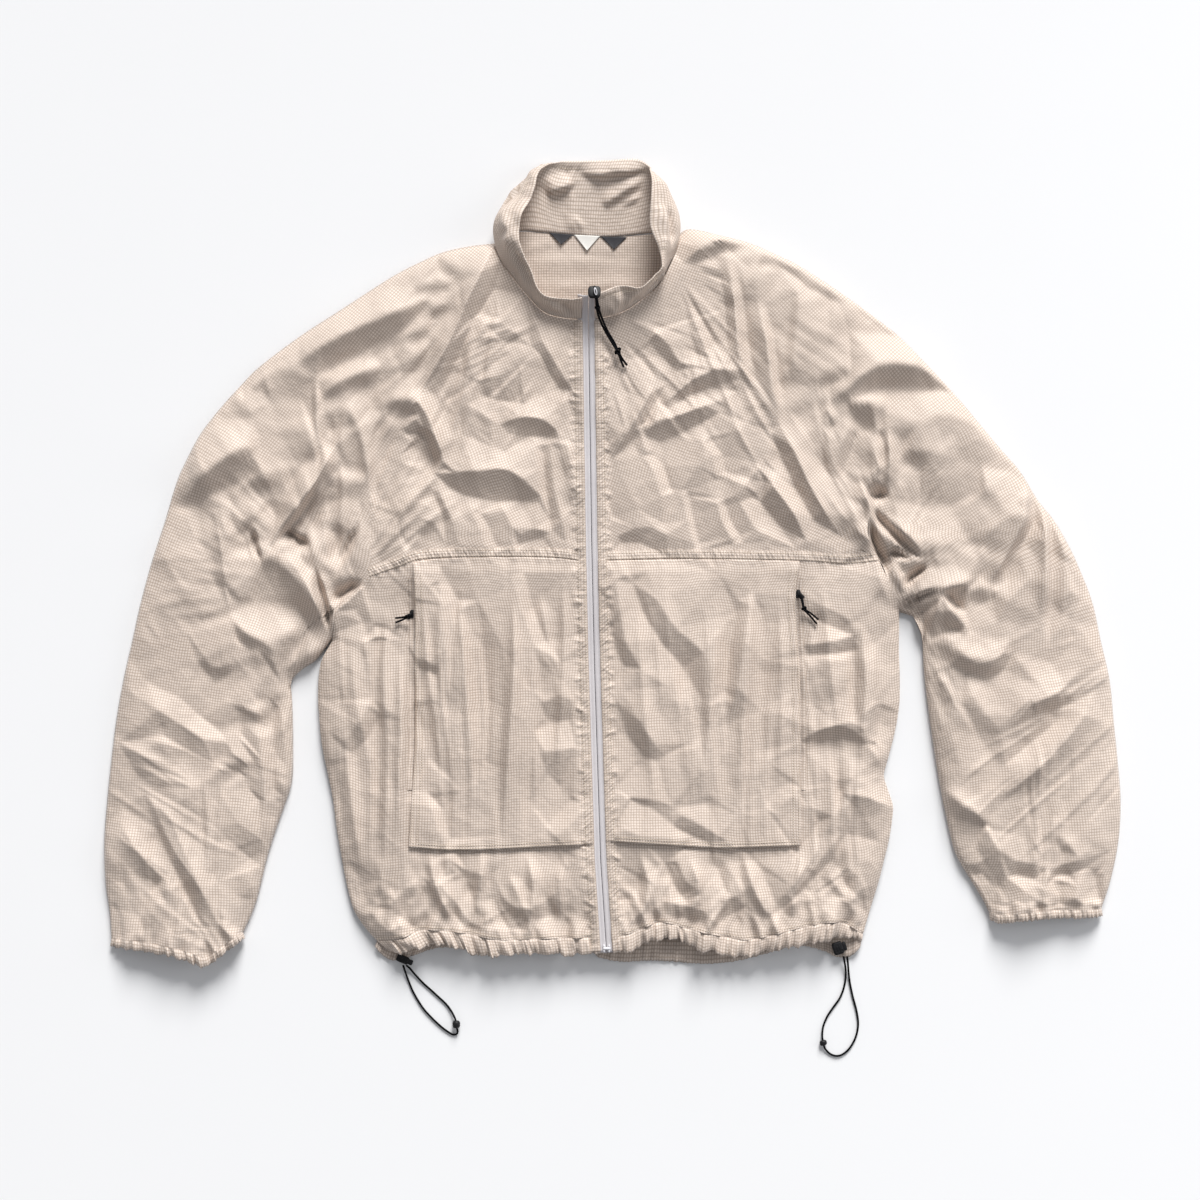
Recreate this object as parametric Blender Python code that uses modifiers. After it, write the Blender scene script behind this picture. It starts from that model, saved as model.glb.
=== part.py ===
"""Windbreaker jacket laid flat on its back: cloth pieces, zips, cords and trims.

Outlines and folds are given on a layout sheet, in millimetres: x to the right, y down
towards the hem, z up from the table. The sheet point SHEET_ORIGIN lies over the part's
origin, so world X is to the right, world Y is towards the collar and world Z is up.
"""
import math

import bmesh
import bpy
import numpy as np
from mathutils import Vector
from mathutils.bvhtree import BVHTree

# ------------------------------------------------------------ driving sizes (millimetres)
MM = 0.001
SHEET_ORIGIN = (600.0, 600.0)
CLOTH = 1.2              # wall of a single layer
DOUBLE_CLOTH = 1.8       # wall of collar, hem and cuff casings
SEAM_GAP = 0.3
EDGE_LIFT = 3.0          # height of the back at the side folds
EDGE_ROLL = 26.0         # distance in which the back rolls down to the table
SEAT = EDGE_LIFT + 2.5 * CLOTH + SEAM_GAP    # height of the fronts' outer face at the side folds
LOFT = 15.0              # rise of the fronts over the back
LOFT_REACH = 44.0        # distance from a side fold to the full rise
FOLD_FADE = 16.0         # folds grow from nothing over this distance from an edge
LOWEST_FRONT = 14.5      # the fronts never sag lower than this away from the edges
ZIP_HALF = 6.3           # half of the zip's visible width
ZIP_CALM = 20.0          # folds die out this near the zip
POCKET_STAND = 1.6       # gap between an overlay pocket and its front at the edges
POCKET_DEPTH = 2.2       # further gap inside the pocket
POCKET_LIFT = 1.0        # further gap at the pocket's free lower edge
POCKET_REACH = 9.0       # distance from an edge to the pocket's full depth
CORD_RADIUS = 1.0
PULL_RADIUS = 1.1        # each strand of the knotted pulls
COLLAR_INSET = 0.7       # the collar's lower edge stands this far inside the neck seam
TAPE = 1.0
FOLD_TAPER = 0.35        # share of a fold's length over which each end dies away

# ------------------------------------------------------------ outlines on the sheet
ZIP_LINE = ((587, 297), (588.5, 321), (591.6, 540), (594.3, 660), (600.6, 860), (606.6, 951))

LEFT_OUTER = (
    (497, 243), (470, 246), (443, 252), (420, 262), (400, 272), (380, 284), (340, 310), (300, 336),
    (260, 366), (240, 386), (220, 408), (200, 434), (186, 460), (176, 483), (165, 520), (152, 560),
    (141, 600), (132, 640), (123, 680), (116, 720), (111, 760), (107, 800), (104, 840), (105, 880),
    (109, 910), (111, 938))
LEFT_INNER = (
    (332, 640), (326, 648), (315, 661), (300, 671), (290, 684), (292, 700), (293, 740), (292, 780),
    (284, 806), (275, 832), (267, 858), (258, 895), (251, 915), (243, 932))
LEFT_SIDE = (
    (332, 640), (321, 662), (318, 690), (319, 715), (322, 745), (328, 775), (333, 800), (337, 830),
    (343, 865), (348, 890), (354, 910), (364, 926), (377, 941))
LEFT_RAGLAN = (
    (497, 243), (482, 275), (466, 308), (450, 345), (425, 390), (405, 425), (385, 455), (372, 490),
    (371, 530), (371, 576))
LEFT_UNDERARM = ((371, 576), (352, 594), (338, 612), (332, 640))

RIGHT_OUTER = (
    (676, 236), (690, 229), (720, 235), (750, 243), (780, 256), (800, 266), (840, 292), (880, 321),
    (900, 337), (920, 357), (940, 378), (960, 400), (980, 424), (1000, 448), (1020, 471), (1038, 500),
    (1054, 520), (1066, 540), (1076, 560), (1092, 600), (1101, 640), (1110, 680), (1114, 720),
    (1118, 760), (1121, 800), (1119, 840), (1111, 880), (1102, 908))
RIGHT_INNER = (
    (899, 612), (912, 616), (924, 624), (923, 650), (925, 680), (930, 720), (936, 760), (943, 800),
    (953, 845), (960, 862), (971, 880), (983, 900), (989, 912))
RIGHT_SIDE = (
    (899, 612), (899, 650), (900, 690), (898, 715), (893, 740), (887, 762), (884, 776), (888, 790),
    (893, 806), (892, 820), (889, 840), (884, 860), (879, 880), (873, 900), (867, 920), (863, 934))
RIGHT_RAGLAN = (
    (676, 236), (705, 256), (730, 290), (738, 345), (752, 388), (775, 420), (790, 450), (808, 488),
    (830, 526), (852, 545), (878, 560))
RIGHT_UNDERARM = ((878, 560), (886, 578), (895, 598), (899, 612))

LEFT_NECK = ((497, 243), (499, 259), (511, 277), (530, 300), (545, 314), (563, 319), (582, 321))
RIGHT_NECK = ((595, 321), (622, 314), (640, 303), (659, 286), (671, 264), (675, 252), (676, 236))
BACK_NECK = ((497, 243), (510, 234), (524, 231), (550, 233), (600, 237), (645, 234), (660, 233), (676, 236))

LEFT_YOKE = ((371, 576), (400, 566), (427, 558), (500, 556), (555, 557), (585.5, 561))
RIGHT_YOKE = ((598.2, 560), (660, 558), (700, 558), (800, 560), (845, 563), (878, 560))

LEFT_HEM_SEAM = (
    (377, 941), (404, 936), (420, 929), (440, 929), (466, 932), (500, 938), (545, 937), (599.5, 936))
LEFT_HEM_EDGE = (
    (388, 950), (400, 953), (420, 946), (440, 944), (466, 949), (480, 955), (525, 953), (575, 954), (600.6, 952))
RIGHT_HEM_SEAM = (
    (612.2, 936), (632, 931), (660, 921), (690, 928), (740, 938), (765, 935), (800, 926), (838, 921), (863, 934))
RIGHT_HEM_EDGE = (
    (613.2, 952), (628, 949), (660, 938), (674, 938), (700, 948), (740, 955), (770, 950), (800, 944),
    (830, 938), (846, 938), (862, 941))
BACK_HEM_SEAM = (
    (377, 941), (420, 938), (480, 938), (580, 937), (620, 938), (700, 938), (780, 937), (830, 937), (863, 934))
BACK_HEM_EDGE = (
    (375, 947), (383, 956), (394, 961), (410, 957), (440, 948), (480, 950), (580, 951), (600, 958), (622, 962),
    (656, 961), (704, 964), (739, 961), (773, 952), (800, 946), (826, 952), (836, 957), (850, 957), (860, 948))

LEFT_CUFF_SEAM = ((111, 938), (140, 940), (170, 945), (195, 952), (208, 955), (225, 944), (243, 932))
LEFT_CUFF_EDGE = ((110, 946), (140, 949.5), (170, 954), (195, 962), (208, 965), (227, 951), (245, 938))
RIGHT_CUFF_SEAM = ((1102, 908), (1080, 909), (1050, 909), (1020, 912), (1000, 914), (989, 912))
RIGHT_CUFF_EDGE = ((1103, 916), (1080, 917.5), (1050, 917.5), (1020, 920), (1000, 922.5), (990, 920))

LEFT_POCKET = {
    "top": ((414, 567), (500, 558.5), (585.5, 563)),
    "outer": ((414, 567), (415, 610), (415, 750), (410, 846)),
    "bottom": ((410, 846), (450, 849), (500, 848), (592.5, 843))}
RIGHT_POCKET = {
    "top": ((598.2, 562.5), (700, 560.5), (799, 563)),
    "outer": ((799, 563), (795, 596), (799.5, 680), (800, 780), (799.5, 844.5)),
    "bottom": ((607, 840), (700, 846), (731, 847), (799.5, 844.5))}

# ------------------------------------------------------------ folds
# Each row: height of the crest, how far its flank falls to the left and to the right of
# its line (seen along the line on the sheet), and the points of the line.
FOLDS = (
    # left sleeve and shoulder
    (17, 46, 27, ((292, 366), (320, 350), (345, 336), (380, 321), (405, 311), (428, 301))),
    (10, 18, 24, ((318, 402), (340, 383), (362, 373), (386, 366))),
    (15, 16, 42, ((318, 378), (317, 415), (322, 445), (329, 460), (318, 482), (302, 508), (286, 531), (263, 564))),
    (15, 40, 33, ((180, 505), (205, 478), (232, 456), (250, 447), (264, 449))),
    (9, 22, 18, ((228, 500), (245, 485), (262, 480), (276, 492))),
    (14, 30, 26, ((262, 562), (284, 556), (300, 570), (312, 590), (322, 612), (331, 632))),
    (10, 36, 15, ((232, 616), (246, 631), (262, 639), (285, 637), (308, 618))),
    (8, 26, 16, ((203, 660), (224, 668), (250, 655), (284, 642))),
    (9, 25, 22, ((140, 738), (168, 743), (200, 756), (225, 769), (248, 764))),
    (9, 24, 22, ((148, 782), (160, 815), (176, 848), (200, 882), (222, 922))),
    (7, 22, 18, ((120, 820), (140, 850), (160, 872), (172, 885))),
    (7, 30, 12, ((215, 510), (222, 540), (226, 580), (231, 612))),
    # left body above the yoke
    (14, 30, 22, ((496, 240), (482, 275), (466, 308), (448, 348), (421, 394))),
    (12, 18, 26, ((385, 404), (400, 400), (420, 404), (434, 430), (446, 470))),
    (13, 45, 28, ((440, 468), (475, 473), (505, 470), (525, 484), (543, 501))),
    (8, 22, 14, ((500, 424), (528, 418), (548, 424), (562, 438))),
    (8, 16, 14, ((556, 425), (564, 462), (570, 495), (578, 520))),
    (8, 18, 14, ((378, 562), (404, 512), (430, 480))),
    (7, 18, 14, ((392, 572), (418, 538), (444, 505))),
    (6, 14, 16, ((476, 336), (468, 368), (462, 400), (455, 440))),
    (8, 20, 18, ((340, 400), (356, 420), (366, 452), (371, 490))),
    # right body above the yoke
    (9, 20, 14, ((686, 262), (708, 246), (728, 240), (748, 242))),
    (5, 7, 28, ((727, 254), (733, 300), (736, 345), (741, 370), (752, 389))),
    (6, 8, 24, ((755, 300), (764, 335), (771, 380), (777, 424))),
    (9, 30, 22, ((666, 403), (690, 383), (715, 370), (742, 380))),
    (9, 26, 20, ((632, 436), (655, 426), (690, 412), (718, 404))),
    (7, 14, 14, ((655, 384), (636, 420), (610, 460))),
    (10, 30, 34, ((757, 464), (772, 486), (790, 510), (806, 538))),
    (9, 24, 22, ((778, 424), (791, 450), (806, 482), (824, 514), (838, 534))),
    (7, 14, 16, ((812, 396), (820, 436), (832, 481))),
    # right sleeve
    (16, 38, 25, ((829, 402), (850, 384), (875, 368), (905, 367), (930, 375), (952, 387))),
    (10, 20, 30, ((843, 400), (866, 403), (889, 407))),
    (11, 16, 24, ((880, 425), (887, 450), (887, 474), (884, 496))),
    (13, 10, 30, ((856, 478), (868, 507), (867, 534), (875, 550))),
    (6, 16, 24, ((864, 536), (872, 556), (880, 582), (890, 606))),
    (11, 18, 11, ((874, 512), (884, 526), (904, 541), (924, 558))),
    (11, 26, 9, ((900, 607), (922, 599), (942, 588), (962, 584), (978, 575))),
    (12, 12, 26, ((930, 634), (940, 597), (958, 622), (968, 632))),
    (9, 24, 20, ((928, 640), (955, 650), (980, 660), (1000, 654), (1010, 640))),
    (12, 10, 34, ((1027, 482), (1024, 512), (1010, 545), (985, 590))),
    (9, 12, 16, ((1040, 498), (1044, 540), (1046, 590), (1042, 630))),
    (9, 26, 16, ((1010, 728), (1030, 703), (1056, 692), (1078, 668))),
    (10, 22, 26, ((1090, 705), (1060, 742), (1025, 776), (992, 800))),
    (8, 20, 14, ((940, 786), (962, 806), (988, 824))),
    (6, 30, 20, ((900, 455), (925, 452), (960, 462))),
    # lower fronts
    (8, 24, 20, ((352, 640), (356, 690), (366, 740), (372, 790))),
    (7, 12, 22, ((404, 640), (404, 720), (400, 800), (392, 890))),
    (7, 18, 16, ((450, 590), (455, 650), (452, 720))),
    (8, 26, 24, ((512, 590), (516, 680), (512, 760), (508, 830))),
    (7, 16, 18, ((540, 590), (548, 640), (562, 680))),
    (8, 24, 24, ((640, 580), (655, 640), (662, 720))),
    (8, 24, 22, ((752, 600), (742, 660), (728, 730))),
    (9, 30, 24, ((800, 742), (822, 728), (845, 726), (865, 742), (884, 772))),
    (8, 20, 22, ((838, 792), (866, 796), (893, 806))),
    (9, 22, 20, ((840, 830), (812, 868), (786, 900))),
    (8, 16, 22, ((874, 640), (872, 700), (868, 735))),
    (7, 16, 14, ((420, 870), (440, 895), (452, 925))),
    (7, 16, 14, ((508, 870), (522, 900), (532, 925))),
    (7, 16, 14, ((672, 870), (660, 900), (652, 920))),
)

# ------------------------------------------------------------ collar sections
NECK_MIDDLE = (588.0, 268.0)
# Each row, round the neck from the zip's left side: the neck seam, the wall's middle and
# its rim. x and y are on the sheet; z is above the front at the seam, or above the table.
COLLAR = (
    # base,    seam x, y, z     middle x, y, z    rim x, y, z
    ("front", 581.6, 320.6, 0, 581.8, 309, 9, 582, 298, 19),
    ("front", 563, 318.6, 0, 564, 310, 10, 565, 301, 20),
    ("front", 545, 313.4, 0, 544, 306, 11, 543, 297, 21),
    ("front", 530, 299.6, 0, 530, 287, 12, 531, 273, 22),
    ("front", 511.4, 276.6, 0, 514, 262, 13, 522, 248, 23),
    ("front", 499.6, 258.6, 0, 504, 243, 9, 520.5, 233, 21),
    ("front", 498, 243.6, 0, 497, 220, 10, 522, 217, 27),
    ("table", 510, 232.4, 2, 509, 201, 12, 528, 203, 31),
    ("table", 524, 229.4, 0.4, 526, 184, 6, 535, 188, 24),
    ("table", 537, 230.8, 0.1, 538, 180, 2, 541, 172, 13),
    ("table", 552, 231.8, 0, 556, 190, 0, 557, 162, 5),
    ("table", 575, 233.4, 0, 578, 192, 0, 580, 160.6, 3),
    ("table", 602, 235.6, 0, 604, 193, 0, 608, 160, 2.5),
    ("table", 628, 234.2, 0, 630, 192, 0, 636, 159, 4),
    ("table", 645, 232.4, 0.2, 648, 188, 1.5, 648, 166, 10),
    ("table", 657, 231.8, 1, 662, 187, 7, 651, 178, 22),
    ("table", 668, 232.4, 3, 674, 203, 13, 650.5, 205, 32),
    ("front", 674.6, 238, 0, 677.4, 223, 9, 650, 230, 26),
    ("front", 674, 252, 0, 672.4, 243, 9, 657, 248, 22),
    ("front", 670.4, 263.6, 0, 668, 256, 12, 661, 263, 21),
    ("front", 658.6, 285.4, 0, 660.4, 280, 12, 659, 277, 22),
    ("front", 639.6, 302.4, 0, 641, 297, 12, 644, 291, 22),
    ("front", 621.6, 313.4, 0, 622, 304, 10, 622, 291, 20),
    ("front", 595.4, 320.6, 0, 595.6, 309, 9, 596, 297, 19),
)

# ------------------------------------------------------------ cords: routes chosen by hand (x, y, z)
LEFT_LOOP_A = (
    (403.0, 965.4, 5.2), (405, 972, 3.4), (408, 981, 1.6), (413.6, 994, 1.1), (422.5, 1008.5, 1.1),
    (431.4, 1018.5, 1.1), (440.4, 1027, 1.1), (447.5, 1032.4, 1.1), (453.2, 1035.4, 1.1), (456.6, 1034.6, 1.6),
    (457.6, 1031.6, 2.9), (456.9, 1029.0, 3.8))
LEFT_LOOP_B = (
    (455.4, 1020.2, 3.8), (454.0, 1017, 2.9), (450.8, 1011.4, 1.7), (445.6, 1004.6, 1.1), (438.6, 998, 1.1),
    (431.4, 991.4, 1.1), (422.5, 983.4, 1.2), (413.6, 973.6, 2.2), (409.6, 968.6, 3.6), (406.4, 965.4, 5.2))
RIGHT_LOOP_A = (
    (843.4, 956.4, 7.0), (844.6, 962, 5.6), (845.9, 970, 3.2), (846.0, 978, 1.5), (844.6, 987, 1.1),
    (840.6, 998, 1.1), (834, 1007.5, 1.1), (828, 1016.5, 1.1), (823.9, 1026, 1.1), (822.6, 1034, 1.8),
    (822.8, 1039.6, 2.7))
RIGHT_LOOP_B = (
    (824.4, 1046.9, 2.7), (826.2, 1050.4, 1.8), (831, 1054.9, 1.1), (837, 1056.7, 1.1), (843.3, 1055, 1.1),
    (850.4, 1048.4, 1.1), (856.2, 1037.6, 1.1), (858.6, 1025, 1.1), (857, 1011.8, 1.1), (853, 996.5, 1.1),
    (850.4, 984, 1.2), (849.0, 974, 2.6), (848.0, 964, 5.2), (847.0, 956.4, 7.0))
# The front zip's slider, the pin its tab turns on, and the doubled cord with two knots.
ZIP_SLIDER = (594.4, 296.0, 41.4)
SLIDER_TILT = 20.0
ZIP_PIVOT = (594.4, 291.4, 46.2)
PULL_STRANDS = (
    ((596.0, 301.4, 45.6), (596.8, 309.8, 38.6), (598.6, 318.6, 30.2), (604.6, 331.6, 22.2),
     (612.4, 344.6, 20.2), (617.6, 353.4, 21.6), (620.6, 361.0, 20.4), (623.6, 368.4, 19.8)),
    ((596.8, 301.4, 45.6), (598.4, 309.8, 38.6), (601.2, 318.6, 30.2), (607.0, 331.6, 22.2),
     (614.6, 344.6, 20.2), (618.4, 353.4, 21.6), (622.6, 360.6, 20.4), (627.0, 366.6, 19.8)))
PULL_KNOTS = (((597.6, 310.2, 38.2), (6.2, 6.4, 5.4), 0), ((618.0, 353.0, 21.9), (7.0, 9.4, 6.0), 25))
POCKET_PULLS = {
    "left": ((((412.6, 614.6, 20.0), (409.2, 615.9, 21.0), (402.6, 617.4, 19.9), (396.2, 618.0, 19.9)),
              ((412.6, 615.2, 20.0), (409.2, 616.8, 21.0), (402.8, 620.0, 19.9), (396.4, 622.4, 19.9))),
             (409.2, 616.4, 21.7)),
    "right": ((((799.0, 594.8, 20.0), (801.6, 600.6, 20.0), (803.4, 608.4, 21.0), (810.6, 613.8, 19.9),
                (817.4, 619.6, 19.9)),
               ((798.6, 595.4, 20.0), (801.0, 601.0, 20.0), (802.8, 609.0, 21.0), (809.6, 616.4, 19.9),
                (815.8, 623.8, 19.9))),
              (803.2, 608.8, 21.7))}


# ============================================================ sheet geometry
def smooth_line(points, cells):
    """cells + 1 points at equal steps along the smooth curve through the given points."""
    given = np.asarray(points, float)
    ends = np.vstack([2 * given[0] - given[1], given, 2 * given[-1] - given[-2]])
    t = np.linspace(0, 1, 13)[:-1, None]
    runs = []
    for a, b, c, d in zip(ends[:-3], ends[1:-2], ends[2:-1], ends[3:]):
        runs.append(0.5 * (2 * b + (c - a) * t + (2 * a - 5 * b + 4 * c - d) * t ** 2
                           + (3 * b - a - 3 * c + d) * t ** 3))
    dense = np.vstack(runs + [given[-1:]])
    steps = np.linalg.norm(np.diff(dense, axis=0), axis=1)
    along = np.concatenate([[0], np.cumsum(steps)])
    wanted = np.linspace(0, along[-1], cells + 1)
    return np.column_stack([np.interp(wanted, along, dense[:, k]) for k in range(dense.shape[1])])


def joined(*lines):
    """One line from several that share their end points."""
    return np.vstack([lines[0]] + [line[1:] for line in lines[1:]])


def subdivided(line, parts):
    """The same straight runs, each cut into equal parts."""
    t = np.arange(parts)[:, None] / parts
    runs = [a + (b - a) * t for a, b in zip(line[:-1], line[1:])]
    return np.vstack(runs + [line[-1:]])


def ramp(value):
    value = np.clip(value, 0, 1)
    return value * value * (3 - 2 * value)


def nearest(x, y, line):
    """Distance to a line of points, the side it lies on (+1 right) and the share along it."""
    a, b = line[:-1], line[1:]
    run = b - a
    length = np.linalg.norm(run, axis=1)
    px, py = x[:, None] - a[:, 0], y[:, None] - a[:, 1]
    t = np.clip((px * run[:, 0] + py * run[:, 1]) / length ** 2, 0, 1)
    distance = np.hypot(px - t * run[:, 0], py - t * run[:, 1])
    pick = np.argmin(distance, axis=1)
    rows = np.arange(len(x))
    side = np.sign(run[pick, 0] * py[rows, pick] - run[pick, 1] * px[rows, pick])
    start = np.concatenate([[0], np.cumsum(length)[:-1]])
    along = (start[pick] + t[rows, pick] * length[pick]) / length.sum()
    return distance[rows, pick], side, along


EDGE_CELLS = 60
CLOSED_EDGES = [smooth_line(line, EDGE_CELLS) for line in
                (LEFT_OUTER, LEFT_INNER, LEFT_SIDE, RIGHT_OUTER, RIGHT_INNER, RIGHT_SIDE)]
FOLD_CELLS = 12
FOLD_LINES = [(row[0], row[1], row[2], smooth_line(row[3], FOLD_CELLS)) for row in FOLDS]


def edge_distance(x, y):
    return np.min([nearest(x, y, line)[0] for line in CLOSED_EDGES], axis=0)


def zip_x(y):
    line = np.asarray(ZIP_LINE)
    return np.interp(y, line[:, 1], line[:, 0])


def fold_height(x, y):
    """Sum of the folds: straight flanks that meet in a crest and die away at the ends."""
    total = np.zeros(len(x))
    for height, left, right, line in FOLD_LINES:
        distance, side, along = nearest(x, y, line)
        taper = ramp(np.minimum(along, 1 - along) / FOLD_TAPER)
        reach = np.where(side > 0, right, left) * (0.35 + 0.65 * taper)
        total += height * taper * np.clip(1 - distance / reach, 0, 1) ** 1.2
    return total


def front_height(x, y):
    """Height of the outer face of fronts and upper sleeves over the table."""
    x, y = np.atleast_1d(np.asarray(x, float)), np.atleast_1d(np.asarray(y, float))
    inwards = edge_distance(x, y)
    rise = LOFT * np.sqrt(1 - (1 - np.clip(inwards / LOFT_REACH, 0, 1)) ** 2)
    zip_calm = 0.25 + 0.75 * ramp((np.abs(x - zip_x(y)) - ZIP_HALF) / ZIP_CALM)
    folds = fold_height(x, y) * ramp(inwards / FOLD_FADE) * zip_calm
    floor = SEAT + (LOWEST_FRONT - SEAT) * rise / LOFT
    return np.maximum(SEAT + rise + folds - 3.0 * ramp(inwards / LOFT_REACH), floor)


def back_height(x, y):
    """Height of the under face of the back and lower sleeves: flat, rolled up at the sides."""
    x, y = np.atleast_1d(np.asarray(x, float)), np.atleast_1d(np.asarray(y, float))
    return EDGE_LIFT * (1 - np.clip(edge_distance(x, y) / EDGE_ROLL, 0, 1)) ** 2


def pocket_inside(x, y):
    """0 outside the overlay pockets and at their edges, 1 well inside them."""
    inside = np.zeros(len(x))
    for pocket in (LEFT_POCKET, RIGHT_POCKET):
        outer = smooth_line(pocket["outer"], 20)
        bottom = smooth_line(pocket["bottom"], 20)
        from_outer = np.abs(x - np.interp(y, outer[:, 1], outer[:, 0]))
        low, high = sorted((outer[:, 0].mean(), float(zip_x(700))))
        between = (x > low) & (x < high)
        from_bottom = np.interp(x, bottom[:, 0], bottom[:, 1]) - y
        from_zip = np.abs(x - zip_x(y)) - ZIP_HALF
        depth = np.minimum.reduce([from_outer, from_bottom, y - 561.0, from_zip])
        inside = np.maximum(inside, np.where(between, ramp(depth / POCKET_REACH), 0))
    return inside


def lower_front_height(x, y):
    x, y = np.atleast_1d(x), np.atleast_1d(y)
    return front_height(x, y) - POCKET_DEPTH * pocket_inside(x, y)


def pocket_height(x, y):
    x, y = np.atleast_1d(x), np.atleast_1d(y)
    return front_height(x, y) + POCKET_STAND + CLOTH + POCKET_LIFT * ramp((y - 800) / 45)


def coons(top, bottom, left, right):
    """Grid of sheet points between four lines: [row from top to bottom][column]."""
    u = np.linspace(0, 1, len(top))[None, :, None]
    v = np.linspace(0, 1, len(left))[:, None, None]
    between_rows = (1 - v) * top[None] + v * bottom[None]
    between_columns = (1 - u) * left[:, None] + u * right[:, None]
    corners = (1 - v) * ((1 - u) * top[0] + u * top[-1]) + v * ((1 - u) * bottom[0] + u * bottom[-1])
    return between_rows + between_columns - corners


def inset(grid, amount):
    """Draws a grid's border in towards its inner points, to leave a seam's gap."""
    grid = grid.copy()
    rows, columns = grid.shape[:2]
    moved = grid.copy()
    for r in range(rows):
        for c in range(columns):
            inner_r, inner_c = min(max(r, 1), rows - 2), min(max(c, 1), columns - 2)
            if (inner_r, inner_c) != (r, c):
                step = grid[inner_r, inner_c] - grid[r, c]
                moved[r, c] += step / max(np.linalg.norm(step), 1e-6) * amount * (
                    1.41 if inner_r != r and inner_c != c else 1.0)
    return moved


# ============================================================ Blender helpers
def clear_scene():
    for item in list(bpy.data.objects):
        bpy.data.objects.remove(item, do_unlink=True)


def collection(name):
    made = bpy.data.collections.new(name)
    bpy.context.scene.collection.children.link(made)
    return made


def material(name, colour, roughness, metallic=0.0):
    made = bpy.data.materials.new(name)
    made.use_nodes = True
    shader = made.node_tree.nodes["Principled BSDF"]
    shader.inputs["Base Color"].default_value = (*colour, 1)
    shader.inputs["Roughness"].default_value = roughness
    shader.inputs["Metallic"].default_value = metallic
    return made


def world(x, y, z):
    return ((x - SHEET_ORIGIN[0]) * MM, (SHEET_ORIGIN[1] - y) * MM, z * MM)


def add_object(name, mesh, finish):
    made = bpy.data.objects.new(name, mesh)
    made.data.materials.clear()
    made.data.materials.append(finish)
    PARTS.objects.link(made)
    return made


def grid_mesh(name, points, closed=False):
    """A grid surface through points[row][column] = (x, y, z) on the sheet."""
    rows, columns = points.shape[:2]
    bm = bmesh.new()
    bmesh.ops.create_grid(bm, x_segments=columns - 1, y_segments=rows - 1, size=0.5)
    for vert in bm.verts:
        column = round((vert.co.x + 0.5) * (columns - 1))
        row = round((0.5 - vert.co.y) * (rows - 1))
        vert.co = world(*points[row, column])
    if closed:
        bmesh.ops.remove_doubles(bm, verts=bm.verts, dist=1e-5)
    mesh = bpy.data.meshes.new(name)
    bm.to_mesh(mesh)
    bm.free()
    return mesh


def face_towards(mesh, outwards):
    """Turns the faces so that most of them look where outwards(centre) points."""
    score = sum(face.normal.dot(outwards(face.center)) * face.area for face in mesh.polygons)
    if score < 0:
        mesh.flip_normals()


def shell(name, points, thickness, finish, outwards, closed=False):
    """A cloth wall that thickens inwards from a surface whose outer side is known."""
    mesh = grid_mesh(name, points, closed)
    face_towards(mesh, outwards)
    made = add_object(name, mesh, finish)
    wall = made.modifiers.new("wall", "SOLIDIFY")
    wall.thickness = thickness * MM
    wall.offset = -1.0
    wall.use_even_offset = False
    wall.use_rim = True
    mesh.shade_smooth()
    return made


STEEPEST = 0.42          # a draped wall thickens straight down, up to 1 / STEEPEST times
STEEPEST_EDGE = 0.8      # the same at a piece's edges


def draped(name, points, thickness, finish, under=False):
    """A cloth wall whose second face lies straight below the given one, or above an under face.

    Its sides stay upright, so pieces that are apart on the sheet stay apart at any slope.
    """
    mesh = grid_mesh(name, points)
    bm = bmesh.new()
    bm.from_mesh(mesh)
    bm.normal_update()
    wall = {}
    for vert in bm.verts:
        least = STEEPEST_EDGE if vert.is_boundary else STEEPEST
        wall[vert.index] = thickness * MM / max(abs(vert.normal.z), least)
    first = list(bm.verts)
    made = bmesh.ops.extrude_face_region(bm, geom=bm.faces[:], use_keep_orig=True)["geom"]
    fresh = [item for item in made if isinstance(item, bmesh.types.BMVert)]
    for vert, source in zip(fresh, matching(first, fresh)):
        vert.co.z = source.co.z + (1 if under else -1) * wall[source.index]
    bmesh.ops.recalc_face_normals(bm, faces=bm.faces)
    bm.to_mesh(mesh)
    bm.free()
    mesh.shade_smooth()
    mesh.set_sharp_from_angle(angle=math.radians(50))
    return add_object(name, mesh, finish)


def matching(first, fresh):
    """The original of each extruded point, which still lies on it."""
    by_place = {tuple(round(c, 7) for c in vert.co): vert for vert in first}
    return [by_place[tuple(round(c, 7) for c in vert.co)] for vert in fresh]


def cloth_panel(name, lines, height, finish, thickness=CLOTH, under=False):
    """A cut piece between four sheet lines (top, bottom, left, right)."""
    flat = inset(coons(*lines), SEAM_GAP * 0.6)
    z = height(flat[..., 0].ravel(), flat[..., 1].ravel()).reshape(flat.shape[:2])
    points = np.dstack([flat, z])
    return draped(name, points, thickness, finish, under)


def top_of(name):
    """A function that gives the height of a finished piece's upper face over the sheet."""
    bpy.context.view_layer.update()
    tree = BVHTree.FromObject(bpy.data.objects[name], bpy.context.evaluated_depsgraph_get())

    def height(x, y):
        hit = tree.ray_cast(Vector(world(x, y, 200.0)), Vector((0, 0, -1)))[0]
        return hit.z / MM if hit else 0.0
    return np.vectorize(height)


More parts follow.
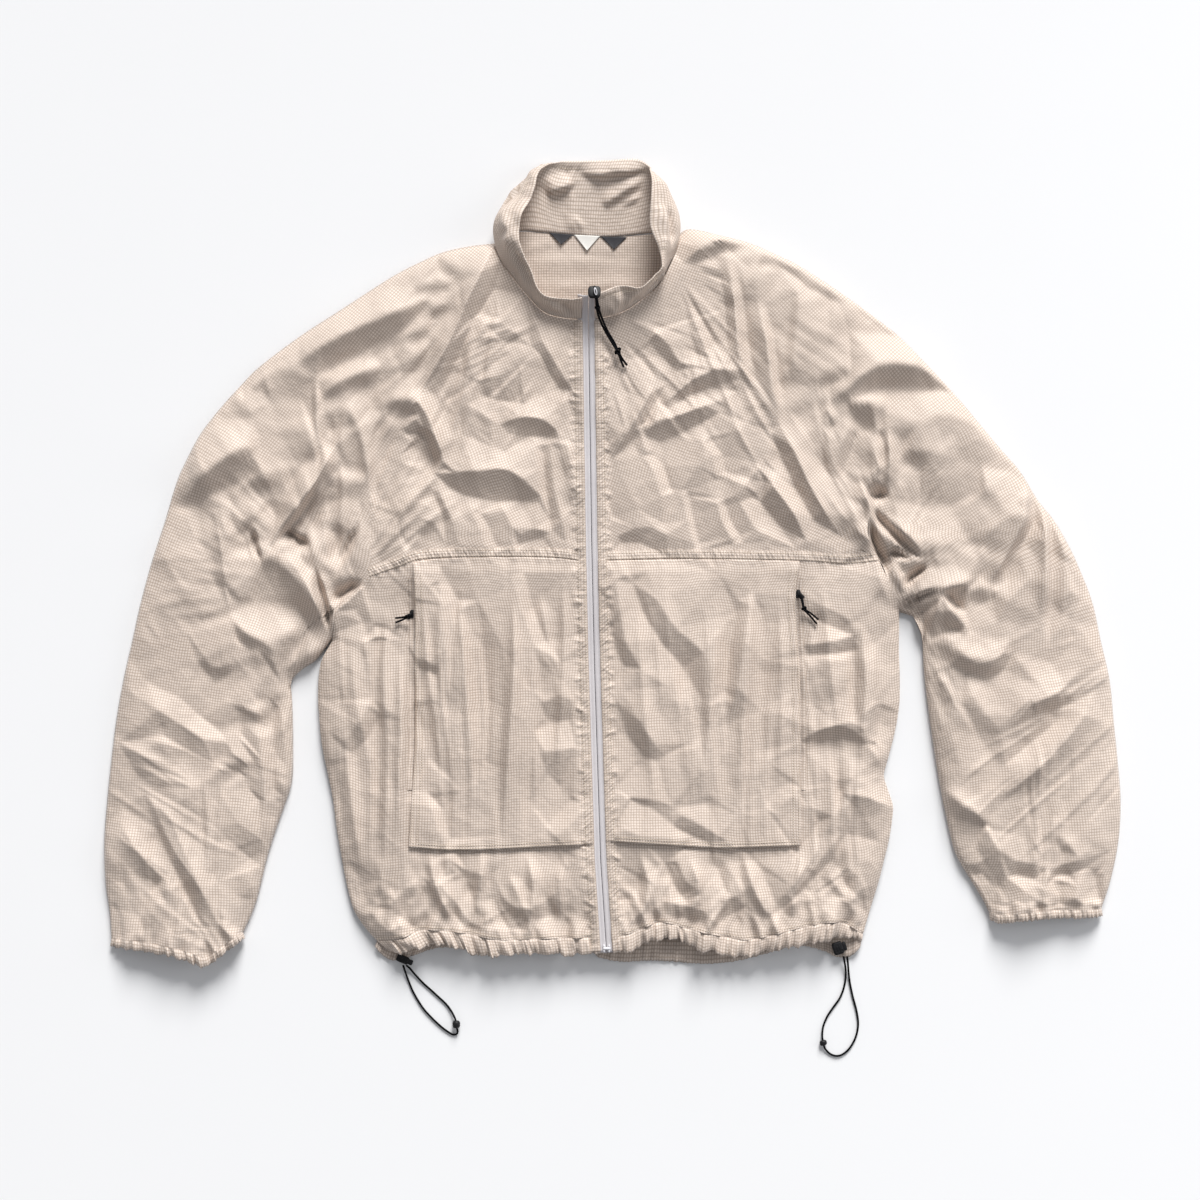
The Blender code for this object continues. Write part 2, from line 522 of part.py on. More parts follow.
def tube(name, route, radius, finish, step=3.0, sides_resolution=2):
    """A round cord along a smooth route of sheet points."""
    given = np.asarray(route, float)
    length = np.linalg.norm(np.diff(given, axis=0), axis=1).sum()
    line = smooth_line(given, max(3, round(length / (step * 2 * radius))))
    curve = bpy.data.curves.new(name, "CURVE")
    curve.dimensions = "3D"
    curve.bevel_depth = radius * MM
    curve.bevel_resolution = sides_resolution
    curve.use_fill_caps = True
    spline = curve.splines.new("POLY")
    spline.points.add(len(line) - 1)
    for point, place in zip(spline.points, line):
        point.co = (*world(*place), 1)
    made = bpy.data.objects.new(name, curve)
    made.data.materials.append(finish)
    PARTS.objects.link(made)
    return made


def rounded_box(name, centre, size, finish, bevel, turn=0.0, tilt=0.0, segments=2):
    """A block with rounded edges; turn is about Z and tilt about X, in degrees."""
    bm = bmesh.new()
    bmesh.ops.create_cube(bm, size=1.0)
    bmesh.ops.scale(bm, vec=[s * MM for s in size], verts=bm.verts)
    mesh = bpy.data.meshes.new(name)
    bm.to_mesh(mesh)
    bm.free()
    made = add_object(name, mesh, finish)
    made.location = world(*centre)
    made.rotation_euler = (math.radians(tilt), 0, math.radians(turn))
    edges = made.modifiers.new("edges", "BEVEL")
    edges.width = bevel * MM
    edges.segments = segments
    mesh.shade_smooth()
    return made


def ball(name, centre, size, finish, turn=0.0, segments=12, rings=8):
    bm = bmesh.new()
    bmesh.ops.create_uvsphere(bm, u_segments=segments, v_segments=rings, radius=0.5)
    bmesh.ops.scale(bm, vec=[s * MM for s in size], verts=bm.verts)
    mesh = bpy.data.meshes.new(name)
    bm.to_mesh(mesh)
    bm.free()
    mesh.shade_smooth()
    made = add_object(name, mesh, finish)
    made.location = world(*centre)
    made.rotation_euler = (0, 0, math.radians(turn))
    return made


def as_mesh_object(item):
    """The evaluated, welded mesh of a curve or modified object, in its place."""
    bpy.context.view_layer.update()
    graph = bpy.context.evaluated_depsgraph_get()
    mesh = bpy.data.meshes.new_from_object(item.evaluated_get(graph))
    bm = bmesh.new()
    bm.from_mesh(mesh)
    bmesh.ops.remove_doubles(bm, verts=bm.verts, dist=1e-6)
    bm.to_mesh(mesh)
    bm.free()
    name, matrix, finish = item.name, item.matrix_world.copy(), item.active_material
    bpy.data.objects.remove(item, do_unlink=True)
    made = bpy.data.objects.new(name, mesh)
    made.matrix_world = matrix
    made.data.materials.clear()
    made.data.materials.append(finish)
    PARTS.objects.link(made)
    return made


def fused(name, items):
    """One body from several overlapping pieces."""
    meshes = [as_mesh_object(item) for item in items]
    main = meshes[0]
    main.name = name
    for index, other in enumerate(meshes[1:]):
        PARTS.objects.unlink(other)
        CUTTERS.objects.link(other)
        other.hide_render = True
        other.display_type = "WIRE"
        join = main.modifiers.new(f"join_{index}", "BOOLEAN")
        join.operation = "UNION"
        join.solver = "EXACT"
        join.object = other
    return main


# ============================================================ cloth pieces
def seams():
    """Seam lines sampled once, so that the pieces on both sides share their points."""
    n = CELLS
    return {
        "left_raglan": smooth_line(LEFT_RAGLAN, n["yoke_down"]),
        "left_underarm": smooth_line(LEFT_UNDERARM, n["underarm"]),
        "left_side": smooth_line(LEFT_SIDE, n["side"]),
        "right_raglan": smooth_line(RIGHT_RAGLAN, n["yoke_down"]),
        "right_underarm": smooth_line(RIGHT_UNDERARM, n["underarm"]),
        "right_side": smooth_line(RIGHT_SIDE, n["side"]),
        "left_yoke": smooth_line(LEFT_YOKE, n["across"]),
        "right_yoke": smooth_line(RIGHT_YOKE, n["across"]),
        "left_hem": smooth_line(LEFT_HEM_SEAM, n["across"]),
        "right_hem": smooth_line(RIGHT_HEM_SEAM, n["across"]),
        "back_hem": smooth_line(BACK_HEM_SEAM, n["back_across"]),
    }


CELLS = {"yoke_down": 12, "underarm": 2, "side": 11, "across": 14, "back_across": 10, "sleeve": 22,
         "pocket_across": 10, "pocket_down": 9, "cuff": 18, "collar": 36}


def zip_side(top, bottom, side, cells):
    """The edge of a front beside the zip, between two sheet heights."""
    y = np.linspace(top, bottom, cells + 1)
    return np.column_stack([zip_x(y) + side * ZIP_HALF, y])


def build_fronts(line, finish):
    n = CELLS
    for hand, side in (("left", -1), ("right", 1)):
        neck = smooth_line(LEFT_NECK if side < 0 else RIGHT_NECK, n["across"])
        yoke, hem = line[f"{hand}_yoke"], line[f"{hand}_hem"]
        arm = line[f"{hand}_raglan"]
        low_arm = joined(line[f"{hand}_underarm"], line[f"{hand}_side"])
        inner = 0 if side > 0 else -1
        zip_upper = zip_side(neck[inner][1], yoke[inner][1], side, n["yoke_down"])
        zip_lower = zip_side(yoke[inner][1], hem[inner][1], side, n["underarm"] + n["side"])
        neck[inner], yoke[inner], hem[inner] = zip_upper[0], zip_upper[-1], zip_lower[-1]
        sides = (arm, zip_upper) if side < 0 else (zip_upper, arm)
        cloth_panel(f"front_yoke_{hand}", (neck, yoke, *sides), front_height, finish)
        sides = (low_arm, zip_lower) if side < 0 else (zip_lower, low_arm)
        cloth_panel(f"front_lower_{hand}", (yoke, hem, *sides), lower_front_height, finish)


def build_pockets(finish):
    n = CELLS
    for hand, side, pocket in (("left", -1, LEFT_POCKET), ("right", 1, RIGHT_POCKET)):
        top = smooth_line(pocket["top"], n["pocket_across"])
        bottom = smooth_line(pocket["bottom"], n["pocket_across"])
        outer = smooth_line(pocket["outer"], n["pocket_down"])
        inner = 0 if side > 0 else -1
        zip_edge = zip_side(top[inner][1], bottom[inner][1], side, n["pocket_down"])
        top[inner], bottom[inner] = zip_edge[0], zip_edge[-1]
        sides = (outer, zip_edge) if side < 0 else (zip_edge, outer)
        below = top_of(f"front_lower_{hand}")

        def height(x, y, lower=below):
            return np.maximum(pocket_height(x, y), lower(x, y) + POCKET_STAND + CLOTH)
        cloth_panel(f"pocket_{hand}", (top, bottom, *sides), height, finish)


def build_back(line, finish):
    n = CELLS
    left = joined(line["left_raglan"][::2], line["left_underarm"], line["left_side"])
    right = joined(line["right_raglan"][::2], line["right_underarm"], line["right_side"])
    neck = smooth_line(BACK_NECK, n["back_across"])
    hem = line["back_hem"]
    cloth_panel("back", (neck, hem, left, right), back_height, finish, under=True)


def build_sleeves(line, finish):
    n = CELLS
    for hand, outer, inner, cuff in (("left", LEFT_OUTER, LEFT_INNER, LEFT_CUFF_SEAM),
                                     ("right", RIGHT_OUTER, RIGHT_INNER, RIGHT_CUFF_SEAM)):
        arm = joined(line[f"{hand}_raglan"], line[f"{hand}_underarm"])
        far = smooth_line(cuff, len(arm) - 1)
        top, low = smooth_line(outer, n["sleeve"]), smooth_line(inner, n["sleeve"])
        cloth_panel(f"sleeve_front_{hand}", (top, low, arm, far), front_height, finish)
        coarse_arm = joined(line[f"{hand}_raglan"][::2], line[f"{hand}_underarm"])
        coarse_far = smooth_line(cuff, len(coarse_arm) - 1)
        cloth_panel(f"sleeve_back_{hand}", (top[::2], low[::2], coarse_arm, coarse_far),
                    back_height, finish, under=True)


def build_cuffs(finish):
    """Elastic casings: flattened rings round the sleeve ends, ruffled on top."""
    n = CELLS["cuff"]
    for hand, seam, edge, waves in (("left", LEFT_CUFF_SEAM, LEFT_CUFF_EDGE, 9),
                                    ("right", RIGHT_CUFF_SEAM, RIGHT_CUFF_EDGE, 11)):
        rows = []
        across = np.linspace(0, 1, n + 1)
        bulge = np.sqrt(np.clip(1 - (2 * across - 1) ** 4, 0, 1))
        ruffle = 1.3 * np.sin(across * waves * 2 * math.pi) * bulge
        for share, drop in ((0.06, 0.0), (0.5, -0.4), (1.0, 0.6)):
            near, far = smooth_line(seam, n), smooth_line(edge, n)
            flat = near * (1 - share) + far * share
            over = 5.5 + 13.0 * bulge - drop + ruffle * share
            under = EDGE_LIFT * (1 - bulge)
            over_points = np.column_stack([flat, over])
            under_points = np.column_stack([flat, under])[::-1]
            under_points[0] = 0.5 * (under_points[0] + over_points[-1])
            over_points[0] = 0.5 * (under_points[-1] + over_points[0])
            rows.append(np.vstack([over_points[:-1], under_points[:-1], over_points[:1]]))
        points = np.array(rows)
        centre = points[..., :3].reshape(-1, 3).mean(axis=0)
        middle = world(centre[0], centre[1], 9.0)

        def outwards(place, level=middle[2]):
            return Vector((0, 0, place[2] - level))
        shell(f"cuff_{hand}", points, DOUBLE_CLOTH, finish, outwards, closed=True)


def casing(name, near, edge, rows, finish, thickness, under=False):
    """A strip from a seam's points (x, y, z) to an edge line; rows say share, lift and swing."""
    far = smooth_line(edge, len(near) - 1)
    layers = []
    for share, lift, swing in rows:
        flat = near[:, :2] * (1 - share) + far * share
        layers.append(np.column_stack([flat, near[:, 2] + lift + swing]))
    points = np.array(layers)
    points[..., :2] = inset(points[..., :2], SEAM_GAP * 0.6)
    draped(name, points, thickness, finish, under)


def build_hems(line, finish):
    """Drawcord casings: strips under the seam, gathered into small waves."""
    for hand, edge, waves in (("left", LEFT_HEM_EDGE, 12), ("right", RIGHT_HEM_EDGE, 13)):
        seam = line[f"{hand}_hem"]
        near = subdivided(np.column_stack([seam, lower_front_height(seam[:, 0], seam[:, 1])]), 3)
        near[:, 2] += DOUBLE_CLOTH - CLOTH + SEAM_GAP
        s = np.linspace(0, 1, len(near))
        wave = np.sin(2 * math.pi * (waves * s + 0.35 * np.sin(5 * math.pi * s)))
        wave *= ramp(np.minimum(s, 1 - s) / 0.06)
        rows = ((0.0, 0.0, 0.0), (0.5, 1.4, 1.6 * wave), (1.0, -0.5, 2.4 * wave))
        casing(f"hem_front_{hand}", near, edge, rows, finish, DOUBLE_CLOTH)
    seam = line["back_hem"]
    near = subdivided(np.column_stack([seam, back_height(seam[:, 0], seam[:, 1])]), 4)
    s = np.linspace(0, 1, len(near))
    wave = (0.5 - 0.5 * np.cos(2 * math.pi * 15 * s)) * ramp(np.minimum(s, 1 - s) / 0.14 - 0.5)
    rows = ((0.0, 0.0, 0.0), (0.5, 0.0, 0.4 * wave), (1.0, 0.0, 1.4 * wave))
    casing("hem_back", near, BACK_HEM_EDGE, rows, finish, CLOTH, under=True)


def build_collar(finish):
    sections = []
    for base, *numbers in COLLAR:
        places = np.array(numbers, float).reshape(3, 3)
        to_middle = np.array([NECK_MIDDLE[0] - places[0, 0], NECK_MIDDLE[1] - places[0, 1]])
        places[0, :2] += COLLAR_INSET * to_middle / np.linalg.norm(to_middle)
        if base == "front":
            places[:, 2] += front_height(places[:1, 0], places[:1, 1])[0]
        sections.append(places)
    sections = np.array(sections)
    lines = [smooth_line(sections[:, level], CELLS["collar"]) for level in range(3)]
    v = np.linspace(0, 1, 5)
    rows = [(1 - t) * (1 - 2 * t) * lines[0] + 4 * t * (1 - t) * lines[1] + t * (2 * t - 1) * lines[2] for t in v]
    points = np.array(rows)
    points[..., 2] = np.maximum(points[..., 2], 0.0)
    centre = world(588, 250, 20)

    def outwards(place):
        return Vector((place[0] - centre[0], place[1] - centre[1], -0.02))
    shell("collar", points, DOUBLE_CLOTH, finish, outwards)


# ============================================================ zips and trims
def strip(name, centre_line, half_width, thickness, finish, side=0.0):
    """A flat tape along a line of (x, y, z), shifted sideways by side."""
    line = np.asarray(centre_line, float)
    columns = [line + (side - half_width, 0, 0), line + (side + half_width, 0, 0)]
    points = np.stack(columns, axis=1)
    return draped(name, points, thickness, finish)


ZIP_CELLS = 24


def zip_route(cells):
    """The zip's centre line up the fronts and over the front of the collar."""
    y = np.linspace(950, 323, cells)
    x = zip_x(y)
    z = np.minimum(front_height(x - ZIP_HALF, y), front_height(x + ZIP_HALF, y))
    low = np.column_stack([x, y, z])
    base = z[-1]
    high = np.array([(588.4, 316, base + 4), (588.6, 309, base + 9.4), (588.8, 298.5, base + 18.4)])
    return np.vstack([low, high])


def build_front_zip(tape, coil, pale):
    route = zip_route(ZIP_CELLS)
    half = ZIP_HALF - SEAM_GAP - 0.1
    for hand, side in (("left", -1), ("right", 1)):
        strip(f"zip_tape_{hand}", route, (half - 0.15) / 2, TAPE, tape, side * (half + 0.15) / 2)
    strip("zip_coil", route[:-3] - (0, 0, TAPE + 0.35), 2.0, 1.4, coil)
    end = route[0]
    rounded_box("zip_bottom_stop", (end[0] + 0.2, end[1] - 3.0, end[2] + 1.4), (7.0, 6.0, 2.0), pale, 0.6)


def build_slider(black, tab_finish, cord):
    """Slider at the collar's rim, its tab hinged at ZIP_PIVOT, and the knotted cord."""
    rounded_box("zip_slider", ZIP_SLIDER, (13.0, 12.0, 4.4), black, 1.2, tilt=SLIDER_TILT)
    tab = (ZIP_PIVOT[0] + 1.2, ZIP_PIVOT[1] + 4.3, ZIP_PIVOT[2] + 0.1)
    rounded_box("zip_pull_tab", tab, (3.6, 9.4, 1.4), tab_finish, 0.5, turn=12, segments=1)
    pieces = [tube(f"strand_{index}", route, PULL_RADIUS, cord) for index, route in enumerate(PULL_STRANDS)]
    for index, (centre, size, turn) in enumerate(PULL_KNOTS):
        pieces.append(ball(f"knot_{index}", centre, size, cord, turn, segments=8, rings=6))
    fused("zip_pull_cord", pieces)


def build_pocket_zips(tape, black, cord):
    """Side zips under the pockets' outer edges; only their knotted cords reach out."""
    cells = 18
    half_width = 2.4
    slider = (6.0, 9.0, 1.2)
    for hand, zip_line, slider_y in (("left", 426.0, 614.0), ("right", 785.0, 594.0)):
        y = np.linspace(578, 790, cells)
        x = np.full(cells, zip_line)
        below = top_of(f"front_lower_{hand}")
        near = [below(x + dx, y + dy) for dx in (-half_width, 0, half_width) for dy in (-6, 0, 6)]
        z = np.max(near, axis=0) + TAPE + SEAM_GAP
        strip(f"pocket_zip_{hand}", np.column_stack([x, y, z]), half_width, TAPE, tape)
        level = np.interp(slider_y, y, z) + SEAM_GAP + slider[2] / 2
        rounded_box(f"pocket_slider_{hand}", (zip_line, slider_y, level), slider, black, 0.4, segments=1)
    for hand, (routes, knot) in POCKET_PULLS.items():
        pieces = [tube(f"pull_{hand}_{index}", route, PULL_RADIUS, cord) for index, route in enumerate(routes)]
        pieces.append(ball(f"pull_knot_{hand}", knot, (6.4, 5.8, 5.2), cord, segments=8, rings=6))
        fused(f"pocket_pull_{hand}", pieces)


def build_drawcords(cord, black):
    rounded_box("cord_lock_left", (404.6, 960.0, 5.4), (17.0, 7.4, 4.6), black, 1.4, turn=22)
    rounded_box("cord_lock_right", (839.4, 947.6, 7.0), (14.0, 12.6, 5.6), black, 1.8, turn=-18)
    for name, route in (("left_a", LEFT_LOOP_A), ("left_b", LEFT_LOOP_B),
                        ("right_a", RIGHT_LOOP_A), ("right_b", RIGHT_LOOP_B)):
        tube(f"drawcord_{name}", route, CORD_RADIUS, cord)
    ball("bead_left", (456.2, 1024.6, 3.9), (8.0, 7.8, 7.6), black)
    ball("bead_right", (823.5, 1043.3, 2.8), (7.6, 5.6, 5.4), black, turn=-15)


def build_labels(light, dark):
    level = CLOTH + SEAM_GAP + 0.4
    for name, centre, size, finish in (("label_centre", (586.6, 244.4), (24.0, 12.0, 0.8), light),
                                       ("label_left", (560.6, 242.6), (20.0, 9.0, 0.8), dark),
                                       ("label_right", (613.6, 243.8), (20.0, 9.0, 0.8), dark)):
        rounded_box(name, (*centre, level), size, finish, 0.2, segments=1)


# ============================================================ the jacket
clear_scene()
PARTS = collection("windbreaker_jacket")
CUTTERS = collection("cutters")


def main():
    cloth = material("ripstop", (0.62, 0.53, 0.44), 0.55)
    double = material("ripstop_double", (0.60, 0.51, 0.42), 0.55)
    tape = material("zip_tape", (0.62, 0.60, 0.62), 0.45)
    coil = material("zip_coil", (0.60, 0.60, 0.64), 0.35)
    black = material("black_plastic", (0.02, 0.02, 0.022), 0.4)
    cord = material("black_cord", (0.02, 0.02, 0.025), 0.7)
    light = material("label_light", (0.85, 0.83, 0.8), 0.7)
    dark = material("label_dark", (0.06, 0.06, 0.07), 0.7)
    pale = material("pale_plastic", (0.70, 0.69, 0.71), 0.35)
    line = seams()
    build_fronts(line, cloth)
    build_pockets(cloth)
    build_back(line, cloth)
    build_sleeves(line, cloth)
    build_cuffs(double)
    build_hems(line, double)
    build_collar(double)
    build_front_zip(tape, coil, pale)
    build_slider(black, pale, cord)
    build_pocket_zips(tape, black, cord)
    build_drawcords(cord, black)
    build_labels(light, dark)


main()
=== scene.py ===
"""Windbreaker jacket laid flat: cloth, seams, zips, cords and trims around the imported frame.

Places are given on a layout sheet in millimetres: x to the right, y down towards the hem,
z up from the table. The sheet point (600, 600) lies over the frame's origin.
"""
import math

import bmesh
import bpy
import numpy as np
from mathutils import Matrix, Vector, geometry

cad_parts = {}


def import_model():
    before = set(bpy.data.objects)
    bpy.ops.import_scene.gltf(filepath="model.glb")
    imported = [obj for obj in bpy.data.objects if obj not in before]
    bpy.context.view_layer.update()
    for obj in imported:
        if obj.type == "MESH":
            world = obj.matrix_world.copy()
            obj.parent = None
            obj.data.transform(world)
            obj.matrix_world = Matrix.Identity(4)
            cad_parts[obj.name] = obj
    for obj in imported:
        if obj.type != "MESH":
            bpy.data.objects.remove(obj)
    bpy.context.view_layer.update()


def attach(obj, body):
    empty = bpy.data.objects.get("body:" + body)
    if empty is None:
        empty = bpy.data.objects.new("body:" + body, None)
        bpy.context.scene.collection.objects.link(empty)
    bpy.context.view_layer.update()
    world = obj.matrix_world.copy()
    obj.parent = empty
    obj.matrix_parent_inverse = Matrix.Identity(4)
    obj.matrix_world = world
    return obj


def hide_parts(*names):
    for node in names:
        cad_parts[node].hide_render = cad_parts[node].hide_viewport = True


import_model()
MM = 0.001
SHEET_ORIGIN = (600.0, 600.0)

# ------------------------------------------------------------ driving sizes (millimetres)
FOLD_SHARE = 0.66        # height of the folds, as a share of their rows' heights
FOLD_SHARP = 1.75        # how the flanks of a fold flatten towards its foot
DRAPE_SHARE, DRAPE_SHARP = 1.25, 1.35
PAPER_SCALE = 1.15       # the same for the sharp creases
YOKE_GRAIN = -22.0       # degrees that the yokes' check leans
SLOPE_LIMIT = 1.0        # steepest side of a fold
SLOPE_POWER = 0.9
SIDE_EASE = 0.5          # upright folds may be this much steeper
CELL = 1.6               # cloth grid
CREEP = 0.3              # share of the folds' spare length that shows in the weave
BACK_CELL = 4.5
SLEEVE_CELL = 1.9        # along the sleeves
LOWEST = 3.6             # deep tucks end here
EDGE_MEET = 4.0          # height where fronts and back meet at the side folds
SEAT = 6.3               # the fronts' seat in the solids
LOFT = 15.0              # how far the fronts rise above their seat
LOFT_REACH = 44.0        # the rise is full this far inside the outline
EDGE_ROLL = 26.0         # the back curls up within this distance of its edge
BACK_REST = 0.55         # the back's height over the table
FOLD_TAPER = 0.35        # share of a fold's length over which each end dies away
ZIP_HALF = 6.3           # half the zip's width between the fronts
WELT = 8.6               # topstitched edge beside the zip
POCKET_REACH = 9.0
POCKET_DROP = 2.2        # the front lies this much lower inside the pocket
POCKET_RISE = 2.3        # the pocket lies this much above the front's face
CLOTH_WALL = 0.5
CORD_RADIUS = 1.0
PULL_RADIUS = 1.1
CHECK = 2.68             # pitch of the ripstop check
NECK_MIDDLE = (588.0, 268.0)
# How the front's height is put together; see make_front_field.
FOLD_IN_PAPER = 0.45     # share of the folds that is evened together with the facets
FOLD_MEAN = 60.0         # the other share is measured from its mean over this reach
EVEN_REACH = 46.0        # evened cloth keeps no slopes longer than this
EDGE_FADE = 9.0          # relief dies away over this distance from the outline
ZIP_FADE = 14.0          # and over this one from the zip
ZIP_LEAST = 0.35         # share of the relief that is left beside the zip
FLOOR_SHARE = 0.32       # valleys are held up below this share of the rise
FLOOR_GIVE = 0.45        # and keep this share of their depth under it
TUCK_GIVE = 0.2          # the same under LOWEST
FRONT_BLUR = 0.35
EDGE_FAR = 60.0          # distances from the outline are measured up to here
YOKE_LEVEL = 560.0       # y of the yoke seams near the zip
POCKET_SEAM = 558.0      # y of the pockets' upper edge


def world(points):
    points = np.asarray(points, float)
    return np.stack([(points[..., 0] - SHEET_ORIGIN[0]) * MM, (SHEET_ORIGIN[1] - points[..., 1]) * MM,
                     points[..., 2] * MM], axis=-1)


# ============================================================ camera, light, floor
def make_camera():
    data = bpy.data.cameras.new("camera")
    data.lens, data.sensor_width = 85.0, 36.0
    camera = bpy.data.objects.new("camera", data)
    camera.location = (0, 0, 2.8333 + 0.006)
    bpy.context.scene.collection.objects.link(camera)
    bpy.context.scene.camera = camera


def area_light(name, place, aim, size, energy, colour):
    data = bpy.data.lights.new(name, "AREA")
    data.shape, data.size, data.size_y = "RECTANGLE", *size
    data.energy, data.color = energy, colour
    made = bpy.data.objects.new(name, data)
    made.location = place
    made.rotation_euler = (Vector(aim) - Vector(place)).to_track_quat("-Z", "Y").to_euler()
    bpy.context.scene.collection.objects.link(made)


make_camera()


# ============================================================ materials
CELL_LIGHT, CELL_DARK = (0.75, 0.655, 0.585), (0.70, 0.605, 0.54)          # the cloth between threads
THREAD_TONE, KNOT_TONE = (0.36, 0.27, 0.205), (0.22, 0.16, 0.115)          # threads, and where they cross
TAPE_LIGHT, TAPE_DARK, TAPE_ROWS = (0.70, 0.67, 0.68), (0.58, 0.55, 0.57), (0.47, 0.44, 0.47)
STRANDS = (1100.0, 4.0)                                                    # crossings along a cord and round it
TAPE_RIB, TAPE_ROW = 0.9, 0.8                                              # pitches in millimetres


def new_material(name):
    """A material, the short calls for its node tree, and its shader."""
    made = bpy.data.materials.new(name)
    made.use_nodes = True
    return made, Graph(made.node_tree), made.node_tree.nodes["Principled BSDF"]


def toned(colour, tone=1.0):
    return tuple(c * tone for c in colour) + (1,)


class Graph:
    """Short calls for building a node tree."""

    def __init__(self, tree):
        self.tree = tree

    def node(self, kind, **settings):
        made = self.tree.nodes.new(kind)
        for key, value in settings.items():
            setattr(made, key, value)
        return made

    def put(self, socket, value):
        if isinstance(value, bpy.types.NodeSocket):
            self.tree.links.new(value, socket)
        elif value is not None:
            socket.default_value = value

    def math(self, operation, a, b=None, c=None, clamp=False):
        made = self.node("ShaderNodeMath", operation=operation, use_clamp=clamp)
        for socket, value in zip(made.inputs, (a, b, c)):
            self.put(socket, value)
        return made.outputs[0]

    def mix(self, factor, a, b):
        made = self.node("ShaderNodeMix", data_type="RGBA")
        self.put(made.inputs["Factor"], factor)
        self.put(made.inputs[6], a)
        self.put(made.inputs[7], b)
        return made.outputs[2]

    def split(self, vector):
        made = self.node("ShaderNodeSeparateXYZ")
        self.put(made.inputs[0], vector)
        return made.outputs

    def noise(self, vector, scale, detail=2.0, roughness=0.5):
        made = self.node("ShaderNodeTexNoise")
        self.put(made.inputs["Vector"], vector)
        made.inputs["Scale"].default_value = scale
        made.inputs["Detail"].default_value = detail
        made.inputs["Roughness"].default_value = roughness
        return made.outputs["Fac"]

    def voronoi(self, vector, scale):
        made = self.node("ShaderNodeTexVoronoi", feature="F1")
        self.put(made.inputs["Vector"], vector)
        made.inputs["Scale"].default_value = scale
        return made.outputs["Distance"]

    def bump(self, height, strength, distance, normal=None):
        made = self.node("ShaderNodeBump")
        made.inputs["Strength"].default_value = strength
        made.inputs["Distance"].default_value = distance
        self.put(made.inputs["Height"], height)
        self.put(made.inputs["Normal"], normal)
        return made.outputs[0]


def thread_mask(g, coordinate, pitch, width):
    """1 on a thread of the check, 0 between threads."""
    wave = g.math("PINGPONG", g.math("DIVIDE", coordinate, pitch * MM), 0.5)
    return g.math("SUBTRACT", 1.0, g.math("SMOOTH_MIN", g.math("DIVIDE", wave, width), 1.0, 0.3), clamp=True)


def make_ripstop(name, tone=1.0, crinkle=1.0):
    """Light cloth with a darker check of threads, creased finely all over."""
    made, g, shader = new_material(name)
    uv = g.node("ShaderNodeUVMap", uv_map="cloth").outputs[0]
    place = g.node("ShaderNodeTexCoord").outputs["Object"]
    split = g.split(uv)
    sway = g.math("MULTIPLY", g.math("SUBTRACT", g.noise(uv, 60.0, 1.0), 0.5), 0.0012)
    warp = thread_mask(g, g.math("ADD", split[0], sway), CHECK, 0.30)
    weft = thread_mask(g, g.math("ADD", split[1], sway), CHECK, 0.30)
    lines = g.math("MAXIMUM", warp, weft)
    knots = g.math("MULTIPLY", warp, weft)
    cells = g.mix(g.noise(uv, 9.0, 3.0), toned(CELL_LIGHT, tone), toned(CELL_DARK, tone))
    strength = g.math("MULTIPLY", lines, g.math("MULTIPLY_ADD", g.noise(uv, 30.0, 2.0), 0.30, 0.62))
    colour = g.mix(strength, cells, toned(THREAD_TONE, tone))
    colour = g.mix(g.math("MULTIPLY", knots, 0.35), colour, toned(KNOT_TONE, tone))
    g.put(shader.inputs["Base Color"], colour)
    rough = g.math("MULTIPLY_ADD", g.noise(uv, 140.0, 2.0), 0.16, 0.50)
    g.put(shader.inputs["Roughness"], rough)
    shader.inputs["Specular IOR Level"].default_value = 0.3
    shader.inputs["Sheen Weight"].default_value = 0.12
    shader.inputs["Sheen Roughness"].default_value = 0.35
    creased = g.math("ABSOLUTE", g.math("SUBTRACT", g.noise(place, 55.0, 3.0, 0.6), 0.5))
    facets = g.voronoi(place, 95.0)
    fine = g.bump(facets, 0.16 * crinkle, 0.0012)
    rough_cloth = g.bump(creased, 0.36 * crinkle, 0.0035, fine)
    weave = g.bump(g.math("ADD", lines, knots), 0.12, 0.0004, rough_cloth)
    g.put(shader.inputs["Normal"], weave)
    return made


def make_tape():
    """Ribbed woven tape."""
    made, g, shader = new_material("zip_tape_woven")
    uv = g.node("ShaderNodeUVMap", uv_map="cloth").outputs[0]
    split = g.split(uv)
    rib = g.math("PINGPONG", g.math("DIVIDE", split[1], TAPE_RIB * MM), 0.5)
    rows = g.math("PINGPONG", g.math("DIVIDE", split[0], TAPE_ROW * MM), 0.5)
    shade = g.math("MULTIPLY_ADD", g.noise(uv, 40.0, 3.0), 0.5, 0.25)
    colour = g.mix(shade, toned(TAPE_LIGHT), toned(TAPE_DARK))
    colour = g.mix(g.math("MULTIPLY", rows, 0.35), colour, toned(TAPE_ROWS))
    g.put(shader.inputs["Base Color"], colour)
    shader.inputs["Roughness"].default_value = 0.5
    shader.inputs["Specular IOR Level"].default_value = 0.4
    g.put(shader.inputs["Normal"], g.bump(g.math("ADD", rib, rows), 0.5, 0.0004))
    return made


def make_plain(name, colour, roughness, grain=180.0, relief=0.15, specular=0.5, change=0.12):
    """Moulded plastic, coil wire or thread: even colour with a fine uneven surface."""
    made, g, shader = new_material(name)
    place = g.node("ShaderNodeTexCoord").outputs["Object"]
    spots = g.noise(place, grain * 3, 3.0)
    g.put(shader.inputs["Base Color"], g.mix(spots, toned(colour), toned(colour, 1 - change)))
    g.put(shader.inputs["Roughness"], g.math("MULTIPLY_ADD", g.noise(place, grain, 2.0), 0.2, roughness - 0.1))
    shader.inputs["Specular IOR Level"].default_value = specular
    g.put(shader.inputs["Normal"], g.bump(spots, relief, 0.0004))
    return made


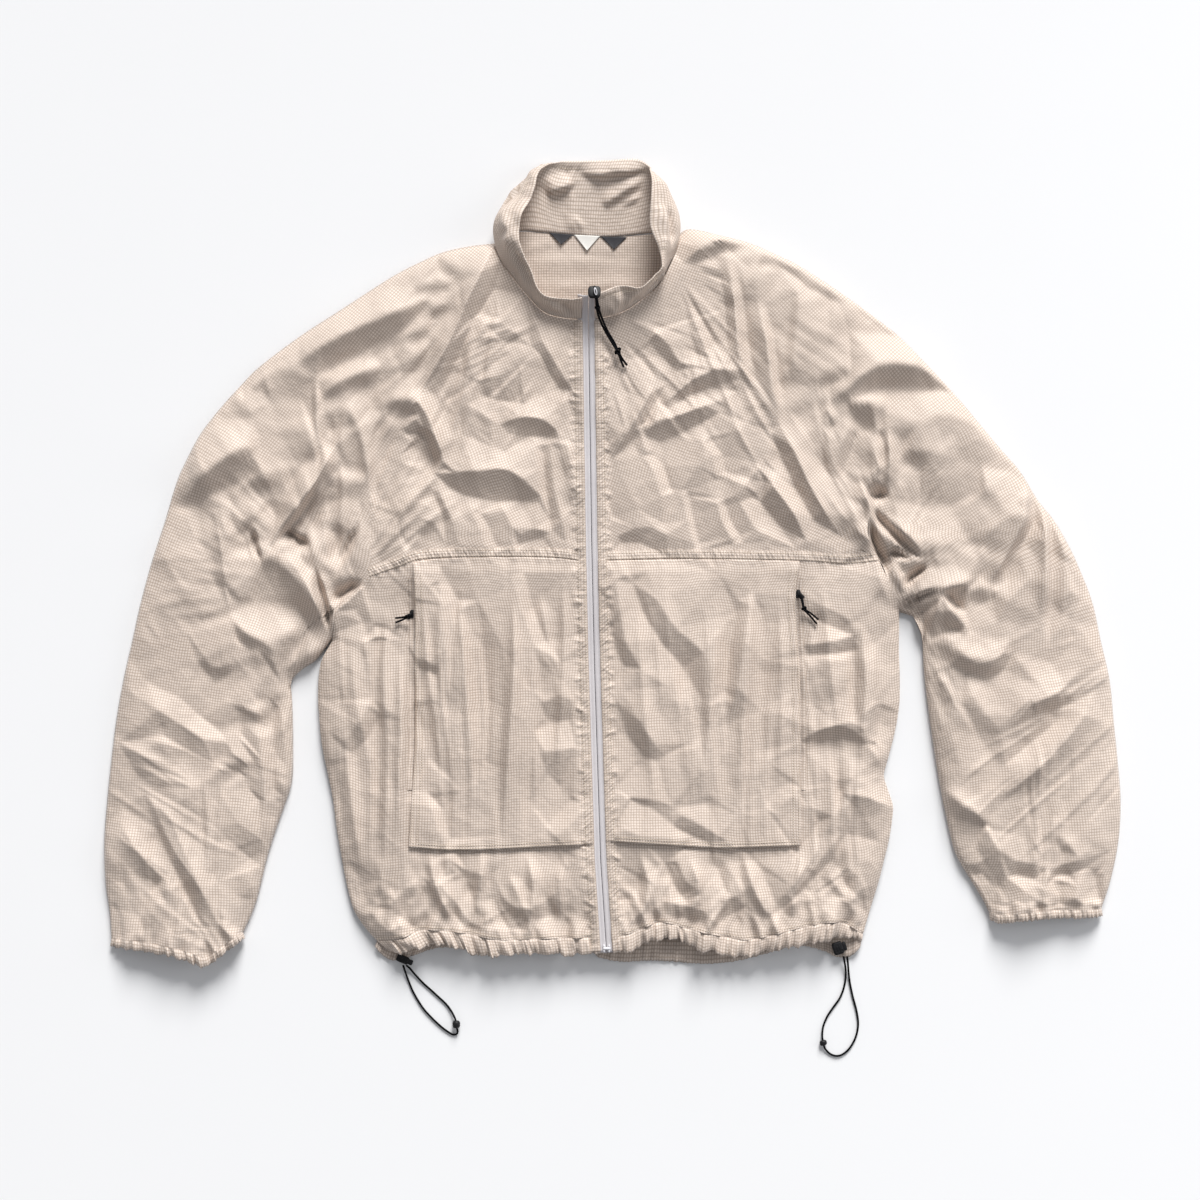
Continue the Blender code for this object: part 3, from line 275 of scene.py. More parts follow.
def make_cord(name, colour):
    """Braided round cord: two sets of strands that cross along its length, with painted shade in the grooves between
    them.
    """
    made, g, shader = new_material(name)
    split = g.split(g.node("ShaderNodeTexCoord").outputs["UV"])
    along, round_it = g.math("MULTIPLY", split[0], STRANDS[0]), g.math("MULTIPLY", split[1], STRANDS[1])
    one = g.math("PINGPONG", g.math("ADD", along, round_it), 0.5)
    two = g.math("PINGPONG", g.math("SUBTRACT", along, round_it), 0.5)
    braid = g.math("MAXIMUM", one, two)
    # The colour halves where the strands dip between crossings. This is painted shade in the braid's grooves, on the
    # same pattern as its bump.
    g.put(shader.inputs["Base Color"], g.mix(braid, toned(colour, 0.5), toned(colour)))
    shader.inputs["Roughness"].default_value = 0.8
    shader.inputs["Specular IOR Level"].default_value = 0.1
    g.put(shader.inputs["Normal"], g.bump(braid, 0.6, 0.0004))
    return made


FINISHES = {             # keyed by slot; thread goes on its slot ripstop_double
    "ripstop": make_ripstop("ripstop_check"),
    "ripstop_double": make_ripstop("ripstop_check_double", 0.98, 1.3),
    "zip_tape": make_tape(),
    "thread": make_plain("sewing_thread", (0.70, 0.61, 0.50), 0.55, 400.0, 0.3),
    "zip_coil": make_plain("nylon_coil", (0.60, 0.60, 0.66), 0.35, 300.0, 0.1),
    "pale_plastic": make_plain("pale_moulded", (0.72, 0.71, 0.74), 0.35, 120.0, 0.1),
    "black_plastic": make_plain("black_moulded", (0.010, 0.010, 0.012), 0.48, 90.0, 0.12, 0.3, 0.3),
    "black_cord": make_cord("black_braid", (0.006, 0.006, 0.008)),
    "label_light": make_plain("woven_label_light", (0.80, 0.78, 0.74), 0.7, 500.0, 0.4),
    "label_dark": make_plain("woven_label_dark", (0.026, 0.026, 0.032), 0.7, 500.0, 0.4),
}


# ============================================================ lines on the sheet
def at_steps(wanted, along, line):
    """Points of the line at the wanted places, where along holds the place of each of its points."""
    return np.column_stack([np.interp(wanted, along, line[:, k]) for k in range(line.shape[1])])


def smooth_line(points, cells):
    """cells + 1 points at equal steps along the smooth curve through the given points."""
    given = np.asarray(points, float)
    ends = np.vstack([2 * given[0] - given[1], given, 2 * given[-1] - given[-2]])
    t = np.linspace(0, 1, 13)[:-1, None]
    runs = []
    for a, b, c, d in zip(ends[:-3], ends[1:-2], ends[2:-1], ends[3:]):
        runs.append(0.5 * (2 * b + (c - a) * t + (2 * a - 5 * b + 4 * c - d) * t ** 2
                           + (3 * b - a - 3 * c + d) * t ** 3))
    dense = np.vstack(runs + [given[-1:]])
    along = steps_along(dense)
    return at_steps(np.linspace(0, along[-1], cells + 1), along, dense)


def joined(*lines):
    return np.vstack([lines[0]] + [line[1:] for line in lines[1:]])


def steps_along(line):
    """Distance from the line's start to each of its points."""
    return np.concatenate([[0], np.cumsum(np.linalg.norm(np.diff(line, axis=0), axis=1))])


def length_of(line):
    return float(np.linalg.norm(np.diff(np.asarray(line, float), axis=0), axis=1).sum())


def ramp(value):
    value = np.clip(value, 0, 1)
    return value * value * (3 - 2 * value)


def nearest(x, y, line):
    """Distance to a line of points, the side it lies on (+1 right) and the share along it."""
    a, b = line[:-1], line[1:]
    run = b - a
    length = np.linalg.norm(run, axis=1)
    best, side, along = None, None, None
    start = np.concatenate([[0], np.cumsum(length)[:-1]])
    for k in range(len(a)):
        px, py = x - a[k, 0], y - a[k, 1]
        t = np.clip((px * run[k, 0] + py * run[k, 1]) / length[k] ** 2, 0, 1)
        distance = np.hypot(px - t * run[k, 0], py - t * run[k, 1])
        turn = np.sign(run[k, 0] * py - run[k, 1] * px)
        where = start[k] + t * length[k]
        if best is None:
            best, side, along = distance, turn, where
        else:
            closer = distance < best
            best, side, along = (np.where(closer, distance, best), np.where(closer, turn, side),
                                 np.where(closer, where, along))
    return best, side, along / length.sum()


ZIP_LINE = ((587, 297), (588.5, 321), (591.6, 540), (594.3, 660), (600.6, 860), (606.6, 951))
# The outlines and seams of each side; "grain" is the line that the sleeve's check runs along.
LEFT = {
    "outer": ((497, 243), (470, 246), (443, 252), (420, 262), (400, 272), (380, 284), (340, 310), (300, 336),
        (260, 366), (240, 386), (220, 408), (200, 434), (186, 460), (176, 483), (165, 520), (152, 560), (141, 600),
        (132, 640), (123, 680), (116, 720), (111, 760), (107, 800), (104, 840), (105, 880), (109, 910), (111, 938)),
    "inner": ((332, 640), (326, 648), (315, 661), (300, 671), (290, 684), (292, 700), (293, 740), (292, 780),
        (284, 806), (275, 832), (267, 858), (258, 895), (251, 915), (243, 932)),
    "side": ((332, 640), (321, 662), (318, 690), (319, 715), (322, 745), (328, 775), (333, 800), (337, 830),
        (343, 865), (348, 890), (354, 910), (364, 926), (377, 941)),
    "raglan": ((497, 243), (482, 275), (466, 308), (450, 345), (425, 390), (405, 425), (385, 455), (372, 490),
        (371, 530), (371, 576)),
    "underarm": ((371, 576), (352, 594), (338, 612), (332, 640)),
    "neck": ((497, 243), (499, 259), (511, 277), (530, 300), (545, 314), (563, 319), (582, 321)),
    "yoke": ((371, 576), (400, 566), (427, 558), (500, 556), (555, 557), (585.5, 561)),
    "hem": ((377, 941), (404, 936), (420, 929), (440, 929), (466, 932), (500, 938), (545, 937), (599.5, 936)),
    "hem_edge": ((388, 950), (400, 953), (420, 946), (440, 944), (466, 949), (480, 955), (525, 953), (575, 954),
        (600.6, 952)),
    "cuff": ((111, 938), (140, 940), (170, 945), (195, 952), (208, 955), (225, 944), (243, 932)),
    "cuff_edge": ((110, 946), (140, 949.5), (170, 954), (195, 962), (208, 965), (227, 951), (245, 938)),
    "pocket_top": ((414, 562.5), (440, 558.6), (500, 557.2), (555, 558.2), (585.5, 562)),
    "pocket_outer": ((414, 562.5), (415, 610), (415, 750), (410, 846)),
    "pocket_bottom": ((410, 846), (450, 849), (500, 848), (592.5, 843)),
    "grain": ((600, 60), (540, 130), (470, 215), (400, 300), (330, 390), (270, 480), (232, 560), (208, 640),
        (195, 720), (188, 800), (181, 880), (176, 960), (172, 1040))}
RIGHT = {
    "outer": ((676, 236), (690, 229), (720, 235), (750, 243), (780, 256), (800, 266), (840, 292), (880, 321),
        (900, 337), (920, 357), (940, 378), (960, 400), (980, 424), (1000, 448), (1020, 471), (1038, 500),
        (1054, 520), (1066, 540), (1076, 560), (1092, 600), (1101, 640), (1110, 680), (1114, 720), (1118, 760),
        (1121, 800), (1119, 840), (1111, 880), (1102, 908)),
    "inner": ((899, 612), (912, 616), (924, 624), (923, 650), (925, 680), (930, 720), (936, 760), (943, 800),
        (953, 845), (960, 862), (971, 880), (983, 900), (989, 912)),
    "side": ((899, 612), (899, 650), (900, 690), (898, 715), (893, 740), (887, 762), (884, 776), (888, 790),
        (893, 806), (892, 820), (889, 840), (884, 860), (879, 880), (873, 900), (867, 920), (863, 934)),
    "raglan": ((676, 236), (705, 256), (730, 290), (738, 345), (752, 388), (775, 420), (790, 450), (808, 488),
        (830, 526), (852, 545), (878, 560)),
    "underarm": ((878, 560), (886, 578), (895, 598), (899, 612)),
    "neck": ((595, 321), (622, 314), (640, 303), (659, 286), (671, 264), (675, 252), (676, 236)),
    "yoke": ((598.2, 560), (660, 558), (700, 558), (800, 560), (845, 563), (878, 560)),
    "hem": ((612.2, 936), (632, 931), (660, 921), (690, 928), (740, 938), (765, 935), (800, 926), (838, 921),
        (863, 934)),
    "hem_edge": ((613.2, 952), (628, 949), (660, 938), (674, 938), (700, 948), (740, 955), (770, 950), (800, 944),
        (830, 938), (846, 938), (862, 941)),
    "cuff": ((1102, 908), (1080, 909), (1050, 909), (1020, 912), (1000, 914), (989, 912)),
    "cuff_edge": ((1103, 916), (1080, 917.5), (1050, 917.5), (1020, 920), (1000, 922.5), (990, 920)),
    "pocket_top": ((598.2, 561), (700, 559.2), (799, 561)),
    "pocket_outer": ((799, 561), (795, 596), (799.5, 680), (800, 780), (799.5, 844.5)),
    "pocket_bottom": ((607, 840), (700, 846), (731, 847), (799.5, 844.5)),
    "grain": ((530, 20), (590, 90), (660, 170), (740, 255), (820, 335), (900, 425), (960, 510), (1002, 590),
        (1025, 670), (1036, 750), (1042, 830), (1046, 910), (1050, 990))}
SIDES = (("left", -1, LEFT), ("right", 1, RIGHT))
BACK_NECK = ((497, 243), (510, 234), (524, 231), (550, 233), (600, 237), (645, 234), (660, 233), (676, 236))
BACK_HEM = ((377, 941), (420, 938), (480, 938), (580, 937), (620, 938), (700, 938), (780, 937), (830, 937),
    (863, 934))
BACK_HEM_EDGE = ((375, 947), (383, 956), (394, 961), (410, 957), (440, 948), (480, 950), (580, 951), (600, 958),
    (622, 962), (656, 961), (704, 964), (739, 961), (773, 952), (800, 946), (826, 952), (836, 957), (850, 957),
    (860, 948))

# Each row: height of the crest, reach of its left and right flank (seen along the line), points.
FOLDS = (
    # left sleeve and shoulder
    (14, 46, 27, 292, 366, 320, 350, 345, 336, 380, 321, 405, 311, 428, 301),
    (10, 18, 24, 318, 402, 340, 383, 362, 373, 386, 366),
    (21, 16, 42, 318, 378, 317, 415, 322, 445, 329, 460, 318, 482, 302, 508, 286, 531, 263, 564),
    (19, 40, 33, 180, 505, 205, 478, 232, 456, 250, 447, 264, 449),
    (9, 22, 18, 228, 500, 245, 485, 262, 480, 276, 492),
    (20, 30, 26, 262, 562, 284, 556, 300, 570, 312, 590, 322, 612, 331, 632),
    (10, 36, 15, 232, 616, 246, 631, 262, 639, 285, 637, 308, 618),
    (8, 26, 16, 203, 660, 224, 668, 250, 655, 284, 642),
    (9, 25, 22, 140, 738, 168, 743, 200, 756, 225, 769, 248, 764),
    (9, 24, 22, 148, 782, 160, 815, 176, 848, 200, 882, 222, 922),
    (7, 22, 18, 120, 820, 140, 850, 160, 872, 172, 885), (7, 30, 12, 215, 510, 222, 540, 226, 580, 231, 612),
    # left body above the yoke
    (14, 30, 22, 496, 240, 482, 275, 466, 308, 448, 348, 421, 394),
    (16, 18, 26, 385, 404, 400, 400, 420, 404, 434, 430, 446, 470),
    (9, 45, 28, 440, 468, 475, 473, 505, 470, 525, 484, 543, 501),
    (6, 22, 14, 500, 424, 528, 418, 548, 424, 562, 438), (8, 16, 14, 556, 425, 564, 462, 570, 495, 578, 520),
    (8, 18, 14, 378, 562, 404, 512, 430, 480), (7, 18, 14, 392, 572, 418, 538, 444, 505),
    (6, 14, 16, 476, 336, 468, 368, 462, 400, 455, 440), (8, 20, 18, 340, 400, 356, 420, 366, 452, 371, 490),
    # right body above the yoke
    (9, 20, 14, 686, 262, 708, 246, 728, 240, 748, 242),
    (5, 7, 28, 727, 254, 733, 300, 736, 345, 741, 370, 752, 389),
    (6, 8, 24, 755, 300, 764, 335, 771, 380, 777, 424), (7, 30, 22, 666, 403, 690, 383, 715, 370, 742, 380),
    (6.5, 26, 20, 632, 436, 655, 426, 690, 412, 718, 404), (7, 14, 14, 655, 384, 636, 420, 610, 460),
    (7.5, 30, 34, 757, 464, 772, 486, 790, 510, 806, 538),
    (7, 24, 22, 778, 424, 791, 450, 806, 482, 824, 514, 838, 534), (7, 14, 16, 812, 396, 820, 436, 832, 481),
    # right sleeve
    (11, 38, 25, 829, 402, 850, 384, 875, 368, 905, 367, 930, 375, 952, 387),
    (10, 20, 30, 843, 400, 866, 403, 889, 407), (11, 16, 24, 880, 425, 887, 450, 887, 474, 884, 496),
    (19, 10, 30, 856, 478, 868, 507, 867, 534, 875, 550), (6, 16, 24, 864, 536, 872, 556, 880, 582, 890, 606),
    (17, 18, 11, 874, 512, 884, 526, 904, 541, 924, 558),
    (15, 26, 9, 900, 607, 922, 599, 942, 588, 962, 584, 978, 575),
    (15, 12, 26, 930, 634, 940, 597, 958, 622, 968, 632),
    (9, 24, 20, 928, 640, 955, 650, 980, 660, 1000, 654, 1010, 640),
    (16, 10, 34, 1027, 482, 1024, 512, 1010, 545, 985, 590),
    (9, 12, 16, 1040, 498, 1044, 540, 1046, 590, 1042, 630),
    (9, 26, 16, 1010, 728, 1030, 703, 1056, 692, 1078, 668),
    (10, 22, 26, 1090, 705, 1060, 742, 1025, 776, 992, 800), (8, 20, 14, 940, 786, 962, 806, 988, 824),
    (6, 30, 20, 900, 455, 925, 452, 960, 462),
    # lower fronts
    (8, 24, 20, 352, 640, 356, 690, 366, 740, 372, 790), (7, 12, 22, 404, 640, 404, 720, 400, 800, 392, 890),
    (7, 18, 16, 450, 590, 455, 650, 452, 720), (8, 26, 24, 512, 590, 516, 680, 512, 760, 508, 830),
    (7, 16, 18, 540, 590, 548, 640, 562, 680), (8, 24, 24, 640, 580, 655, 640, 662, 720),
    (8, 24, 22, 752, 600, 742, 660, 728, 730), (9, 30, 24, 800, 742, 822, 728, 845, 726, 865, 742, 884, 772),
    (8, 20, 22, 838, 792, 866, 796, 893, 806), (9, 22, 20, 840, 830, 812, 868, 786, 900),
    (8, 16, 22, 874, 640, 872, 700, 868, 735), (7, 16, 14, 420, 870, 440, 895, 452, 925),
    (7, 16, 14, 508, 870, 522, 900, 532, 925), (7, 16, 14, 672, 870, 660, 900, 652, 920),
)
# Sharp creases of the crumpled cloth: height of a crest (a negative one is a valley), points.
# Between neighbouring lines the cloth is flat, as thin coated nylon lies.
PAPER = (
    # left shoulder
    (6, 300, 363, 320, 350, 340, 338, 360, 326, 375, 319, 400, 312, 430, 300),
    (-6, 318, 377, 330, 370, 345, 363, 360, 356, 370, 350, 390, 342, 405, 330, 420, 318, 430, 311),
    (4, 318, 378, 319, 400, 320, 418, 318, 432), (-4, 312, 380, 313, 400, 313, 420),
    (4.5, 322, 400, 343, 382, 365, 373, 383, 368), (-4, 345, 392, 362, 385, 374, 388, 372, 405, 358, 428),
    (3, 330, 426, 340, 410, 352, 413, 360, 430), (3, 405, 338, 418, 330, 430, 322),
    (-3, 405, 343, 418, 342, 430, 336), (3, 400, 368, 415, 356, 430, 346), (-3, 400, 374, 413, 374, 430, 366),
    (4, 384, 406, 395, 400, 408, 401, 414, 410), (-4, 385, 414, 400, 418, 418, 414),
    (3, 404, 428, 415, 421, 421, 417), (-3, 405, 436, 420, 434, 430, 430), (3, 415, 286, 440, 281, 456, 284),
    (-3, 418, 296, 434, 296, 450, 290), (-4, 262, 370, 250, 380, 238, 394), (4, 280, 366, 266, 378, 252, 390),
    (3, 235, 392, 246, 402, 254, 418), (-3, 260, 388, 272, 402, 278, 430),
    # left sleeve, elbow and armpit
    (6, 190, 480, 205, 472, 220, 463, 235, 455, 250, 447, 262, 448),
    (-5, 186, 516, 200, 505, 215, 493, 230, 487, 243, 484, 258, 480), (4, 262, 448, 257, 460, 265, 475, 272, 485),
    (-3, 272, 486, 290, 488, 288, 496, 284, 502), (4, 232, 520, 243, 519, 252, 521, 257, 530, 259, 545, 263, 558),
    (-5, 240, 532, 248, 545, 252, 560), (-6, 268, 500, 276, 520, 272, 545),
    (3, 210, 500, 222, 503, 232, 510, 228, 535, 223, 558),
    (9, 320, 477, 310, 495, 300, 510, 290, 530, 280, 545, 270, 558, 263, 566),
    (-8, 330, 484, 322, 505, 312, 522, 302, 545, 285, 558), (5, 288, 532, 302, 541, 315, 552, 329, 567, 318, 571),
    (5, 318, 571, 320, 585, 325, 600, 330, 612, 332, 635),
    (6, 263, 566, 275, 562, 285, 563, 292, 572, 300, 582, 310, 595, 318, 605, 330, 612),
    (-5, 284, 552, 300, 556, 312, 572), (-6, 235, 600, 258, 600, 280, 604, 300, 610, 314, 614),
    (4, 231, 612, 236, 624, 248, 632, 262, 640), (-3, 238, 640, 250, 648, 264, 650),
    (4, 285, 637, 277, 650, 275, 660, 280, 680), (-5, 318, 612, 310, 630, 298, 648, 286, 668),
    (4, 325, 647, 310, 652, 300, 660, 285, 675), (4.5, 343, 428, 336, 445, 329, 461, 320, 477),
    (-4, 326, 434, 324, 452, 318, 468), (-3.5, 342, 466, 356, 472, 368, 474), (3, 325, 479, 345, 480, 368, 484),
    (-4, 322, 492, 345, 498, 365, 502), (4, 364, 519, 355, 535, 346, 553, 338, 568, 333, 577),
    (-5, 338, 526, 340, 545, 332, 562), (4, 333, 577, 345, 580, 355, 576), (-6, 328, 590, 342, 592, 356, 586),
    (4, 330, 615, 348, 602, 366, 585), (-3, 355, 606, 364, 622, 368, 640), (3, 362, 643, 378, 636, 390, 640),
    (-3, 375, 622, 382, 638, 388, 624), (4, 203, 660, 222, 650, 240, 640), (-3, 200, 664, 218, 682, 230, 702),
    (2.5, 198, 540, 190, 560, 188, 600), (2.5, 226, 584, 236, 590, 246, 598),
    # left forearm
    (5, 135, 695, 160, 708, 185, 725, 205, 737, 230, 742), (-5, 165, 735, 190, 750, 215, 764, 240, 770, 256, 762),
    (-4, 182, 698, 202, 716, 222, 731, 238, 733), (4, 231, 752, 240, 757, 250, 765),
    (3, 222, 770, 230, 764, 243, 761), (5, 246, 708, 255, 711, 264, 714), (-5, 240, 736, 243, 722, 243, 708),
    (4.5, 120, 742, 145, 755, 170, 775, 195, 788, 222, 792),
    (4.5, 158, 786, 172, 815, 185, 845, 203, 885, 222, 924), (-4, 145, 792, 157, 828, 174, 862, 189, 895, 204, 928),
    (5, 178, 880, 168, 888, 155, 912, 147, 932), (4, 178, 880, 188, 900, 200, 926),
    (-4, 171, 872, 154, 890, 142, 914, 137, 936), (3, 258, 720, 264, 760, 267, 800, 268, 840),
    (-3, 272, 700, 275, 750, 274, 800), (3, 281, 698, 285, 735, 289, 778), (4, 278, 780, 291, 784, 285, 802),
    (2.5, 215, 825, 240, 822, 262, 838, 268, 850), (-2.5, 238, 846, 250, 858, 262, 866),
    (3, 165, 945, 175, 932, 190, 926, 206, 930), (3, 222, 925, 234, 934, 243, 929),
    (-2, 245, 772, 250, 788, 262, 800),
    # left body above the yoke
    (9, 494, 246, 482, 275, 466, 308, 448, 348, 421, 394), (-5, 502, 262, 494, 290, 478, 318, 462, 352, 440, 392),
    (-3, 436, 256, 440, 270, 454, 282), (3, 445, 258, 456, 268, 462, 282), (3, 430, 310, 448, 305, 463, 308),
    (-2, 430, 318, 448, 315, 460, 314), (3.5, 470, 328, 486, 325, 500, 323, 494, 333),
    (-3, 470, 320, 484, 316, 500, 318), (3, 466, 345, 480, 338, 500, 340),
    (-3, 468, 352, 466, 380, 460, 405, 454, 432), (3, 476, 350, 474, 380, 468, 405, 462, 436),
    (2.5, 480, 385, 500, 378, 520, 366, 540, 358), (-3, 480, 394, 500, 402, 525, 404),
    (4, 532, 347, 542, 342, 548, 350, 556, 366, 566, 382, 575, 393), (-3.5, 540, 356, 548, 372, 560, 388, 568, 400),
    (5, 436, 472, 455, 474, 475, 471, 500, 470, 510, 471, 525, 480, 537, 492, 543, 501),
    (-5.5, 440, 478, 450, 488, 465, 495, 480, 499, 500, 502, 520, 501, 539, 503),
    (4, 500, 425, 520, 418, 545, 420, 556, 430), (-4, 508, 434, 528, 436, 545, 438, 558, 440),
    (3.5, 436, 438, 441, 450, 444, 462, 448, 470), (-3, 430, 448, 430, 462, 434, 474),
    (2.5, 434, 480, 415, 500, 400, 518), (3, 400, 530, 418, 517, 436, 505), (-3.5, 402, 546, 420, 535, 436, 525),
    (2.5, 441, 492, 452, 520, 462, 552), (-2.5, 434, 490, 443, 520, 449, 553), (2.5, 470, 507, 480, 530, 488, 553),
    (-2, 478, 508, 490, 530, 498, 552), (3, 518, 537, 535, 529, 547, 532), (-2.5, 515, 546, 532, 541, 548, 538),
    (2.5, 534, 440, 538, 470, 540, 498), (-3.5, 542, 444, 546, 490, 551, 530),
    (3, 550, 445, 556, 490, 562, 520, 568, 545), (-3, 560, 444, 566, 475, 573, 508),
    (3, 566, 440, 572, 470, 578, 500), (2, 503, 508, 512, 528, 516, 552),
    # right body above the yoke
    (6, 682, 264, 700, 250, 722, 241, 746, 240), (-4, 694, 266, 712, 256, 730, 252, 746, 250),
    (5, 728, 256, 734, 300, 738, 345, 743, 370, 752, 389), (-3, 738, 262, 744, 305, 748, 345, 754, 372),
    (-2.5, 720, 270, 725, 310, 728, 350), (5, 757, 302, 765, 340, 772, 390, 778, 424),
    (-4, 765, 306, 774, 345, 779, 385, 783, 412),
    (4, 752, 256, 765, 253, 785, 257, 797, 266, 812, 273, 825, 284, 838, 294, 850, 297),
    (-4, 750, 268, 764, 266, 782, 269, 795, 278, 806, 288, 828, 299, 840, 303), (3.5, 740, 292, 752, 276, 758, 266),
    (-2.5, 792, 290, 787, 330, 784, 375), (2.5, 799, 292, 795, 330, 791, 375), (4, 652, 330, 668, 346, 683, 369),
    (-3, 648, 342, 660, 356, 676, 372), (4.5, 666, 403, 690, 383, 715, 371, 740, 379),
    (-5, 668, 410, 690, 396, 710, 388, 738, 392), (3.5, 604, 452, 620, 436, 636, 418, 648, 396, 657, 378),
    (-3.5, 614, 458, 630, 442, 646, 424, 657, 402, 666, 386), (4, 634, 431, 655, 422, 680, 415, 705, 406, 722, 400),
    (-4.5, 644, 437, 658, 442, 678, 436, 700, 424, 720, 414), (3, 618, 537, 636, 528, 655, 528, 666, 535, 690, 550),
    (-3, 612, 549, 622, 542, 640, 543, 655, 550, 668, 556), (-2, 606, 500, 612, 520),
    (2, 681, 490, 687, 520, 694, 550), (-2, 687, 490, 693, 518, 701, 550),
    (4, 733, 497, 745, 486, 757, 468, 766, 461), (-4, 740, 502, 752, 498, 764, 482, 774, 472),
    (-3, 723, 500, 730, 522, 742, 542), (3, 716, 498, 722, 520, 733, 544),
    (6, 757, 464, 772, 486, 790, 510, 806, 540), (-5, 748, 478, 760, 502, 778, 526, 794, 548),
    (6, 778, 424, 791, 450, 806, 482, 824, 514, 840, 536), (-5, 770, 432, 782, 460, 796, 490, 812, 520),
    (3, 640, 456, 654, 470, 662, 496, 664, 524), (-3, 649, 452, 664, 468, 672, 494),
    (2.5, 700, 440, 712, 456, 716, 480), (-2, 709, 438, 722, 455, 727, 478),
    # right sleeve
    (9, 830, 402, 845, 390, 860, 377, 878, 366, 895, 364, 915, 366, 935, 374, 952, 386),
    (-7, 850, 400, 868, 391, 885, 388, 905, 390, 930, 390, 952, 392), (6, 846, 401, 868, 403, 888, 406),
    (-6, 852, 416, 864, 430, 884, 436), (5, 888, 406, 886, 430, 888, 470), (-5, 882, 436, 884, 452, 882, 470),
    (5, 860, 487, 868, 478, 878, 470, 886, 465), (-6, 870, 499, 878, 495, 885, 488),
    (4, 866, 432, 876, 432, 874, 452, 866, 468),
    (6, 903, 440, 918, 425, 932, 417, 950, 416, 968, 422, 985, 433, 1005, 452),
    (-5, 893, 500, 920, 505, 950, 506, 970, 497, 981, 490), (3, 898, 458, 908, 450, 925, 458, 940, 480),
    (-3, 898, 470, 910, 464, 922, 474), (3, 812, 381, 828, 373, 850, 370), (-3, 815, 388, 830, 384, 848, 378),
    (4, 829, 403, 826, 412, 830, 418, 840, 419), (-3, 818, 400, 820, 425, 824, 470),
    (3.5, 826, 430, 829, 450, 833, 478), (4, 850, 424, 842, 445, 832, 475), (-4, 856, 430, 850, 450, 840, 478),
    (5, 843, 498, 854, 518, 855, 531, 868, 541, 880, 552), (-5, 862, 502, 864, 520, 872, 534),
    (-7, 871, 512, 885, 526, 900, 538, 920, 556), (6, 872, 525, 878, 534, 892, 543, 905, 551, 921, 558),
    (6, 886, 524, 900, 532, 914, 543, 927, 558), (-8, 872, 542, 880, 554, 890, 562, 901, 557),
    (6, 893, 563, 908, 561, 923, 559), (-6, 898, 571, 912, 573, 926, 567), (5, 893, 563, 898, 578, 900, 592),
    (4, 893, 563, 889, 572, 888, 580), (5, 925, 559, 930, 544, 928, 532),
    (4, 900, 590, 918, 578, 938, 566, 955, 548, 962, 530), (7, 898, 609, 922, 599, 944, 588, 962, 583, 977, 576),
    (-6, 905, 616, 924, 612, 936, 602), (5, 977, 576, 976, 562, 982, 548), (9, 941, 597, 933, 612, 925, 627),
    (9, 941, 597, 954, 612, 968, 631), (-4, 928, 640, 942, 632, 958, 630), (-7, 948, 595, 958, 604, 966, 616),
    (5, 962, 590, 980, 588, 999, 592), (-4, 966, 600, 980, 602, 994, 598),
    (5, 927, 644, 945, 637, 962, 636, 979, 638), (6, 945, 650, 960, 656, 975, 664, 990, 664, 1002, 652, 1006, 640),
    (-4, 948, 664, 965, 674, 985, 680, 1002, 670, 1012, 654),
    (5, 975, 500, 984, 486, 998, 498, 1012, 503, 1022, 512),
    (7, 1027, 483, 1024, 498, 1021, 513, 1004, 518, 988, 532, 974, 548),
    (-5, 1034, 500, 1034, 520, 1022, 540, 1005, 556, 990, 562), (6, 1040, 505, 1043, 540, 1043, 580, 1041, 620),
    (-6, 1050, 515, 1051, 550, 1050, 600, 1047, 648), (5, 1051, 516, 1058, 538, 1064, 562),
    (5, 1036, 556, 1026, 580, 1006, 600, 996, 622), (-4, 1020, 560, 1008, 578, 990, 590),
    (3, 1060, 598, 1070, 590, 1080, 596), (-3, 1060, 610, 1068, 622, 1074, 640),
    (6, 1030, 706, 1045, 697, 1058, 689), (-5, 1034, 716, 1050, 710, 1066, 706, 1078, 700),
    (5, 1000, 734, 1008, 716, 1024, 700, 1040, 688, 1060, 680),
    (6, 1000, 782, 1030, 762, 1055, 740, 1080, 712, 1092, 690), (-5, 1003, 764, 1030, 742, 1055, 722, 1068, 708),
    (4, 945, 788, 965, 803, 985, 828, 998, 850, 1004, 875), (-3.5, 955, 818, 975, 846, 992, 875, 1010, 904),
    (3, 966, 800, 978, 812, 988, 821), (-3, 974, 816, 982, 824, 990, 828),
    (4, 1005, 868, 1015, 860, 1030, 862, 1045, 868), (-4, 1012, 872, 1024, 876, 1036, 880),
    (5, 1050, 870, 1062, 862, 1078, 858, 1084, 866), (-5, 1046, 880, 1056, 874, 1070, 873),
    (4, 1040, 906, 1042, 888, 1048, 872), (4, 1020, 906, 1024, 890, 1034, 882),
    (4, 1082, 868, 1076, 885, 1071, 904), (-4, 1060, 880, 1058, 895, 1060, 906),
    (-3, 1092, 870, 1096, 888, 1100, 904), (3, 1100, 868, 1106, 880, 1104, 900),
    (-3, 960, 700, 975, 730, 990, 755, 998, 772), (3, 968, 690, 985, 715, 998, 733),
    # left pocket and lower front
    (4, 512, 575, 522, 610, 535, 645, 555, 672, 562, 678), (-4, 524, 572, 534, 610, 546, 640, 562, 662),
    (-3.5, 441, 568, 450, 585, 457, 600, 455, 640, 450, 700), (3, 434, 585, 444, 605, 446, 650, 440, 700),
    (-3, 478, 600, 484, 650, 488, 700, 484, 760), (3.5, 503, 592, 505, 650, 508, 710, 504, 770),
    (3, 414, 656, 428, 661, 440, 667), (-3, 416, 665, 430, 671, 440, 674), (3, 414, 601, 430, 586, 441, 582),
    (2, 527, 680, 527, 720, 521, 800, 518, 845), (-2, 533, 690, 534, 730, 528, 800, 525, 840),
    (3.5, 416, 790, 432, 806, 440, 830, 447, 846), (-3.5, 428, 792, 442, 808, 453, 845),
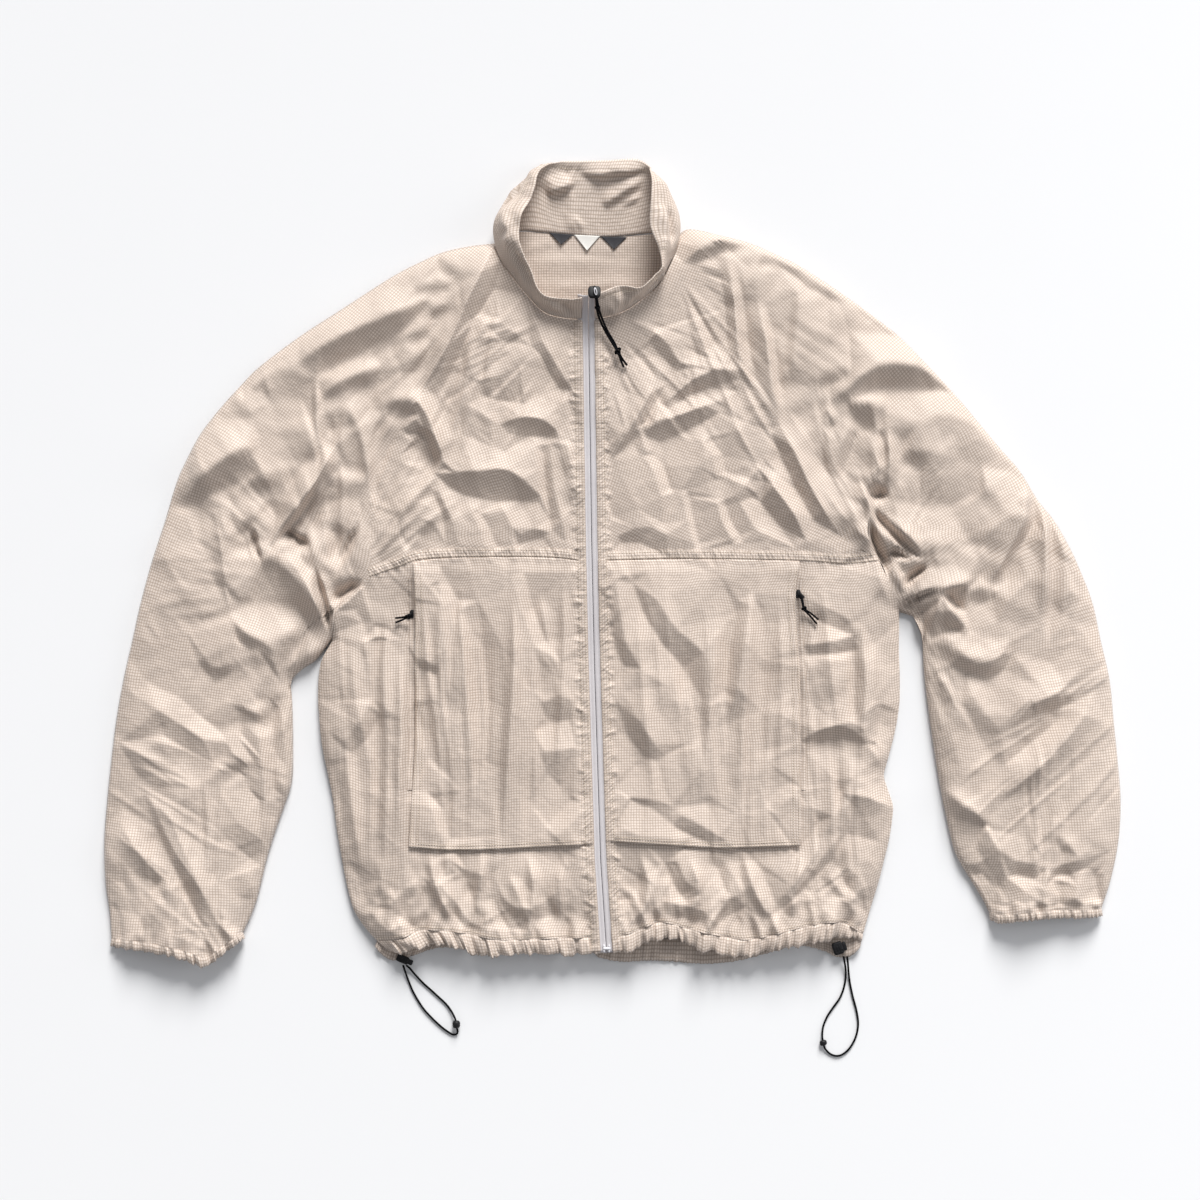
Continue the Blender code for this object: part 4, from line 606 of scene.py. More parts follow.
    (3, 540, 703, 560, 695, 576, 701), (-3.5, 543, 718, 558, 722, 573, 718), (3.5, 540, 752, 560, 749, 576, 747),
    (-3.5, 546, 770, 560, 785, 572, 796), (4, 552, 838, 568, 825, 586, 804), (-3, 546, 826, 560, 812, 574, 796),
    (2.5, 458, 610, 466, 660, 468, 720, 462, 790), (-2.5, 415, 700, 424, 730, 430, 765),
    (2.5, 404, 640, 404, 720, 402, 800, 392, 896),
    # right pocket
    (3.5, 600, 591, 615, 580, 630, 574), (5, 648, 572, 656, 600, 676, 628, 702, 652, 706, 704),
    (-5, 632, 584, 642, 612, 660, 642, 684, 668, 692, 706), (4, 752, 592, 742, 640, 734, 700),
    (-4, 738, 600, 730, 648, 722, 702), (4.5, 610, 607, 620, 611, 625, 640, 640, 668),
    (-4, 610, 622, 615, 645, 628, 672), (5, 622, 691, 640, 720, 655, 745, 663, 756),
    (-4.5, 613, 700, 628, 735, 644, 757, 656, 760), (-3, 612, 784, 630, 799, 648, 806),
    (3, 622, 796, 650, 800, 677, 806), (3.5, 675, 812, 700, 824, 724, 838), (-3, 672, 824, 694, 836, 714, 844),
    (3, 615, 825, 640, 835, 680, 838), (2.5, 772, 816, 785, 800, 798, 791), (-2.5, 764, 806, 778, 790, 794, 780),
    (2.5, 690, 742, 702, 770, 710, 802), (-2.5, 764, 660, 760, 710, 766, 760),
    # sides of the body
    (3, 330, 700, 328, 730, 332, 766), (4, 374, 698, 360, 722, 342, 746), (-4, 382, 712, 368, 738, 348, 758),
    (4, 392, 902, 405, 888, 425, 880), (-4, 392, 908, 400, 916, 412, 926, 420, 940),
    (4, 378, 940, 390, 930, 402, 922, 411, 930), (-2.5, 352, 860, 360, 885, 372, 912),
    (3, 812, 600, 830, 610, 850, 620, 862, 624), (-3, 806, 612, 826, 624, 846, 634),
    (4, 803, 646, 830, 641, 860, 634), (-3, 803, 656, 830, 654, 856, 650), (3, 803, 668, 825, 659, 850, 661),
    (5, 800, 741, 815, 730, 835, 724, 850, 721, 862, 728, 869, 741), (-4, 806, 752, 822, 742, 842, 738, 858, 744),
    (4, 872, 700, 869, 720, 864, 741), (-4, 880, 702, 878, 724, 874, 744), (4, 872, 735, 880, 755, 886, 775),
    (5, 833, 782, 832, 815, 815, 850, 790, 885, 763, 918), (-5, 848, 802, 845, 832, 830, 860, 805, 885, 781, 908),
    (5, 835, 779, 850, 776, 868, 786, 882, 797), (4, 850, 801, 870, 798, 892, 806),
    (4, 845, 866, 855, 875, 865, 886, 855, 893, 850, 903), (-4, 840, 872, 846, 886, 843, 900),
    (-3, 860, 898, 866, 914, 862, 930), (2.5, 801, 788, 808, 805, 818, 820), (-2.5, 800, 898, 812, 893, 820, 899),
    # below the pockets
    (3.5, 425, 865, 450, 858, 465, 868), (-3, 430, 880, 450, 905, 466, 926), (3, 438, 878, 458, 902, 472, 924),
    (-3.5, 462, 870, 474, 900, 478, 925), (4, 500, 895, 515, 905, 528, 916), (-4, 506, 908, 516, 918, 524, 932),
    (4.5, 520, 922, 535, 905, 550, 897, 566, 900), (-4, 532, 930, 544, 918, 560, 912),
    (3.5, 565, 868, 580, 860, 589, 850), (4.5, 628, 925, 645, 905, 655, 885, 661, 865),
    (-4, 622, 908, 634, 892, 644, 874), (4.5, 675, 855, 685, 880, 701, 892), (-4.5, 664, 862, 672, 882, 684, 898),
    (4, 662, 900, 690, 905, 702, 912), (-3.5, 664, 914, 684, 918, 698, 924), (4, 700, 915, 720, 900, 745, 890),
    (-3.5, 708, 928, 728, 914, 750, 905), (3, 760, 868, 778, 858, 796, 852), (-2.5, 716, 868, 734, 862, 756, 858),
)

# ============================================================ the fronts as a height field
LOW_X, LOW_Y, HIGH_X, HIGH_Y = 90, 140, 1132, 984
GX, GY = np.meshgrid(np.arange(LOW_X, HIGH_X + 1.0), np.arange(LOW_Y, HIGH_Y + 1.0))
# Fine creases that fan out from where the cloth is held: the middle, first and last direction in
# degrees (0 to the right, 90 down the sheet), nearest and farthest reach, count, height.
FANS = (
    ((338, 588), 165, 262, 24, 190, 46, 1.7),
    ((338, 590), 268, 328, 24, 190, 30, 1.5),
    ((332, 610), 98, 150, 20, 150, 24, 1.6),
    ((504, 262), 92, 158, 26, 230, 40, 1.7),
    ((668, 262), 20, 86, 26, 230, 40, 1.6),
    ((884, 566), 214, 272, 24, 210, 24, 1.4),
    ((888, 570), 276, 352, 24, 130, 16, 1.4),
    ((900, 606), 20, 78, 18, 150, 18, 1.5),
    ((588, 300), 20, 84, 34, 190, 26, 1.8),
    ((588, 300), 96, 160, 34, 190, 26, 1.8),
    ((150, 955), 268, 290, 24, 200, 16, 1.6),
    ((208, 955), 256, 276, 24, 200, 16, 1.6),
    ((1040, 915), 262, 284, 20, 190, 26, 1.6),
    ((480, 1500), 266, 273, 560, 930, 20, 1.5),
    ((720, 1500), 267, 275, 560, 930, 22, 1.5),
    ((365, 1500), 268, 274, 580, 900, 12, 2.4),
    ((850, 1500), 266, 272, 580, 900, 16, 2.4),
    ((-260, 560), 10, 40, 380, 620, 12, 1.5),
    ((1420, 470), 132, 160, 330, 600, 18, 1.6),
)
# Long upright drapes of the lower fronts and the pockets: height, reach to either side, points.
DRAPES = (
    (5.0, 22, 10, 442, 575, 440, 640, 443, 700, 452, 770, 455, 838),
    (4.0, 9, 20, 463, 580, 464, 650, 470, 720, 474, 810),
    (5.5, 11, 9, 513, 590, 515, 650, 511, 720, 507, 780, 503, 842), (3.8, 10, 26, 532, 630, 534, 720, 536, 812),
    (4.4, 15, 9, 563, 572, 564, 640, 562, 700, 556, 770), (3.6, 8, 8, 424, 590, 428, 660, 436, 720, 444, 790),
    (4.5, 16, 20, 637, 575, 640, 660, 648, 740, 655, 806), (4.2, 18, 26, 664, 580, 670, 660, 688, 745),
    (5.2, 17, 27, 716, 590, 712, 680, 704, 760, 700, 832), (5.2, 11, 30, 748, 575, 749, 660, 742, 740, 735, 826),
    (3.2, 12, 10, 778, 590, 781, 690, 778, 790), (6.5, 24, 9, 386, 600, 385, 680, 388, 760, 386, 840, 380, 905),
    (4.4, 11, 13, 340, 690, 350, 780, 362, 872), (4.0, 10, 8, 400, 640, 402, 730, 398, 820),
    (6.5, 14, 11, 860, 620, 864, 680, 861, 745), (4.6, 18, 14, 822, 590, 829, 660, 834, 722),
    (4.6, 16, 12, 846, 780, 838, 830, 826, 880), (5.5, 13, 10, 430, 850, 436, 880, 456, 926),
    (5.0, 9, 14, 486, 852, 480, 886, 474, 930), (5.6, 12, 9, 528, 850, 534, 890, 528, 930),
    (4.8, 9, 12, 566, 852, 560, 890, 566, 926), (5.4, 12, 9, 640, 852, 648, 884, 640, 918),
    (5.0, 9, 14, 690, 854, 698, 886, 688, 920), (5.6, 14, 10, 742, 850, 752, 884, 770, 922),
    (5.0, 10, 14, 800, 846, 796, 880, 788, 922),
)
# Deep tucks at the armpits: depth, reach to either side, points on the sheet.
CAVES = (
    (-15.0, 9, 7, 324, 478, 312, 500, 300, 518, 286, 534, 266, 560), (-12.0, 5, 9, 284, 530, 298, 538, 314, 548),
    (-15.0, 6, 7, 316, 566, 320, 586, 326, 608, 331, 634), (-10.0, 6, 8, 366, 582, 346, 591, 328, 604),
    (-10.0, 6, 5, 362, 520, 348, 548, 334, 574), (-8.0, 5, 6, 256, 528, 256, 546, 264, 562),
    (-16.0, 7, 6, 869, 506, 886, 527, 904, 545, 923, 562), (-13.0, 9, 4, 868, 516, 872, 540, 880, 556, 890, 578),
    (-12.0, 6, 4, 884, 554, 898, 554, 914, 560), (-12.0, 3, 9, 930, 566, 916, 576, 901, 590),
    (-14.0, 9, 4, 944, 588, 926, 594, 908, 603, 894, 611), (-9.0, 5, 7, 942, 590, 952, 603, 964, 613),
    (-9.0, 15, 4, 862, 493, 876, 497, 890, 494), (-5.5, 3, 15, 413, 562, 413, 596, 414, 650),
    (-3.4, 3, 9, 414, 640, 415, 715, 414, 800), (-4.0, 13, 3, 798, 572, 796, 604, 799, 680),
    (-3.0, 9, 3, 799, 660, 800, 730, 800, 790), (-6.0, 34, 7, 384, 408, 378, 440, 376, 476, 378, 520),
    (-4.5, 22, 6, 300, 395, 312, 420, 322, 452, 318, 478), (-7.0, 9, 30, 414, 428, 424, 436, 432, 452, 436, 474),
    (-5.0, 22, 10, 330, 520, 336, 540, 338, 566), (-4.0, 10, 26, 240, 520, 252, 534, 262, 556),
    (-5.0, 12, 30, 286, 690, 268, 724, 246, 720),
)
RNG = np.random.default_rng(7)


def window(line, reach):
    """The part of the fields that lies within reach of a line."""
    low = np.maximum(np.floor(line.min(axis=0) - reach).astype(int) - (LOW_X, LOW_Y), 0)
    high = np.minimum(np.ceil(line.max(axis=0) + reach).astype(int) - (LOW_X, LOW_Y) + 1, GX.shape[::-1])
    return (slice(low[1], max(high[1], low[1] + 1)), slice(low[0], max(high[0], low[0] + 1)))


def blurred(field, sigma):
    reach = int(3 * sigma + 0.5)
    weights = np.exp(-0.5 * (np.arange(-reach, reach + 1) / sigma) ** 2)
    weights /= weights.sum()
    for axis in (0, 1):
        padded = np.pad(field, [(reach, reach) if a == axis else (0, 0) for a in (0, 1)], mode="edge")
        size = field.shape[axis]
        field = sum(w * (padded[k:k + size] if axis == 0 else padded[:, k:k + size])
                    for k, w in enumerate(weights))
    return field


def sample(field, x, y):
    """A field's value at places of the sheet, evened between its points."""
    u = np.clip(np.asarray(x, float) - LOW_X, 0, field.shape[1] - 1.001)
    v = np.clip(np.asarray(y, float) - LOW_Y, 0, field.shape[0] - 1.001)
    i, j = u.astype(int), v.astype(int)
    s, t = u - i, v - j
    return ((field[j, i] * (1 - s) + field[j, i + 1] * s) * (1 - t)
            + (field[j + 1, i] * (1 - s) + field[j + 1, i + 1] * s) * t)


def add_fold(field, row, sharp=1.15, scale=1.0, cells=12):
    """A ridge or valley with straight flanks, which dies away at its ends."""
    height, left, right, *points = row
    line = smooth_line(np.reshape(points, (-1, 2)), cells)
    w = window(line, max(left, right))
    distance, side, along = nearest(GX[w], GY[w], line)
    taper = ramp(np.minimum(along, 1 - along) / FOLD_TAPER)
    reach = np.where(side > 0, right, left) * (0.35 + 0.65 * taper)
    field[w] += scale * height * taper * np.clip(1 - distance / reach, 0, 1) ** sharp


def add_gather(field, start, direction, length, height, width):
    """One gather that leaves a seam: full at the seam, gone at its far end."""
    direction = np.asarray(direction, float) / np.linalg.norm(direction)
    bend = np.array([-direction[1], direction[0]]) * RNG.uniform(-0.12, 0.12) * length
    start = np.asarray(start, float)
    line = np.array([start - direction * 4, start + direction * length * 0.5 + bend, start + direction * length])
    w = window(line, width)
    distance, _, along = nearest(GX[w], GY[w], line)
    left = 1 - ramp(along)
    field[w] += height * left * np.clip(1 - distance / (width * (0.55 + 0.45 * left)), 0, 1) ** 1.1


def gathers(field, seam, count, length, height, width, lean, flip):
    """Uneven gathers along a seam, to its left (flip 1) or right (flip -1)."""
    line = smooth_line(seam, 80)
    places = (np.arange(count) + RNG.uniform(0.15, 0.85, count)) / count
    for share in places:
        k = min(int(share * 80), 79)
        run = line[k + 1] - line[k]
        normal = flip * np.array([run[1], -run[0]]) / np.linalg.norm(run)
        along = run / np.linalg.norm(run)
        strength = RNG.uniform(0.35, 1.0) ** 1.3
        add_gather(field, line[k], normal + along * RNG.uniform(-lean, lean),
                   length * RNG.uniform(0.35, 1.0) * (0.5 + 0.5 * strength),
                   height * strength * RNG.choice((1, 1, -0.7)), width * RNG.uniform(0.6, 1.3))


def fan(field, middle, first, last, near, far, count, height):
    """Long fine creases that run out from one place."""
    for _ in range(count):
        turn = math.radians(RNG.uniform(first, last))
        start = RNG.uniform(near, near + 0.55 * (far - near))
        end = min(far, start + RNG.uniform(0.22, 0.6) * (far - near))
        way = np.array([math.cos(turn), math.sin(turn)])
        aside = np.array([-way[1], way[0]])
        bend = RNG.uniform(-0.06, 0.06) * (end - start)
        line = [np.array(middle) + way * r + aside * b for r, b in ((start, 0), ((start + end) / 2, bend), (end, 0))]
        narrow, wide = RNG.uniform(2.5, 5.0), RNG.uniform(5.0, 12.0)
        pair = (narrow, wide) if RNG.random() < 0.5 else (wide, narrow)
        add_fold(field, (height * RNG.uniform(0.5, 1.0) * RNG.choice((1, 1, -1)), *pair, *np.ravel(line)))


def fill_triangle(field, corners, levels):
    """Set the field inside a triangle of the sheet to the slope between its corners' levels."""
    t = window(corners, 1)
    x, y = GX[t], GY[t]
    (ax, ay), (bx, by), (cx, cy) = corners
    area = (bx - ax) * (cy - ay) - (cx - ax) * (by - ay)
    if abs(area) < 1e-3:
        return
    u = ((x - ax) * (cy - ay) - (cx - ax) * (y - ay)) / area
    v = ((bx - ax) * (y - ay) - (x - ax) * (by - ay)) / area
    inside = (u >= -1e-6) & (v >= -1e-6) & (u + v <= 1 + 1e-6)
    field[t] = np.where(inside, levels[0] * (1 - u - v) + levels[1] * u + levels[2] * v, field[t])


def facets(field, region, spacing, height, angle, stretch):
    """Crumpled cloth: flat facets between uneven points, long in one direction."""
    low_x, low_y, high_x, high_y = region
    middle = np.array([(low_x + high_x) / 2, (low_y + high_y) / 2])
    size = math.hypot(high_x - low_x, high_y - low_y)
    count = int(size / spacing) + 2
    k = (np.arange(count) - count / 2) * spacing
    px, py = np.meshgrid(k * stretch, k)
    points = np.column_stack([px.ravel(), py.ravel()])
    points += RNG.uniform(-0.48, 0.48, points.shape) * (spacing * stretch, spacing)
    c, s = math.cos(angle), math.sin(angle)
    placed = points @ np.array([[c, s], [-s, c]]) + middle
    keep = np.all((placed > (low_x - spacing * stretch * 2, low_y - spacing * stretch * 2))
                  & (placed < (high_x + spacing * stretch * 2, high_y + spacing * stretch * 2)), axis=1)
    placed, points = placed[keep], points[keep]
    flat = points / (stretch, 1)
    triangles = geometry.delaunay_2d_cdt([Vector(p) for p in flat], [], [], 0, 1e-4)[2]
    z = RNG.normal(0, height, len(placed))
    w = (slice(int(low_y - LOW_Y), int(high_y - LOW_Y)), slice(int(low_x - LOW_X), int(high_x - LOW_X)))
    made = np.zeros(field.shape)
    for triangle in triangles:
        fill_triangle(made, placed[triangle], z[list(triangle)])
    edge = np.minimum.reduce([GX[w] - low_x, high_x - GX[w], GY[w] - low_y, high_y - GY[w]])
    field[w] += made[w] * ramp(edge / 20.0)


PANEL_CALM = 0.35        # the lower fronts lie calmer between their creases


def paper(rows, spacing, wander, clear, scale):
    """Flat facets between the crest and valley lines, with uneven points where there are none."""
    places, levels, edges = [], [], []
    lines = [np.reshape(line, (-1, 2)).astype(float) for _, *line in rows]
    for (height, *_), line in zip(rows, lines):
        steps = np.linalg.norm(np.diff(line, axis=0), axis=1)
        along = np.concatenate([[0], np.cumsum(steps)]) / steps.sum()
        extra = [0.12, 0.88] if len(line) < 4 else []
        wanted = np.array(sorted(set(along) | set(extra)))
        line = at_steps(wanted, along, line)
        line += RNG.normal(0, 0.5, line.shape)
        full = np.minimum(1.0, 0.15 + np.minimum(wanted, 1 - wanted) / 0.2)
        first = len(places)
        places += list(line)
        levels += list(height * full * scale * RNG.uniform(0.88, 1.1, len(line)))
        edges += [(first + k, first + k + 1) for k in range(len(line) - 1)]
    grid_x, grid_y = np.meshgrid(np.arange(LOW_X - 40, HIGH_X + 60, spacing),
                                 np.arange(LOW_Y - 40, HIGH_Y + 60, spacing))
    filler = np.column_stack([grid_x.ravel(), grid_y.ravel()])
    filler += RNG.uniform(-0.46, 0.46, filler.shape) * spacing
    dense = np.vstack([smooth_line(line, 12) for line in lines])
    for place in filler:
        if np.min(np.hypot(*(dense - place).T)) > clear:
            places.append(place)
            calm = PANEL_CALM if 330 < place[0] < 905 and place[1] > YOKE_LEVEL else 1.0
            levels.append(RNG.uniform(-1.7, 1.7) * wander * calm)
    verts, _, faces, origins, _, _ = geometry.delaunay_2d_cdt([Vector(p) for p in places], edges, [], 0, 1e-3)
    z = np.array([levels[o[0]] if o else np.nan for o in origins])
    for k in np.flatnonzero(np.isnan(z)):
        near = [j for face in faces if k in face for j in face if not np.isnan(z[j])]
        z[k] = np.mean(z[near]) if near else 0.0
    verts = np.array([tuple(v) for v in verts])
    field = np.zeros(GX.shape)
    for face in faces:
        corners, level = verts[list(face)], z[list(face)]
        if corners[:, 0].max() < LOW_X or corners[:, 1].max() < LOW_Y \
                or corners[:, 0].min() > HIGH_X or corners[:, 1].min() > HIGH_Y:
            continue
        fill_triangle(field, corners, level)
    return field


def zip_x(y):
    """Where the zip's middle line runs at this y."""
    line = np.asarray(ZIP_LINE)
    return np.interp(y, line[:, 1], line[:, 0])


def edge_distance_field():
    """Distance in millimetres from the side folds and the sleeves' folds."""
    field, cells = np.full(GX.shape, EDGE_FAR), 60
    for outline in [lines[name] for _, _, lines in SIDES for name in ("outer", "inner", "side")]:
        line = smooth_line(outline, cells)
        for k in range(0, cells, 3):
            part = line[k:k + 4]
            w = window(part, EDGE_FAR)
            field[w] = np.minimum(field[w], nearest(GX[w], GY[w], part)[0])
    return field


def pocket_inside_field():
    """1 well inside a pocket, 0 outside it."""
    inside = np.zeros(GX.shape)
    for _, _, lines in SIDES:
        outer, bottom = smooth_line(lines["pocket_outer"], 20), smooth_line(lines["pocket_bottom"], 20)
        from_outer = np.abs(GX - np.interp(GY, outer[:, 1], outer[:, 0]))
        low, high = sorted((outer[:, 0].mean(), float(zip_x(700))))
        between = (GX > low) & (GX < high)
        from_bottom = np.interp(GX, bottom[:, 0], bottom[:, 1]) - GY
        from_zip = np.abs(GX - zip_x(GY)) - ZIP_HALF
        depth = np.minimum.reduce([from_outer, from_bottom, GY - YOKE_LEVEL - 1, from_zip])
        inside = np.maximum(inside, np.where(between, ramp(depth / POCKET_REACH), 0))
    return inside


EDGE_DISTANCE = edge_distance_field()
POCKET_INSIDE = pocket_inside_field()


def evened(field):
    """The same folds with their steep sides eased and their gentle sides brought out."""
    down, across = np.gradient(field)
    slope = np.hypot(down, SIDE_EASE * across) + 1e-9
    share = (slope / SLOPE_LIMIT) ** SLOPE_POWER
    share = 1.15 * SLOPE_LIMIT * share / (1 + share) / slope
    down, across = down * share, across * share
    curve = np.zeros(field.shape)
    curve[:, 1:-1] += (across[:, 2:] - across[:, :-2]) / 2
    curve[1:-1] += (down[2:] - down[:-2]) / 2
    wide = np.block([[curve, curve[:, ::-1]], [curve[::-1], curve[::-1, ::-1]]])
    waves = np.fft.rfft2(wide)
    share = (2 * np.cos(2 * np.pi * np.fft.fftfreq(wide.shape[0]))[:, None]
             + 2 * np.cos(2 * np.pi * np.fft.rfftfreq(wide.shape[1]))[None] - 4)
    share[0, 0], waves[0, 0] = 1, 0
    level = np.fft.irfft2(waves / share, s=wide.shape)[:field.shape[0], :field.shape[1]]
    return level - blurred(level, EVEN_REACH)


# Crumple by region: its corners, spacing and height of the points, lean in radians, stretch.
# Long facets lie across the sleeves, upright ones on the lower fronts.
CRUMPLE = (
    ((96, 230, 500, 960), 13, 0.34, 0.9, 1.7), ((700, 230, 1125, 930), 13, 0.34, -0.9, 1.7),
    ((400, 240, 790, 560), 12, 0.3, 1.2, 1.6), ((330, 560, 900, 860), 12, 0.26, 1.57, 2.2),
    ((340, 850, 900, 970), 14, 1.7, 1.3, 1.8), ((340, 880, 900, 975), 7, 0.8, 1.5, 1.5),
    ((96, 860, 270, 975), 13, 1.3, 1.4, 1.8), ((930, 830, 1125, 940), 13, 1.9, 1.4, 1.8),
    ((96, 300, 420, 640), 24, 0.8, 0.8, 2.0), ((780, 300, 1100, 660), 24, 0.8, -0.8, 2.0),
)
ZIP_GATHERS = (90, 16, 1.7, 3.6, 0.9)                       # the same numbers as in GATHERS
# Gathers at the elastic and drawcord seams, puckers at the sewn ones: seam, count, longest,
# height, width, how far they lean, and 1 or -1 for the side of the seam that they lie on.
GATHERS = (
    (LEFT["hem"], 20, 84, 6.4, 10, 0.3, 1), (RIGHT["hem"], 24, 80, 6.4, 10, 0.3, 1),
    (LEFT["cuff"], 15, 74, 6.0, 8, 0.3, 1), (RIGHT["cuff"], 15, 60, 6.6, 8, 0.35, 1),
    (LEFT["yoke"], 36, 20, 1.3, 4, 0.5, 1), (RIGHT["yoke"], 44, 16, 1.0, 4, 0.5, 1),
    (LEFT["yoke"], 30, 26, 1.1, 5, 0.4, -1), (RIGHT["yoke"], 36, 26, 1.1, 5, 0.4, -1),
)


def make_front_field():
    """Height of the top cloth over the whole sheet: loft, folds, facets, gathers and tucks."""
    folds = np.zeros(GX.shape)
    for row in FOLDS:
        add_fold(folds, row, FOLD_SHARP, FOLD_SHARE)
    for row in DRAPES:
        add_fold(folds, row, DRAPE_SHARP, DRAPE_SHARE)
    body = paper(PAPER, spacing=44.0, wander=2.3, clear=16.0, scale=PAPER_SCALE)
    for row in FANS:
        fan(body, *row)
    for row in CRUMPLE:
        facets(body, *row)
    body = evened(body + FOLD_IN_PAPER * folds)
    body += (1 - FOLD_IN_PAPER) * (folds - blurred(folds, FOLD_MEAN))
    for row in GATHERS:
        gathers(body, *row)
    for side in (-1, 1):
        y = np.linspace(325, 940, 24)
        edge = np.column_stack([zip_x(y) + side * (ZIP_HALF + WELT - 1), y])
        gathers(body, edge, *ZIP_GATHERS, -side)
    rise = (SEAT + LOFT - 3.0 - EDGE_MEET) * np.sqrt(1 - (1 - np.clip(EDGE_DISTANCE / LOFT_REACH, 0, 1)) ** 2)
    beside_zip = np.abs(GX - zip_x(GY)) - ZIP_HALF
    body = body * ramp((EDGE_DISTANCE + 2) / EDGE_FADE) * (ZIP_LEAST + (1 - ZIP_LEAST) * ramp(beside_zip / ZIP_FADE))
    floor = EDGE_MEET + FLOOR_SHARE * rise
    level = EDGE_MEET + rise + body
    level = np.where(level < floor, floor + FLOOR_GIVE * (level - floor), level)
    for row in CAVES:
        add_fold(level, row, 1.0)
    level = np.where(level < LOWEST, LOWEST + TUCK_GIVE * (level - LOWEST), level)
    return blurred(level, FRONT_BLUR)


FRONT = make_front_field()
LOWER = FRONT - POCKET_DROP * POCKET_INSIDE


def stretch_fields(field):
    """How far the weave creeps where the cloth climbs, so that it keeps its length."""
    made = []
    for axis in (1, 0):
        climb = np.sqrt(1 + np.gradient(field, axis=axis) ** 2) - 1
        total = np.cumsum(climb, axis=axis)
        made.append(CREEP * blurred(total - blurred(total, 22.0), 4.0))
    return made


CREEP_X, CREEP_Y = stretch_fields(FRONT)


# ============================================================ mesh helpers
COLLECTION = bpy.data.collections.new("dressed")
bpy.context.scene.collection.children.link(COLLECTION)


def link(mesh, name, slot, body="jacket", replaces=(), finish=None):
    """A new piece that rides on a body, with its slot's material unless another is given."""
    mesh.materials.append(finish or FINISHES[slot])
    return ride(bpy.data.objects.new(name, mesh), body, replaces)


def ride(made, body, replaces):
    COLLECTION.objects.link(made)
    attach(made, body)
    if replaces:
        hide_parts(*replaces)
    return made


def grid_mesh(name, points, uv, closed=False, flip=False):
    """Quads through points[row][column] on the sheet; uv in metres, one column more if closed."""
    points, uv = np.asarray(points), np.asarray(uv)
    rows, columns = points.shape[:2]
    index = np.arange(rows * columns).reshape(rows, columns)
    if closed:
        index = np.hstack([index, index[:, :1]])
    corners = [index[:-1, :-1], index[1:, :-1], index[1:, 1:], index[:-1, 1:]]
    at = np.arange(uv.shape[0] * uv.shape[1]).reshape(uv.shape[:2])
    uv_corners = [at[:-1, :-1], at[1:, :-1], at[1:, 1:], at[:-1, 1:]]
    if flip:
        corners, uv_corners = corners[::-1], uv_corners[::-1]
    faces = np.stack(corners, -1).reshape(-1, 4)
    uv_faces = np.stack(uv_corners, -1).reshape(-1)
    mesh = bpy.data.meshes.new(name)
    mesh.vertices.add(rows * columns)
    mesh.vertices.foreach_set("co", world(points).astype(np.float32).ravel())
    mesh.loops.add(faces.size)
    mesh.loops.foreach_set("vertex_index", faces.ravel().astype(np.int32))
    mesh.polygons.add(len(faces))
    mesh.polygons.foreach_set("loop_start", (np.arange(len(faces)) * 4).astype(np.int32))
    layer = mesh.uv_layers.new(name="cloth")
    layer.data.foreach_set("uv", uv.reshape(-1, 2)[uv_faces].astype(np.float32).ravel())
    mesh.update(calc_edges=True)
    mesh.validate()
    mesh.shade_smooth()
    return mesh


def cloth(name, points, uv, slot, replaces, cut, area=None, rests=(), wall=None, offset=-1.0, **form):
    """A sheet of cloth. cut (its width and length in metres) and area (its cut area where that is less) are not
    used.
    """
    made = link(grid_mesh(name, points, uv, **form), name, slot, replaces=replaces)
    if wall:
        shell = made.modifiers.new("wall", "SOLIDIFY")
        shell.thickness, shell.offset, shell.use_rim = wall * MM, offset, True
    return made


def coons(top, bottom, left, right):
    """A grid of places between four lines that meet at their ends."""
    u = np.linspace(0, 1, len(top))[None, :, None]
    v = np.linspace(0, 1, len(left))[:, None, None]
    between_rows = (1 - v) * top[None] + v * bottom[None]
    between_columns = (1 - u) * left[:, None] + u * right[:, None]
    corners = (1 - v) * ((1 - u) * top[0] + u * top[-1]) + v * ((1 - u) * bottom[0] + u * bottom[-1])
    return between_rows + between_columns - corners


def weave(flat, angle=0.0):
    """UV in metres: the sheet place, crept with the folds and turned to the grain."""
    x = flat[..., 0] + sample(CREEP_X, flat[..., 0], flat[..., 1])
    y = flat[..., 1] + sample(CREEP_Y, flat[..., 0], flat[..., 1])
    c, s = math.cos(math.radians(angle)), math.sin(math.radians(angle))
    return np.stack([(x * c - y * s) * MM, (x * s + y * c) * MM], -1)


def zip_edge(top, bottom, side, cells):
    y = np.linspace(top, bottom, cells + 1)
    return np.column_stack([zip_x(y) + side * ZIP_HALF, y])


def cells_for(line, cell=CELL):
    return max(4, round(length_of(line) / cell))


POCKET_PANELS = {}       # the pockets' own height functions, for what is sewn on them
CUFF_RINGS = {}          # the sleeves' last rows of points, which the cuffs continue
# Cut of the large sheets: width and length in metres, and the area in square metres where the
# cut isn't a rectangle.
CUTS = {
    "front_yoke_left": ((0.24, 0.34), 0.048), "front_yoke_right": ((0.29, 0.34), 0.051),
    "front_lower_left": ((0.27, 0.40), 0.096), "front_lower_right": ((0.30, 0.40), 0.106),
    "pocket_left": ((0.185, 0.29), None), "pocket_right": ((0.20, 0.29), None),
    "back": ((0.60, 0.72), 0.32), "sleeve": ((0.42, 0.72), 0.25), "collar": ((0.46, 0.065), None),
}


def sheet_panel(node, lines, height, grain, rests="back", wall=None):
    """The cloth of one CAD node: a grid between four lines (top, bottom, left, right) of the sheet."""
    flat = coons(*lines)
    z = height(flat[..., 0], flat[..., 1])
    cloth(f"{node}_cloth", np.dstack([flat, z]), weave(flat, grain), "ripstop", [node], *CUTS[node],
          [f"{rests}_cloth"], wall)


def on_front(x, y):
    return sample(FRONT, x, y)


